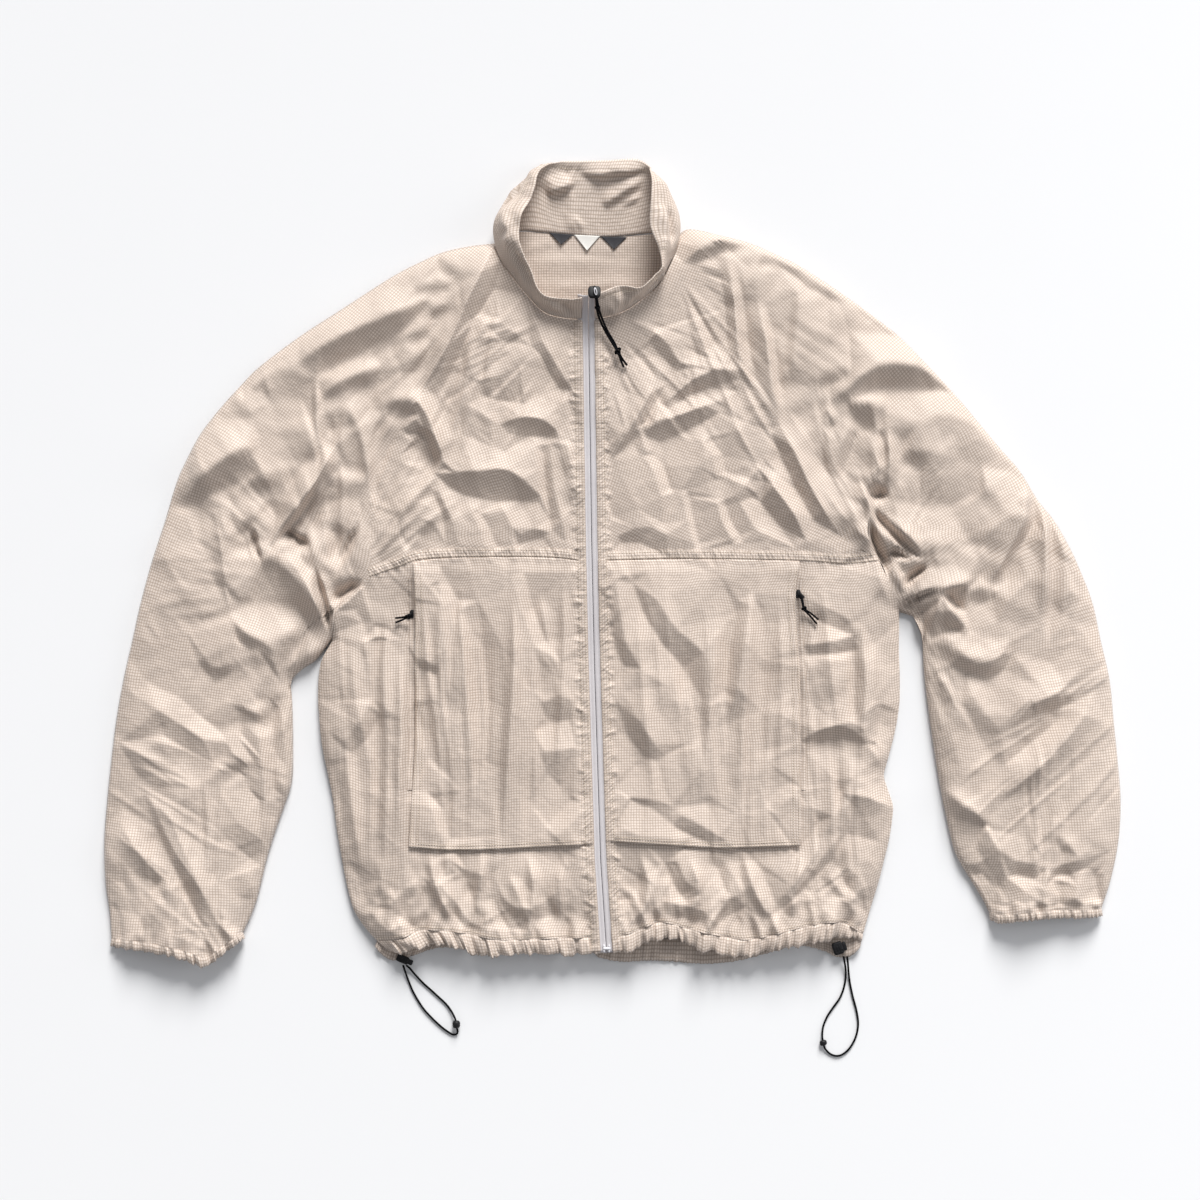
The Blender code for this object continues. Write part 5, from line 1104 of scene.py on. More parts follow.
def on_lower(x, y):
    return sample(LOWER, x, y)


def build_fronts():
    for hand, side, lines in SIDES:
        low_arm = joined(lines["underarm"], lines["side"])
        across = cells_for(lines["hem"])
        down, low_down = cells_for(lines["raglan"]), cells_for(low_arm)
        neck, yoke, hem = (smooth_line(lines[name], across) for name in ("neck", "yoke", "hem"))
        inner = 0 if side > 0 else -1
        upper = zip_edge(neck[inner][1], yoke[inner][1], side, down)
        lower = zip_edge(yoke[inner][1], hem[inner][1], side, low_down)
        neck[inner], yoke[inner], hem[inner] = upper[0], upper[-1], lower[-1]
        arm, arm_low = smooth_line(lines["raglan"], down), smooth_line(low_arm, low_down)
        sheet_panel(f"front_yoke_{hand}", (neck, yoke, *(arm, upper)[::-side]), on_front, YOKE_GRAIN * side)
        sheet_panel(f"front_lower_{hand}", (yoke, hem, *(arm_low, lower)[::-side]),
                    lambda x, y: on_lower(x, y) - 0.5 * ramp(1 - (y - 556) / 8), 0)


def build_pockets():
    for hand, side, lines in SIDES:
        across, down = cells_for(lines["pocket_bottom"]), cells_for(lines["pocket_outer"])
        top, bottom = smooth_line(lines["pocket_top"], across), smooth_line(lines["pocket_bottom"], across)
        outer = smooth_line(lines["pocket_outer"], down)
        inner = 0 if side > 0 else -1
        edge = zip_edge(top[inner][1], bottom[inner][1], side, down)
        top[inner], bottom[inner] = edge[0], edge[-1]

        def height(x, y):
            from_zip = np.abs(x - zip_x(y)) - ZIP_HALF
            sewn = ramp(np.minimum(y - POCKET_SEAM, from_zip) / 16.0)
            return on_front(x, y) + 0.5 + (POCKET_RISE - 0.5) * sewn + 1.0 * ramp((y - 800) / 45) * sewn
        POCKET_PANELS[hand] = height
        sheet_panel(f"pocket_{hand}", (top, bottom, *(outer, edge)[::-side]), height, 0.8 * side,
                    f"front_lower_{hand}", CLOTH_WALL)


def back_level(x, y):
    return BACK_REST + (EDGE_MEET - BACK_REST) * (1 - np.clip(sample(EDGE_DISTANCE, x, y) / EDGE_ROLL, 0, 1)) ** 2


# Folds of the back below the neck, seen through the collar: height, reach of each flank, points.
BACK_FOLDS = (
    (2.2, 22, 9, 655, 262, 600, 261, 560, 259, 515, 263), (1.6, 12, 7, 650, 284, 610, 283, 560, 285, 530, 280),
    (1.4, 10, 6, 560, 240, 535, 246, 518, 250), (1.3, 8, 6, 655, 246, 630, 250, 606, 250),
)


def uneven_back(relief, highest, x, y):
    """The height of cloth that lies next to the table, with its relief turned upwards."""
    relief = blurred(np.abs(relief), 1.6) * ramp(EDGE_DISTANCE / 16)
    return back_level(x, y) + np.clip(sample(relief, x, y), 0, highest)


def build_back():
    low_arms = [joined(lines["underarm"], lines["side"]) for _, _, lines in SIDES]
    down, low_down = cells_for(LEFT["raglan"], BACK_CELL), cells_for(low_arms[0], BACK_CELL)
    left, right = (joined(smooth_line(lines["raglan"], down), smooth_line(low_arm, low_down))
                   for (_, _, lines), low_arm in zip(SIDES, low_arms))
    across = cells_for(BACK_HEM, BACK_CELL)
    flat = coons(smooth_line(BACK_NECK, across), smooth_line(BACK_HEM, across), left, right)
    relief = np.zeros(GX.shape)
    facets(relief, (330, 235, 900, 940), 38, 0.8, 0.4, 1.6)
    facets(relief, (330, 235, 900, 940), 17, 0.35, 1.1, 1.5)
    gathers(relief, BACK_HEM, 40, 34, 2.2, 7, 0.25, 1)
    for row in BACK_FOLDS:
        add_fold(relief, row)
    z = uneven_back(relief, 2.2, flat[..., 0], flat[..., 1])
    cloth("back_cloth", np.dstack([flat, z]), weave(flat), "ripstop", ["back"], *CUTS["back"], flip=True)


def sleeve_weave(x, y, centre):
    line = smooth_line(centre, 260)
    distance, side, along = nearest(x, y, line)
    total = length_of(line)
    return np.stack([(distance * side) * MM, along * total * MM], -1)


def build_sleeves():
    regions = {"left": (96, 232, 500, 960), "right": (676, 232, 1126, 925)}
    n_over, n_under = 92, 34                                # cells across the front and the back half
    for hand, side, lines in SIDES:
        arm = joined(lines["raglan"], lines["underarm"])
        along = cells_for(lines["outer"], SLEEVE_CELL)
        top, low = smooth_line(lines["outer"], along), smooth_line(lines["inner"], along)
        over, under = (coons(top, low, smooth_line(arm, n), smooth_line(lines["cuff"], n))
                       for n in (n_over, n_under))          # rows from outer to inner edge
        relief = np.zeros(GX.shape)
        facets(relief, regions[hand], 30, 0.8, 0.8, 1.5)
        x, y = over[..., 0], over[..., 1]
        z_over = on_front(x, y)
        z_over[0], z_over[-1] = EDGE_MEET, np.where(np.arange(over.shape[1]) > 0, EDGE_MEET, z_over[-1])
        z_under = uneven_back(relief, 2.0, under[..., 0], under[..., 1])
        ring = np.concatenate([np.dstack([over, z_over]), np.dstack([under, z_under])[::-1][1:-1]], axis=0)
        ring = np.transpose(ring, (1, 0, 2))                # rows along the sleeve, columns round it
        CUFF_RINGS[hand] = (ring[-1].copy(), n_over)
        uv_over = sleeve_weave(x + sample(CREEP_X, x, y), y + sample(CREEP_Y, x, y), lines["grain"])
        uv_under = sleeve_weave(under[..., 0], under[..., 1], lines["grain"])
        mirrored = 2 * uv_over[-1][None] - uv_under[::-1][1:]
        uv = np.transpose(np.concatenate([uv_over, mirrored], axis=0), (1, 0, 2))
        cloth(f"sleeve_{hand}_cloth", ring, uv, "ripstop", [f"sleeve_front_{hand}", f"sleeve_back_{hand}"],
              *CUTS["sleeve"], closed=True, flip=side < 0)


# ============================================================ casings, cuffs and collar
def ruffle(length, pitch, seed, uneven=0.6):
    """Uneven waves along a gathered edge: a function of the place along it in millimetres."""
    rng = np.random.default_rng(seed)
    steps = rng.uniform(1 - uneven, 1 + uneven, int(length / pitch * 2.6) + 6) * pitch / 2
    knots = np.concatenate([[-pitch], -pitch + np.cumsum(steps)])
    heights = rng.uniform(0.3, 1.0, len(knots)) * np.where(np.arange(len(knots)) % 2, 1, -1)
    return lambda s: np.interp(s, knots, heights)


# Profiles of the casings: share of the way from seam to edge, lift, strength of the waves.
HEM_PROFILE = (
    (0, -0.5, 0.1), (0.08, 0.2, 0.45), (0.22, 0.8, 0.9), (0.4, 1.1, 1.1), (0.6, 1.1, 1.0), (0.78, 0.7, 1.2),
    (0.92, 0.1, 1.3), (1.0, -1.0, 1.3), (1.0, -2.4, 1.2), (0.9, -3.8, 0.9), (0.7, -4.4, 0.7),
)
CUFF_PROFILE = (
    (0, 0, 0), (0.12, 0.3, 0.6), (0.3, 0.7, 1.0), (0.5, 0.8, 1.1), (0.7, 0.7, 1.1), (0.88, 0.1, 1.2),
    (1.0, -0.8, 1.1), (0.97, -1.7, 0.9), (0.75, -2.2, 0.7),
)
BACK_HEM_PROFILE = ((0, 0.1), (0.15, 0.5), (0.35, 0.9), (0.6, 1.0), (0.85, 1.0), (1.0, 0.9))  # no lift
HEM_SEEDS = {"left": 21, "right": 22}
HEM_WAVES = (13, 15, 4.4, 5.2)                              # pitches: wide at seam and edge, fine at both
HEM_CELL, BACK_HEM_CELL = 1.3, 1.6
HEM_TURN = 16            # of the casing shows, the rest is turned under
CUFF_SEEDS = {"left": (41, 1.4), "right": (42, 0.5)}        # and how loosely the cuff ruffles
CUFF_CELLS = 264


def strip_uv(s, across):
    """UV in metres of one row of a strip: the place along it and the reach across it."""
    return np.column_stack([s * MM, np.full(len(s), across * MM)])


def build_hems():
    for hand, _, lines in SIDES:
        seam, edge, seed = lines["hem"], lines["hem_edge"], HEM_SEEDS[hand]
        length = length_of(seam)
        cells = round(length / HEM_CELL)
        near, far = smooth_line(seam, cells), smooth_line(edge, cells)
        s = np.linspace(0, length, cells + 1)
        ends = ramp(np.minimum(s, length - s) / 8.0)
        sway = ruffle(length, 31, seed + 9, 0.9)(s) * ends
        waves = [ruffle(length, pitch, seed + k, 0.95) for k, pitch in enumerate(HEM_WAVES)]
        base = on_lower(near[:, 0], near[:, 1])
        base = base * 0.5 + 0.5 * np.convolve(np.pad(base, 12, mode="edge"), np.ones(25) / 25, "valid")
        rows, uv = [], []
        for share, lift, strength in HEM_PROFILE:
            flat = near * (1 - share) + far * share
            slid = s + 4.5 * sway * share
            wide = (waves[0](slid) * (1 - share) + waves[1](slid) * share) * ends
            fine = (waves[2](slid) * (1 - share) + waves[3](slid) * share) * ends
            flat[:, 1] += (fine * 1.3 + wide * 1.8 + sway * 1.8) * share * ends
            flat[:, 0] += 1.4 * np.roll(wide, 5) * share * ends
            rows.append(np.column_stack([flat, base + lift + strength * (3.0 * wide + 1.6 * fine + 1.0 * sway)]))
            uv.append(strip_uv(s, share * HEM_TURN + (4 if lift < -2 else 0)))
        cloth(f"hem_front_{hand}_cloth", rows, uv, "ripstop_double", [f"hem_front_{hand}"], (length * MM, 0.026))
    length = length_of(BACK_HEM)
    cells = round(length / BACK_HEM_CELL)
    near, far = smooth_line(BACK_HEM, cells), smooth_line(BACK_HEM_EDGE, cells)
    s = np.linspace(0, length, cells + 1)
    wide, fine = ruffle(length, 11, 31)(s), ruffle(length, 4.4, 32)(s)
    base = back_level(near[:, 0], near[:, 1])
    rows, uv = [], []
    for share, strength in BACK_HEM_PROFILE:
        flat = near * (1 - share) + far * share
        flat[:, 1] += fine * 0.7 * share
        rows.append(np.column_stack([flat, base + strength * (1.3 + 1.2 * wide + 0.7 * fine)]))
        uv.append(strip_uv(s, share * HEM_TURN))
    cloth("hem_back_cloth", rows, uv, "ripstop_double", ["hem_back"], (length * MM, 0.022),
          wall=CLOTH_WALL, flip=True)


def build_cuffs():
    for hand, _, lines in SIDES:
        edge, (seed, loose) = lines["cuff_edge"], CUFF_SEEDS[hand]
        ring, n_over = CUFF_RINGS[hand]
        loop = np.vstack([ring, ring[:1]])
        far = np.vstack([smooth_line(edge, n_over), smooth_line(edge, len(ring) - n_over)[::-1][1:-1]])
        far = np.vstack([far, far[:1]])
        along = steps_along(loop)
        wanted = np.linspace(0, along[-1], CUFF_CELLS + 1)[:-1]
        near, target = at_steps(wanted, along, loop), at_steps(wanted, along, far)
        is_over = wanted < along[n_over]
        ends = ramp(np.minimum(np.abs(wanted - along[n_over]), np.minimum(wanted, along[-1] - wanted)) / 6.0)
        wide, fine = ruffle(along[-1], 10.0, seed, 0.9)(wanted), ruffle(along[-1], 3.8, seed + 3, 0.8)(wanted)
        level = near[:, 2]
        smooth = np.convolve(np.pad(level, 8, mode="wrap"), np.ones(17) / 17, "valid")
        far_z = np.where(is_over, smooth * 0.97, np.maximum(0.4, level * 0.8))
        rows, uv = [], []
        for share, lift, strength in CUFF_PROFILE:
            flat = near[:, :2] * (1 - share) + target * share
            flat[:, 1] += (0.9 * fine + loose * wide) * share * ends
            puff = lift + strength * ((1.0 + 0.6 * loose) * wide + 1.0 * fine)
            z = near[:, 2] * (1 - share) + far_z * share + ends * np.where(is_over, puff, -0.3 * puff)
            rows.append(np.column_stack([flat, np.maximum(z, 0.3)]))
            uv.append(strip_uv(np.append(wanted, along[-1]), share * 8))
        cloth(f"cuff_{hand}_cloth", rows, uv, "ripstop_double", [f"cuff_{hand}"], (along[-1] * MM, 0.016),
              closed=True)


# Each row, round the neck from the zip's left side: seam, middle of the wall, rim.
COLLAR_INSET = 0.7
COLLAR_AROUND, COLLAR_UP = 230, 34                          # cells
RIM_HEM = 8.0            # the rim's seam lies this far below it
COLLAR_PUCKERS = ((6.0, 55), (3.2, 56))                     # pitch and seed
COLLAR_LOWEST = 0.75
COLLAR = (
    ("front", 581.6, 320.6, 0, 581.8, 309, 9, 582, 298, 19),
    ("front", 563, 318.6, 0, 564, 310, 10, 565, 301, 20),
    ("front", 545, 313.4, 0, 544, 306, 11, 543, 297, 21),
    ("front", 530, 299.6, 0, 530, 287, 12, 531, 273, 22),
    ("front", 511.4, 276.6, 0, 514, 262, 13, 522, 248, 23),
    ("front", 499.6, 258.6, 0, 504, 243, 9, 520.5, 233, 21),
    ("front", 498, 243.6, 0, 497, 220, 10, 522, 217, 27),
    ("table", 510, 232.4, 2, 509, 201, 12, 528, 203, 31),
    ("table", 524, 229.4, 0.4, 526, 184, 6, 535, 188, 24),
    ("table", 537, 230.8, 0.1, 538, 180, 2, 541, 172, 13),
    ("table", 552, 231.8, 0, 556, 190, 0, 557, 162, 5),
    ("table", 575, 233.4, 0, 578, 192, 0, 580, 160.6, 3),
    ("table", 602, 235.6, 0, 604, 193, 0, 608, 160, 2.5),
    ("table", 628, 234.2, 0, 630, 192, 0, 636, 159, 4),
    ("table", 645, 232.4, 0.2, 648, 188, 1.5, 648, 166, 10),
    ("table", 657, 231.8, 1, 662, 187, 7, 651, 178, 22),
    ("table", 668, 232.4, 3, 674, 203, 13, 650.5, 205, 32),
    ("front", 674.6, 238, 0, 677.4, 223, 9, 650, 230, 26),
    ("front", 674, 252, 0, 672.4, 243, 9, 657, 248, 22),
    ("front", 670.4, 263.6, 0, 668, 256, 12, 661, 263, 21),
    ("front", 658.6, 285.4, 0, 660.4, 280, 12, 659, 277, 22),
    ("front", 639.6, 302.4, 0, 641, 297, 12, 644, 291, 22),
    ("front", 621.6, 313.4, 0, 622, 304, 10, 622, 291, 20),
    ("front", 595.4, 320.6, 0, 595.6, 309, 9, 596, 297, 19),
)
# Creases of the collar: height, reach to the left and right of the line, points on the sheet.
COLLAR_CREASES = (
    (3.0, 5, 16, 580, 179, 568, 185, 556, 190, 541, 195),
    (3.2, 6, 17, 650, 167, 635, 170, 615, 171, 600, 174, 584, 172, 576, 168),
    (2.4, 8, 14, 646, 178, 632, 186, 614, 197, 596, 208), (1.6, 8, 10, 646, 192, 632, 200, 618, 210, 606, 218),
    (-2.2, 7, 6, 640, 203, 643, 212, 648, 222), (1.3, 3, 4, 541, 223, 548, 219, 556, 222, 563, 229),
    (1.4, 3, 5, 574, 214, 579, 221, 586, 229), (1.4, 3, 5, 610, 220, 618, 225, 628, 222, 634, 228, 646, 224),
    (1.2, 3, 4, 566, 184, 571, 176, 576, 166), (1.0, 3, 4, 588, 226, 604, 219, 622, 214),
    (-1.8, 6, 6, 530, 205, 536, 215, 541, 228), (2.2, 8, 10, 501, 214, 508, 226, 513, 238, 506, 256),
    (-2.0, 5, 6, 513, 246, 520, 264, 530, 283, 542, 300), (2.0, 7, 8, 660, 200, 663, 220, 664, 245, 664, 268),
    (-2.2, 5, 6, 668, 205, 671, 225, 672, 250), (1.8, 7, 7, 617, 292, 618, 304, 608, 318),
    (1.6, 5, 7, 640, 294, 630, 302, 626, 312), (-1.4, 5, 5, 560, 304, 566, 310, 574, 318),
    (1.2, 4, 5, 548, 303, 556, 309, 566, 312),
)


def collar_lines(cells):
    base_field = blurred(FRONT, 5.0)
    sections = []
    for base, *numbers in COLLAR:
        places = np.array(numbers, float).reshape(3, 3)
        inwards = np.array(NECK_MIDDLE) - places[0, :2]
        places[0, :2] += COLLAR_INSET * inwards / np.linalg.norm(inwards)
        if base == "front":
            places[:, 2] += sample(base_field, places[:1, 0], places[:1, 1])[0]
        sections.append(places)
    sections = np.array(sections)
    return [smooth_line(sections[:, level], cells) for level in range(3)]


def rise_of(points):
    """Mean height along the collar's wall of each row above the neck seam."""
    return np.concatenate([[0], np.cumsum(np.linalg.norm(np.diff(points, axis=0), axis=-1).mean(axis=1))])


def normals_of(points):
    across, along = np.gradient(points, axis=0), np.gradient(points, axis=1)
    normal = np.cross(along, across)
    return normal / np.maximum(np.linalg.norm(normal, axis=-1, keepdims=True), 1e-9)


def collar_surface():
    """Rows from the neck seam to the rim, with creases laid on along the surface's normals."""
    lines = collar_lines(COLLAR_AROUND)
    v = np.linspace(0, 1, COLLAR_UP + 1)
    points = np.array([(1 - t) * (1 - 2 * t) * lines[0] + 4 * t * (1 - t) * lines[1] + t * (2 * t - 1) * lines[2]
                       for t in v])
    normal = normals_of(points)
    relief = np.zeros(GX.shape)
    for row in COLLAR_CREASES:
        add_fold(relief, row, 1.2, 2.6)
    facets(relief, (494, 156, 680, 325), 21, 2.3, 0.5, 1.7)
    facets(relief, (494, 156, 680, 325), 8, 0.6, 0.9, 1.5)
    relief = blurred(relief, 0.6)
    height, length = rise_of(points), steps_along(lines[1])
    from_rim = height[-1] - height[:, None]
    pucker, small = (ruffle(length[-1], pitch, seed)(length)[None, :] for pitch, seed in COLLAR_PUCKERS)
    band = 0.5 * ramp(from_rim / 1.5) * ramp((RIM_HEM - from_rim) / 2.0)
    stitched = -0.5 * np.exp(-((from_rim - RIM_HEM) / 1.0) ** 2)
    puckers = (0.55 * pucker + 0.35 * small) * np.exp(-((from_rim - 6.0) / 5.0) ** 2)
    at_seam = (0.5 * pucker + 0.3 * small) * np.exp(-((height[:, None] - 4.0) / 4.0) ** 2)
    move = sample(relief, points[..., 0], points[..., 1]) * ramp(v / 0.1)[:, None]
    move = move + band + stitched + puckers + at_seam
    points = points + normal * move[..., None] * np.where(normal[..., 2:] < 0, -1, 1)
    points[..., 2] -= 1.3 * (1 - ramp(v / 0.07))[:, None]
    points[..., 2] = np.maximum(points[..., 2], COLLAR_LOWEST)
    uv = np.dstack([np.broadcast_to(length * MM, points.shape[:2]),
                    np.broadcast_to(height[:, None] * MM, points.shape[:2])])
    return points, uv


def build_collar():
    points, uv = collar_surface()
    cloth("collar_cloth", points, uv, "ripstop_double", ["collar"], *CUTS["collar"], wall=1.1, offset=0.0)


# ============================================================ small joined pieces
def round_faces(rings, count, caps="points"):
    """Faces between rings of count points, closed by two points that follow them, or by flat ends."""
    faces = [(k * count + j, k * count + (j + 1) % count, (k + 1) * count + (j + 1) % count, (k + 1) * count + j)
             for k in range(rings - 1) for j in range(count)]
    last = rings * count
    if caps == "points":
        faces += [(last, (j + 1) % count, j) for j in range(count)]
        faces += [(last + 1, last - count + j, last - count + (j + 1) % count) for j in range(count)]
    else:
        faces += [tuple(range(count))[::-1], tuple(range(last - count, last))]
    return faces


class Batch:
    """Many small pieces in one mesh, in sheet millimetres."""

    def __init__(self):
        self.points, self.faces, self.count = [], [], 0

    def add(self, points, faces, turned=None, place=0.0):
        points = np.asarray(points, float)
        self.points.append(points if turned is None else points @ turned.T + place)
        self.faces += [tuple(int(k) + self.count for k in face) for face in faces]
        self.count += len(points)

    def link(self, name, slot, *choices, **more):
        return link(self.mesh(name), name, slot, *choices, **more)

    def mesh(self, name):
        made = bpy.data.meshes.new(name)
        made.from_pydata(world(np.vstack(self.points)).tolist(), [], self.faces)
        made.validate()
        bm = bmesh.new()
        bm.from_mesh(made)
        bmesh.ops.recalc_face_normals(bm, faces=bm.faces)
        bm.to_mesh(made)
        bm.free()
        made.shade_smooth()
        return made


def add_grain(batch, a, b, half_width=0.28, up=(0, 0, 1), height=0.3):
    """One stitch from a to b: fat in the middle, let into the cloth at both ends."""
    a, b, up = np.asarray(a, float), np.asarray(b, float), np.asarray(up, float)
    side = np.cross(b - a, up)
    side /= max(np.linalg.norm(side), 1e-9)
    one, two = a * 0.75 + b * 0.25, a * 0.25 + b * 0.75
    ring = [p + side * half_width * k + up * height * j
            for p in (one, two) for k, j in ((1, 0.3), (0, 1.0), (-1, 0.3), (0, -0.4))]
    batch.add([a] + ring + [b], [(0, 1, 2), (0, 2, 3), (0, 3, 4), (0, 4, 1)]
              + [(1 + k, 5 + k, 5 + (k + 1) % 4, 1 + (k + 1) % 4) for k in range(4)]
              + [(9, 6, 5), (9, 7, 6), (9, 8, 7), (9, 5, 8)])


def stitch_row(batch, line, height, lift, pitch):
    """Stitches along a line of (x, y), lifted off the surface height(x, y)."""
    count = max(2, int(length_of(line) / pitch))
    fine = smooth_line(line, count * 4)
    z = height(fine[:, 0], fine[:, 1]) + lift + 0.15
    fine = np.column_stack([fine, z])
    for k in range(count):
        add_grain(batch, fine[4 * k], fine[min(4 * k + 3, len(fine) - 1)])


def add_tube(batch, route, radius, sides, cells, turned=None, place=0.0):
    """A closed round tube along a smooth route."""
    line = smooth_line(np.asarray(route, float), cells)
    run = np.gradient(line, axis=0)
    run /= np.linalg.norm(run, axis=1, keepdims=True)
    side = np.cross(run[0], (0, 0, 1) if abs(run[0][2]) < 0.9 else (0, 1, 0))
    angles = np.linspace(0, 2 * math.pi, sides, endpoint=False)[:, None]
    rings = []
    for place_on, direction in zip(line, run):
        side = side - direction * side.dot(direction)
        side /= np.linalg.norm(side)
        rings.append(place_on + radius * (np.cos(angles) * side + np.sin(angles) * np.cross(direction, side)))
    points = np.vstack(rings + [line[:1] - run[:1] * radius * 0.5, line[-1:] + run[-1:] * radius * 0.5])
    batch.add(points, round_faces(len(line), sides), turned, place)


# ============================================================ front zip
ZIP_TOP = ((588.3, 322, 0), (588.4, 316, 3.6), (588.6, 309, 9.0), (588.8, 298.5, 18.0))   # up the collar
TAPE_PROFILE = (         # reach from the middle, lift
    (0.14, -0.5), (0.5, 0.12), (1.5, 0.42), (2.9, 0.38), (3.9, 0.05), (4.7, 0.1), (5.2, 0.5), (5.8, 0.5),
    (6.25, -0.1), (8.0, -1.1), (11.0, -1.6),
)
TOOTH_PITCH = 1.5
ZIP_RUN = (951, 322, -2.5)                                  # y from, to and step


def zip_level(y):
    x = zip_x(y)
    low = np.minimum(sample(FRONT, x - ZIP_HALF, y), sample(FRONT, x + ZIP_HALF, y))
    return np.convolve(np.pad(low, 9, mode="edge"), np.ones(19) / 19, "valid")


def zip_route():
    """The zip's middle line, from the hem to the top of the collar."""
    y = np.arange(*ZIP_RUN)
    low = np.column_stack([zip_x(y), y, zip_level(y) - 0.5])
    base = low[-1, 2]
    rise = smooth_line([(x, y, base + up) for x, y, up in ZIP_TOP], 12)
    return np.vstack([low, rise[1:]])


def build_front_zip():
    route = zip_route()
    run = np.gradient(route, axis=0)
    run /= np.linalg.norm(run, axis=1, keepdims=True)
    up = np.cross(np.array([[1.0, 0, 0]]), run)
    up *= np.where(up[:, 2:] < 0, -1, 1)
    along = steps_along(route)
    for hand, side, _ in SIDES:
        points = np.stack([route + up * lift + (side * across, 0, 0) for across, lift in TAPE_PROFILE], axis=1)
        uv = np.stack([strip_uv(along, across)[:, ::-1] for across, _ in TAPE_PROFILE], axis=1)
        cloth(f"zip_tape_{hand}_woven", points, uv, "zip_tape", [f"zip_tape_{hand}"], (0.0115, along[-1] * MM),
              wall=0.5, flip=side > 0)
    teeth = Batch()
    for k, place in enumerate(smooth_line(route[:-6], int(length_of(route[:-6]) / TOOTH_PITCH))):
        side = 1 if k % 2 else -1
        add_grain(teeth, place + (side * -0.5, 0, -1.0), place + (side * 2.4, 0.3, -1.1), 0.42, (0, 0, -1), 0.8)
    teeth.link("zip_coil_turns", "zip_coil", replaces=["zip_coil"])
    x, _, z = route[0]
    stop = Batch()
    for across in (-2.6, 2.6):
        add_tube(stop, ((x + across, 943.5, z + 0.9), (x + across, 950.5, z + 0.9)), 1.15, 10, 8)
    add_tube(stop, ((x - 3.2, 947, z + 1.0), (x + 3.6, 947, z + 1.0)), 1.5, 10, 8)
    stop.link("zip_stop_moulded", "pale_plastic", replaces=["zip_bottom_stop"])


ZIP_SLIDER = (594.4, 296.0, 41.4)
SLIDER_TILT = 20.0
ZIP_PIVOT = (594.4, 291.4, 46.2)


def plate(batch, outline, low, high, turned, place, hole=None):
    """A flat plate with an optional hole; outline and hole are rings of equal count in its own plane."""
    outer = np.asarray(outline, float)
    count, thick = len(outer), high - low
    if hole is None:
        rings = ((outer * 0.86, low), (outer, low + 0.25 * thick), (outer, low + 0.75 * thick), (outer * 0.86, high))
        faces = round_faces(4, count, "flat")
    else:
        rings = ((outer * 0.93, low), (outer, (low + high) / 2), (outer * 0.93, high), (hole, high), (hole, low))
        faces = [(k * count + j, k * count + (j + 1) % count, (k + 1) % 5 * count + (j + 1) % count,
                  (k + 1) % 5 * count + j) for k in range(5) for j in range(count)]
    batch.add(np.vstack([np.column_stack([ring, np.full(count, z)]) for ring, z in rings]), faces, turned, place)


def tilt_turn(tilt, turn):
    """Rotation for sheet points: first turned in the plane, then tilted about x."""
    a, b = math.radians(tilt), math.radians(turn)
    turned = np.array([[math.cos(b), -math.sin(b), 0], [math.sin(b), math.cos(b), 0], [0, 0, 1]])
    tilted = np.array([[1, 0, 0], [0, math.cos(a), math.sin(a)], [0, -math.sin(a), math.cos(a)]])
    return tilted @ turned


SHIELD = (
    (-4.0, 5.8), (-5.9, 3.6), (-6.3, 0.4), (-6.1, -3.4), (-4.6, -5.6), (-1.6, -5.9), (1.6, -5.9), (4.6, -5.6),
    (6.1, -3.4), (6.3, 0.4), (5.9, 3.6), (4.0, 5.8),
)
WEDGE = ((-1.5, -5.0), (1.5, -5.0), (1.2, 1.5), (-1.2, 1.5))
SLIDER_ARCH = ((0, -5.0, 1.6), (0, -4.6, 3.4), (0, -2.6, 4.2), (0, 0.6, 4.0), (0, 2.4, 2.9), (0, 3.0, 1.6))
TAB_FROM_PIVOT = (1.2, 4.3, 0.1)
TAB_TURN = -12


def build_slider():
    body, at = Batch(), (tilt_turn(-SLIDER_TILT, 0), ZIP_SLIDER)
    for outline, low, high in ((SHIELD, 0.7, 2.1), (SHIELD, -2.1, -0.8), (WEDGE, -1.0, 1.0)):
        plate(body, outline, low, high, *at)
    add_tube(body, SLIDER_ARCH, 0.95, 8, 18, *at)
    body.link("zip_slider_body", "black_plastic", replaces=["zip_slider"])
    tab = Batch()
    turn = np.linspace(0, 2 * math.pi, 20, endpoint=False)
    outline = np.column_stack([1.5 * np.cos(turn), 3.9 * np.sign(np.sin(turn)) * np.abs(np.sin(turn)) ** 0.7])
    hole = np.column_stack([0.7 * np.cos(turn), 2.4 * np.sin(turn) + 0.5])
    plate(tab, outline, -0.6, 0.6, tilt_turn(0, TAB_TURN), np.add(ZIP_PIVOT, TAB_FROM_PIVOT), hole)
    tab.link("zip_tab_plate", "pale_plastic", "zip_pull", ["zip_pull_tab"])


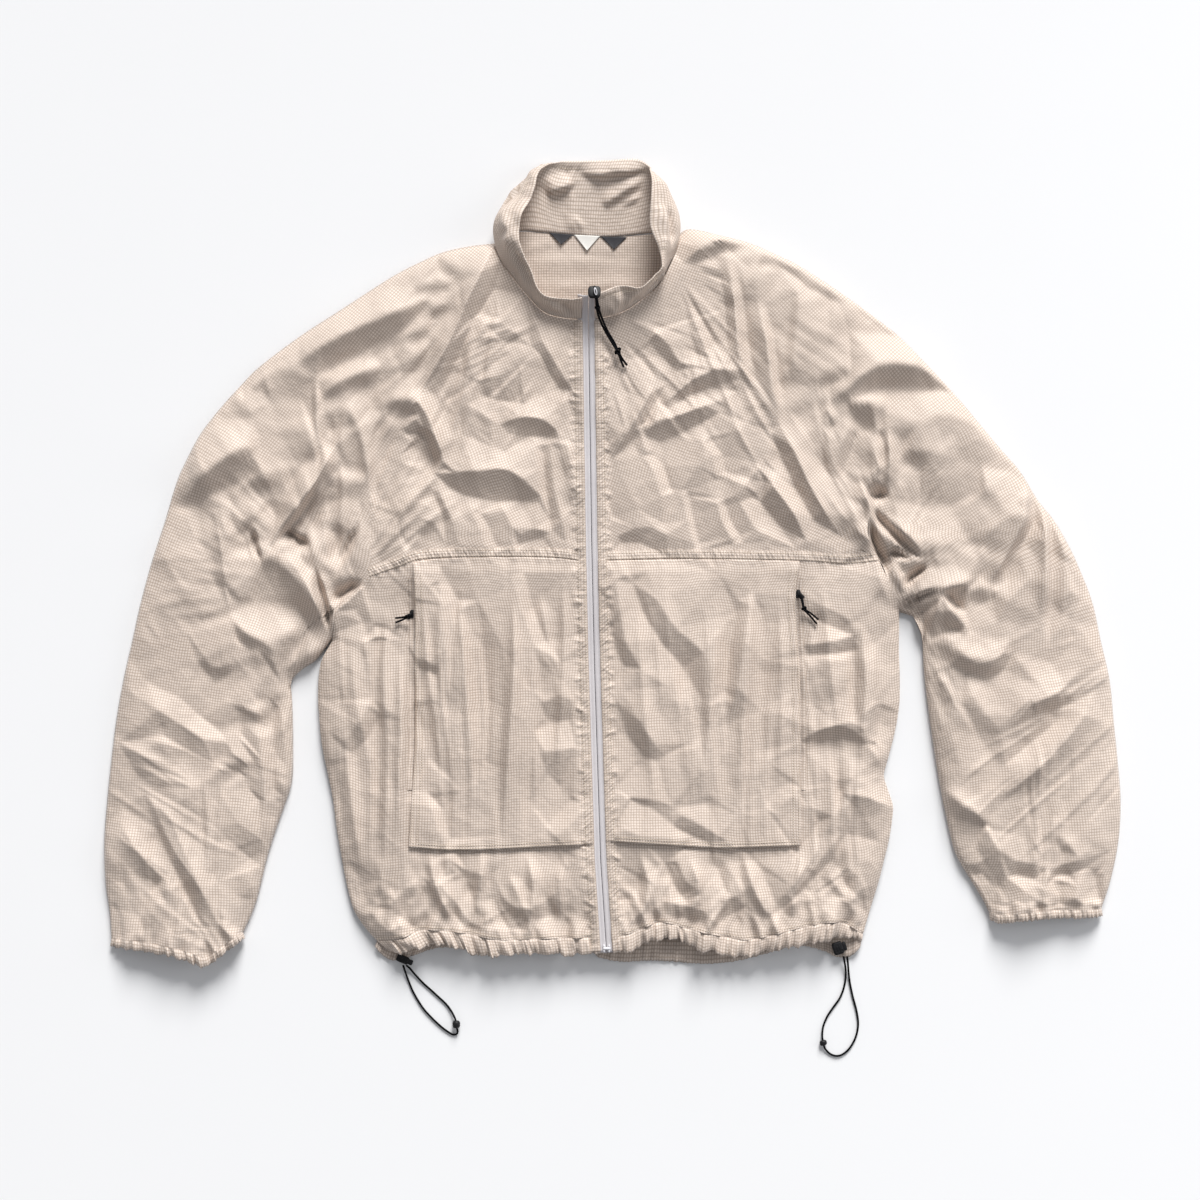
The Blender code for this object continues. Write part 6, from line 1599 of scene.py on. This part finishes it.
# ============================================================ cords
LEFT_LOOP_A = (
    (403.0, 965.4, 5.2), (405, 972, 3.4), (408, 981, 1.6), (413.6, 994, 1.1), (422.5, 1008.5, 1.1),
    (431.4, 1018.5, 1.1), (440.4, 1027, 1.1), (447.5, 1032.4, 1.1), (453.2, 1035.4, 1.1), (456.6, 1034.6, 1.6),
    (457.6, 1031.6, 2.9), (456.9, 1029.0, 3.8))
LEFT_LOOP_B = (
    (455.4, 1020.2, 3.8), (454.0, 1017, 2.9), (450.8, 1011.4, 1.7), (445.6, 1004.6, 1.1), (438.6, 998, 1.1),
    (431.4, 991.4, 1.1), (422.5, 983.4, 1.2), (413.6, 973.6, 2.2), (409.6, 968.6, 3.6), (406.4, 965.4, 5.2))
RIGHT_LOOP_A = (
    (843.4, 956.4, 7.0), (844.6, 962, 5.6), (845.9, 970, 3.2), (846.0, 978, 1.5), (844.6, 987, 1.1),
    (840.6, 998, 1.1), (834, 1007.5, 1.1), (828, 1016.5, 1.1), (823.9, 1026, 1.1), (822.6, 1034, 1.8),
    (822.8, 1039.6, 2.7))
RIGHT_LOOP_B = (
    (824.4, 1046.9, 2.7), (826.2, 1050.4, 1.8), (831, 1054.9, 1.1), (837, 1056.7, 1.1), (843.3, 1055, 1.1),
    (850.4, 1048.4, 1.1), (856.2, 1037.6, 1.1), (858.6, 1025, 1.1), (857, 1011.8, 1.1), (853, 996.5, 1.1),
    (850.4, 984, 1.2), (849.0, 974, 2.6), (848.0, 964, 5.2), (847.0, 956.4, 7.0))
PULL_STRANDS = (
    ((596.0, 301.4, 45.6), (596.8, 309.8, 38.6), (598.6, 318.6, 30.2), (604.6, 331.6, 22.2),
     (612.4, 344.6, 20.2), (617.6, 353.4, 21.6), (620.6, 361.0, 20.4), (623.6, 368.4, 19.8)),
    ((596.8, 301.4, 45.6), (598.4, 309.8, 38.6), (601.2, 318.6, 30.2), (607.0, 331.6, 22.2),
     (614.6, 344.6, 20.2), (618.4, 353.4, 21.6), (622.6, 360.6, 20.4), (627.0, 366.6, 19.8)))
PULL_KNOTS = (((597.6, 310.2, 38.2), (6.2, 6.4, 5.4), 0), ((618.0, 353.0, 21.9), (7.0, 9.4, 6.0), 25))
KNOT_CORD = 0.95         # the knots' radius of cord
POCKET_KNOT = ((6.4, 5.8, 5.2), 30)                         # size and turn
POCKET_PULL_RADIUS = 1.0
POCKET_PULLS = {
    "left": ((((412.6, 614.6, 20.0), (409.2, 615.9, 21.0), (402.6, 617.4, 19.9), (396.2, 618.0, 19.9)),
              ((412.6, 615.2, 20.0), (409.2, 616.8, 21.0), (402.8, 620.0, 19.9), (396.4, 622.4, 19.9))),
             (409.2, 616.4, 21.7)),
    "right": ((((799.0, 594.8, 20.0), (801.6, 600.6, 20.0), (803.4, 608.4, 21.0), (810.6, 613.8, 19.9),
                (817.4, 619.6, 19.9)),
               ((798.6, 595.4, 20.0), (801.0, 601.0, 20.0), (802.8, 609.0, 21.0), (809.6, 616.4, 19.9),
                (815.8, 623.8, 19.9))),
              (803.2, 608.8, 21.7))}


# End beads: middle, size and turn.
BEADS = {"left": ((456.2, 1024.6, 3.9), (8.0, 7.8, 7.6), 0), "right": ((823.5, 1043.3, 2.8), (7.6, 5.6, 5.4), -15)}
BEAD_PROFILE = (         # share of the width and of the length
    (0.15, -0.44), (0.30, -0.46), (0.42, -0.34), (0.49, -0.14), (0.47, 0.0), (0.49, 0.14), (0.42, 0.34),
    (0.30, 0.46), (0.15, 0.44),
)
BEAD_SIDES = 18


def free_cord(name, route, radius, body, replaces):
    """A round cord, one open spline with its strands in the material."""
    data = bpy.data.curves.new(name, "CURVE")
    data.dimensions = "3D"
    data.bevel_depth, data.bevel_resolution, data.use_fill_caps = radius * MM, 3, True
    line = smooth_line(route, max(20, int(length_of(route) / 2.2)))
    spline = data.splines.new("POLY")
    spline.points.add(len(line) - 1)
    for point, place in zip(spline.points, world(line)):
        point.co = (*place, 1.0)
    data.materials.append(FINISHES["black_cord"])
    made = ride(bpy.data.objects.new(name, data), body, replaces)


def add_knot(batch, centre, size, turn):
    """An overhand knot: a cord that winds twice through itself."""
    t = np.linspace(0.15, 2 * math.pi - 0.15, 40)
    room = np.array(size) / 2 - KNOT_CORD
    x, y = (np.sin(t) + 2 * np.sin(2 * t)) / 3 * room[0], (np.cos(t) - 2 * np.cos(2 * t)) / 3 * room[1]
    c, s = math.cos(math.radians(turn)), math.sin(math.radians(turn))
    route = np.column_stack([x * c - y * s, x * s + y * c, -np.sin(3 * t) * room[2]]) + centre
    add_tube(batch, route, KNOT_CORD, 8, 64)


def add_pull(name, knots, strand, routes, radius, body, node):
    """The knots of a pull and its two strands, the first of which ends in them."""
    tied = Batch()
    for knot in knots:
        add_knot(tied, *knot)
    made = tied.link(name, "black_cord", body, [node])
    for index, route in enumerate(routes):
        free_cord(f"{strand}_{index}", route, radius, body, [node])


def build_cords():
    for hand, route in (("left", LEFT_LOOP_A + LEFT_LOOP_B), ("right", RIGHT_LOOP_A + RIGHT_LOOP_B)):
        bead = Batch()
        add_bead(bead, *BEADS[hand])
        made_bead = bead.link(f"bead_{hand}_turned", "black_plastic", replaces=[f"bead_{hand}"])
        free_cord(f"drawcord_{hand}", route, CORD_RADIUS, "jacket", [f"drawcord_{hand}_a", f"drawcord_{hand}_b"])
    add_pull("pull_knots", PULL_KNOTS, "pull_strand", PULL_STRANDS, PULL_RADIUS, "zip_pull", "zip_pull_cord")
    for hand, (routes, middle) in POCKET_PULLS.items():
        node = f"pocket_pull_{hand}"
        add_pull(f"{node}_knot", [(middle, *POCKET_KNOT)], node, routes, POCKET_PULL_RADIUS, "jacket", node)


def add_bead(batch, centre, size, turn):
    """A round end bead with a shallow groove round its middle and a dimple at each cord hole."""
    angles = np.linspace(0, 2 * math.pi, BEAD_SIDES, endpoint=False)
    points = [(r * size[0] * math.cos(a), h * size[1], r * size[2] * math.sin(a))
              for r, h in BEAD_PROFILE for a in angles]
    points += [(0, -0.38 * size[1], 0), (0, 0.38 * size[1], 0)]
    batch.add(points, round_faces(len(BEAD_PROFILE), BEAD_SIDES), tilt_turn(0, turn), centre)


# ============================================================ bands, stitches, pocket zips, locks, labels
def offset_line(line, reach):
    """The same line, moved to its left by reach (a number or one number for each point)."""
    run = np.gradient(line, axis=0)
    run /= np.linalg.norm(run, axis=1, keepdims=True)
    return line + np.column_stack([run[:, 1], -run[:, 0]]) * np.reshape(reach, (-1, 1))


def strip(name, line, profile, height, replaces=(), cut=None, rests=(), flip=False, ripple=None):
    """Narrow doubled cloth along a line: the profile lists reach, lift and share of the ripple."""
    s = steps_along(line)
    rows, uv = [], []
    for reach, lift, share in profile:
        flat = offset_line(line, reach)
        z = height(flat[:, 0], flat[:, 1]) + lift + (0 if ripple is None else share * ripple(s, reach))
        rows.append(np.column_stack([flat, z]))
        uv.append(strip_uv(s, reach))
    cloth(name, rows, uv, "ripstop_double", replaces, cut or (0.0115, length_of(line) * MM), rests=rests, flip=flip)


def puckers(pitch, lean, seed, line):
    """Uneven ripples that lean across a seam."""
    length = length_of(line) + 40
    wave, slow = ruffle(length, pitch, seed, 0.7), ruffle(length, pitch * 3.7, seed + 1, 0.8)
    return lambda s, reach: BAND_RIPPLE * (wave(s + lean * reach + 15) + 0.5 * slow(s + 15))


def panel_top(x, y):
    """The top cloth's height: the pockets where they lie, else the fronts."""
    z = on_front(x, y)
    for hand, side, lines in SIDES:
        outer, bottom = np.array(lines["pocket_outer"], float), np.array(lines["pocket_bottom"], float)
        edge = np.interp(y, outer[:, 1], outer[:, 0])
        inside = (side * (edge - x) > 0) & (side * (x - zip_x(y)) > 0)
        inside = inside & (y > YOKE_LEVEL) & (y < np.interp(x, bottom[:, 0], bottom[:, 1]))
        z = np.where(inside, POCKET_PANELS[hand](x, y), z)
    return z


# Profiles of the narrow strips: reach, lift and share of the ripple.
ZIP_BAND = (
    (-0.3, -1.6, 0), (-0.4, -0.5, 0.2), (-0.1, 0.35, 0.3), (0.6, 0.75, 0.5), (1.6, 0.85, 0.9), (2.8, 0.9, 1.2),
    (4.0, 0.9, 1.3), (5.2, 0.8, 1.2), (6.3, 0.75, 1.1), (7.2, 0.55, 1.1), (7.7, 0.3, 0.9), (8.6, 0.35, 1.1),
    (9.6, -0.1, 0.6), (10.4, -0.7, 0.2),
)
YOKE_BAND = (
    (-0.4, -1.0, 0), (-1.0, -0.6, 0.3), (-1.1, -0.1, 0.6), (-0.6, 0.45, 0.9), (0.4, 0.75, 1.2), (1.6, 0.55, 1.0),
    (2.8, 0.75, 1.2), (4.0, 0.8, 1.3), (5.2, 0.65, 1.2), (6.0, 0.35, 0.9), (7.2, 0.4, 1.2), (8.4, 0.1, 0.8),
    (9.6, -0.6, 0.3),
)
POCKET_TAPE = (
    (-3.6, -0.5, 0), (-2.8, 0.45, 0), (-1.6, 0.5, 0), (-1.1, 0.75, 0), (-0.5, 0.85, 0), (0, 0.6, 0),
    (0.5, 0.85, 0), (1.1, 0.75, 0), (1.6, 0.5, 0), (2.8, 0.45, 0), (3.6, -0.5, 0),
)
BAND_RIPPLE = 0.6
ZIP_BAND_SEED, YOKE_BAND_SEED = 71, 81
BAND_TOP = {"left": 323, "right": 322}
STITCH_PITCH = 2.6       # on the pockets, hems and collar; the bands have the next one
BAND_PITCH = 2.5
STITCH_RUN = 1.9         # the part of the collar's pitch that thread covers


def build_bands():
    """Folded edges that are stitched down beside the zip and over the yoke seams."""
    for hand, side, lines in SIDES:
        y = np.linspace(BAND_TOP[hand], 949, 700)
        line = np.column_stack([zip_x(y) + side * (ZIP_HALF - 0.2), y])[::side]
        strip(f"zip_band_{hand}", line, ZIP_BAND, panel_top, flip=side > 0,
              ripple=puckers(3.6, 0.9, ZIP_BAND_SEED + side, line))
        yoke = smooth_line(lines["yoke"], 330)
        yoke = yoke[:-8] if side < 0 else yoke[8:]
        strip(f"yoke_band_{hand}", yoke, YOKE_BAND, on_front, ripple=puckers(3.4, 0.5, YOKE_BAND_SEED + side, yoke))


def build_stitches():
    sewn = Batch()
    for _, side, lines in SIDES:
        y = np.linspace(330, 944, 60)
        for out, lift in ((1.2, 0.85), (7.5, 0.45)):
            stitch_row(sewn, np.column_stack([zip_x(y) + side * (ZIP_HALF + out), y]), panel_top, lift, BAND_PITCH)
        yoke = smooth_line(lines["yoke"], 80)
        yoke = yoke[:-3] if side < 0 else yoke[3:]
        for out, lift in ((0.4, 0.9), (6.0, 0.6)):
            stitch_row(sewn, offset_line(yoke, out), on_front, lift, BAND_PITCH)
        bottom = smooth_line(lines["pocket_bottom"], 60)[1:-1]
        for up in (1.6, 4.6):
            stitch_row(sewn, offset_line(bottom, up), panel_top, 0.2, STITCH_PITCH)
        outer = smooth_line(lines["pocket_outer"], 60)[2:-1]
        for inset in (1.8, 7.5):
            stitch_row(sewn, offset_line(outer, -inset * side), panel_top, 0.2, STITCH_PITCH)
        stitch_row(sewn, offset_line(smooth_line(lines["hem"], 80), 2.6), on_lower, 0.3, STITCH_PITCH)
    sewn.link("stitches_fronts", "ripstop_double", finish=FINISHES["thread"])
    rim = Batch()
    points, _ = collar_surface()
    height = rise_of(points)
    k = int(np.argmin(np.abs(height - (height[-1] - RIM_HEM))))
    row, normal = points[k], normals_of(points)[k]
    steps = steps_along(row)
    for out in (-1, 1):
        for s in np.arange(1.0, steps[-1] - 3, STITCH_PITCH):
            a, b = at_steps(np.array([s, s + STITCH_RUN]), steps, row)
            n = out * at_steps(np.array([s]), steps, normal)[0]
            add_grain(rim, a + n * 0.65, b + n * 0.65, 0.26, n, 0.3)
    rim.link("stitches_collar", "ripstop_double", finish=FINISHES["thread"])


POCKET_SLIDERS = {"left": (614.0, 65), "right": (594.0, -40)}   # place down the zip, turn of the tab
POCKET_SLIDER_SHELL = (
    (-1.6, 4.0), (-2.4, 2.0), (-2.4, -2.2), (-1.4, -4.2), (1.4, -4.2), (2.4, -2.2), (2.4, 2.0), (1.6, 4.0))
POCKET_SLIDER_LOOP = ((0, -2.4, 1.0), (0, -1.4, 1.9), (0, 1.0, 1.9), (0, 2.0, 1.0))
POCKET_TAB = ((-1.3, -3.0), (1.3, -3.0), (1.6, 3.0), (-1.6, 3.0))


def build_pocket_zips():
    for hand, side, lines in SIDES:
        slide, tab_turn = POCKET_SLIDERS[hand]
        y = np.linspace(579, 789, 130)
        edge = np.interp(y, *np.array(lines["pocket_outer"], float).T[::-1])
        line = np.column_stack([edge + side * 2.4, y])
        strip(f"pocket_zip_{hand}_tape", line, POCKET_TAPE, on_lower, [f"pocket_zip_{hand}"], (0.0105, 0.21),
              [f"front_lower_{hand}_cloth"], side > 0)
        slider, level = Batch(), tilt_turn(0, 0)
        x = line[np.argmin(np.abs(y - slide)), 0]
        centre = np.array([x, slide, float(on_lower(x, slide)) + 1.0])
        plate(slider, POCKET_SLIDER_SHELL, 0.2, 1.1, level, centre)
        add_tube(slider, POCKET_SLIDER_LOOP, 0.55, 8, 12, level, centre)
        plate(slider, POCKET_TAB, 1.3, 2.0, tilt_turn(0, tab_turn), centre + (3.2 * side, 1.6, 0.1))
        slider.link(f"pocket_slider_{hand}_body", "black_plastic", replaces=[f"pocket_slider_{hand}"])


BLOCK_AROUND, BLOCK_UP = 32, 16                             # faces of a rounded block
# Cord locks: middle, size and turn.
LOCKS = {"left": ((404.6, 960.0, 5.4), (17.0, 7.4, 4.6), 22), "right": ((839.4, 947.6, 7.0), (14.0, 12.6, 5.6), -18)}


def rounded_block(batch, centre, size, turned, power):
    """A moulded block with soft edges."""
    u = np.linspace(-math.pi, math.pi, BLOCK_AROUND, endpoint=False)
    v = np.linspace(-math.pi / 2, math.pi / 2, BLOCK_UP + 1)[1:-1]

    def soft(value):
        return np.sign(value) * np.abs(value) ** power
    rings = [np.column_stack([soft(np.cos(u)) * soft(np.cos(t)), soft(np.sin(u)) * soft(np.cos(t)),
                              np.full(BLOCK_AROUND, soft(np.sin(t)))]) for t in v]
    points = np.vstack(rings + [[(0, 0, -1), (0, 0, 1)]]) * (np.array(size) / 2)
    batch.add(points, round_faces(len(rings), BLOCK_AROUND), turned, centre)


def build_locks():
    """Cord locks: a moulded barrel with a sprung button, and the cord's two holes through both."""
    for hand, (centre, (long, wide, tall), turn) in LOCKS.items():
        lock, turned = Batch(), tilt_turn(0, turn)

        def placed(x, y, z):
            return np.array((x, y, z)) @ turned.T + np.array(centre)
        rounded_block(lock, placed(-0.12 * long, 0, 0), (long * 0.76, wide, tall), turned, 0.38)
        rounded_block(lock, placed(0.36 * long, 0, 0), (long * 0.30, wide * 0.72, tall * 0.82), turned, 0.5)
        for share in (-0.34, -0.16, 0.02):
            across = np.array([placed(share * long, t * wide * 0.46, 0.02 * tall) for t in (-1, -0.4, 0.4, 1)])
            across[1:3, 2] += tall * 0.48
            add_tube(lock, across, 0.42, 6, 14)
        angles = np.linspace(0, 2 * math.pi, 16, endpoint=False)[:-1]
        for along in (-0.22, 0.14):
            ring = [placed(along * long + 1.5 * math.cos(a), wide * 0.22 + 1.5 * math.sin(a), tall * 0.5)
                    for a in angles]
            add_tube(lock, ring, 0.45, 6, 30)
        lock.link(f"cord_lock_{hand}_moulded", "black_plastic", replaces=[f"cord_lock_{hand}"])


LABELS = (
    ("label_left", "label_dark", ((549, 232), (573, 234.5), (561, 244.0))),
    ("label_centre", "label_light", ((574, 234.2), (600, 235.5), (587, 250))),
    ("label_right", "label_dark", ((601, 236), (627, 236.6), (614, 248.8))),
)
LEAST_SHEET = 0.0101     # metres; the least length given in a label's cut; a narrower sheet can't be declared


def build_labels():
    """Three bare triangular tabs, sewn into the neck seam and folded down."""
    for name, slot, corners in LABELS:
        a, b, c = (np.array(p, float) for p in corners)
        run = (b - a) / np.linalg.norm(b - a)
        across = np.linspace(0, 1, 17)[:, None]
        rows = []
        for t in np.linspace(0, 1, 15):
            one, two = a * (1 - t) + c * t, b * (1 - t) + c * t
            flat = (one + two) / 2 + run * (across - 0.5) * max(np.linalg.norm(two - one), 0.8)
            z = 1.75 + 1.5 * t ** 2 + 0.25 * np.cos(across[:, 0] * 2 * math.pi) * t
            rows.append(np.column_stack([flat, z]))
        cut = (np.linalg.norm(b - a) * MM, max(LEAST_SHEET, float(c[1] - (a[1] + b[1]) / 2) * MM))
        cloth(f"{name}_tab", rows, np.array(rows)[..., :2] * MM, slot, [name], cut, cut[0] * cut[1] * 0.52,
              ["back_cloth"], wall=0.35)


FLOOR = make_plain("floor_pale", (0.868, 0.874, 0.888), 0.85, 3.0, 0.0, 0.1, 0.01)
KEY_ELEVATION = 29.0     # degrees above the table, from beyond the collar
KEY_SOFTNESS = 27.0      # degrees across
KEY_STRENGTH = 4.6
SKY_STRENGTH = 0.34
KEY_SIDE = 0.16          # how far it stands to the right
KEY_COLOUR, SKY_COLOUR = (1.0, 0.99, 0.975), (0.96, 0.97, 1.0, 1)
FLOOR_SIZE, FLOOR_DROP = 60.0, 0.0002                       # metres


def make_studio():
    bpy.ops.mesh.primitive_plane_add(size=FLOOR_SIZE, location=(0, 0, -FLOOR_DROP))
    floor = bpy.context.active_object
    floor.name = "floor"
    floor.data.materials.append(FLOOR)
    data = bpy.data.lights.new("key", "SUN")
    data.energy, data.color, data.angle = KEY_STRENGTH, KEY_COLOUR, math.radians(KEY_SOFTNESS)
    key = bpy.data.objects.new("key", data)
    towards = Vector((KEY_SIDE, math.cos(math.radians(KEY_ELEVATION)), math.sin(math.radians(KEY_ELEVATION))))
    key.rotation_euler = towards.to_track_quat("Z", "Y").to_euler()
    bpy.context.scene.collection.objects.link(key)
    area_light("fill", (2.6, 0.3, 1.2), (0, 0, 0), (1.6, 1.6), 15.0, (0.97, 0.985, 1.0))
    world_data = bpy.data.worlds.new("soft")
    world_data.use_nodes = True
    world_data.node_tree.nodes["Background"].inputs[0].default_value = SKY_COLOUR
    world_data.node_tree.nodes["Background"].inputs[1].default_value = SKY_STRENGTH
    bpy.context.scene.world = world_data
    bpy.context.scene.view_settings.view_transform = "Standard"


build_fronts()
build_pockets()
build_back()
build_sleeves()
build_hems()
build_cuffs()
build_collar()
build_front_zip()
build_slider()
build_cords()
build_bands()
build_stitches()
build_pocket_zips()
build_locks()
build_labels()
make_studio()
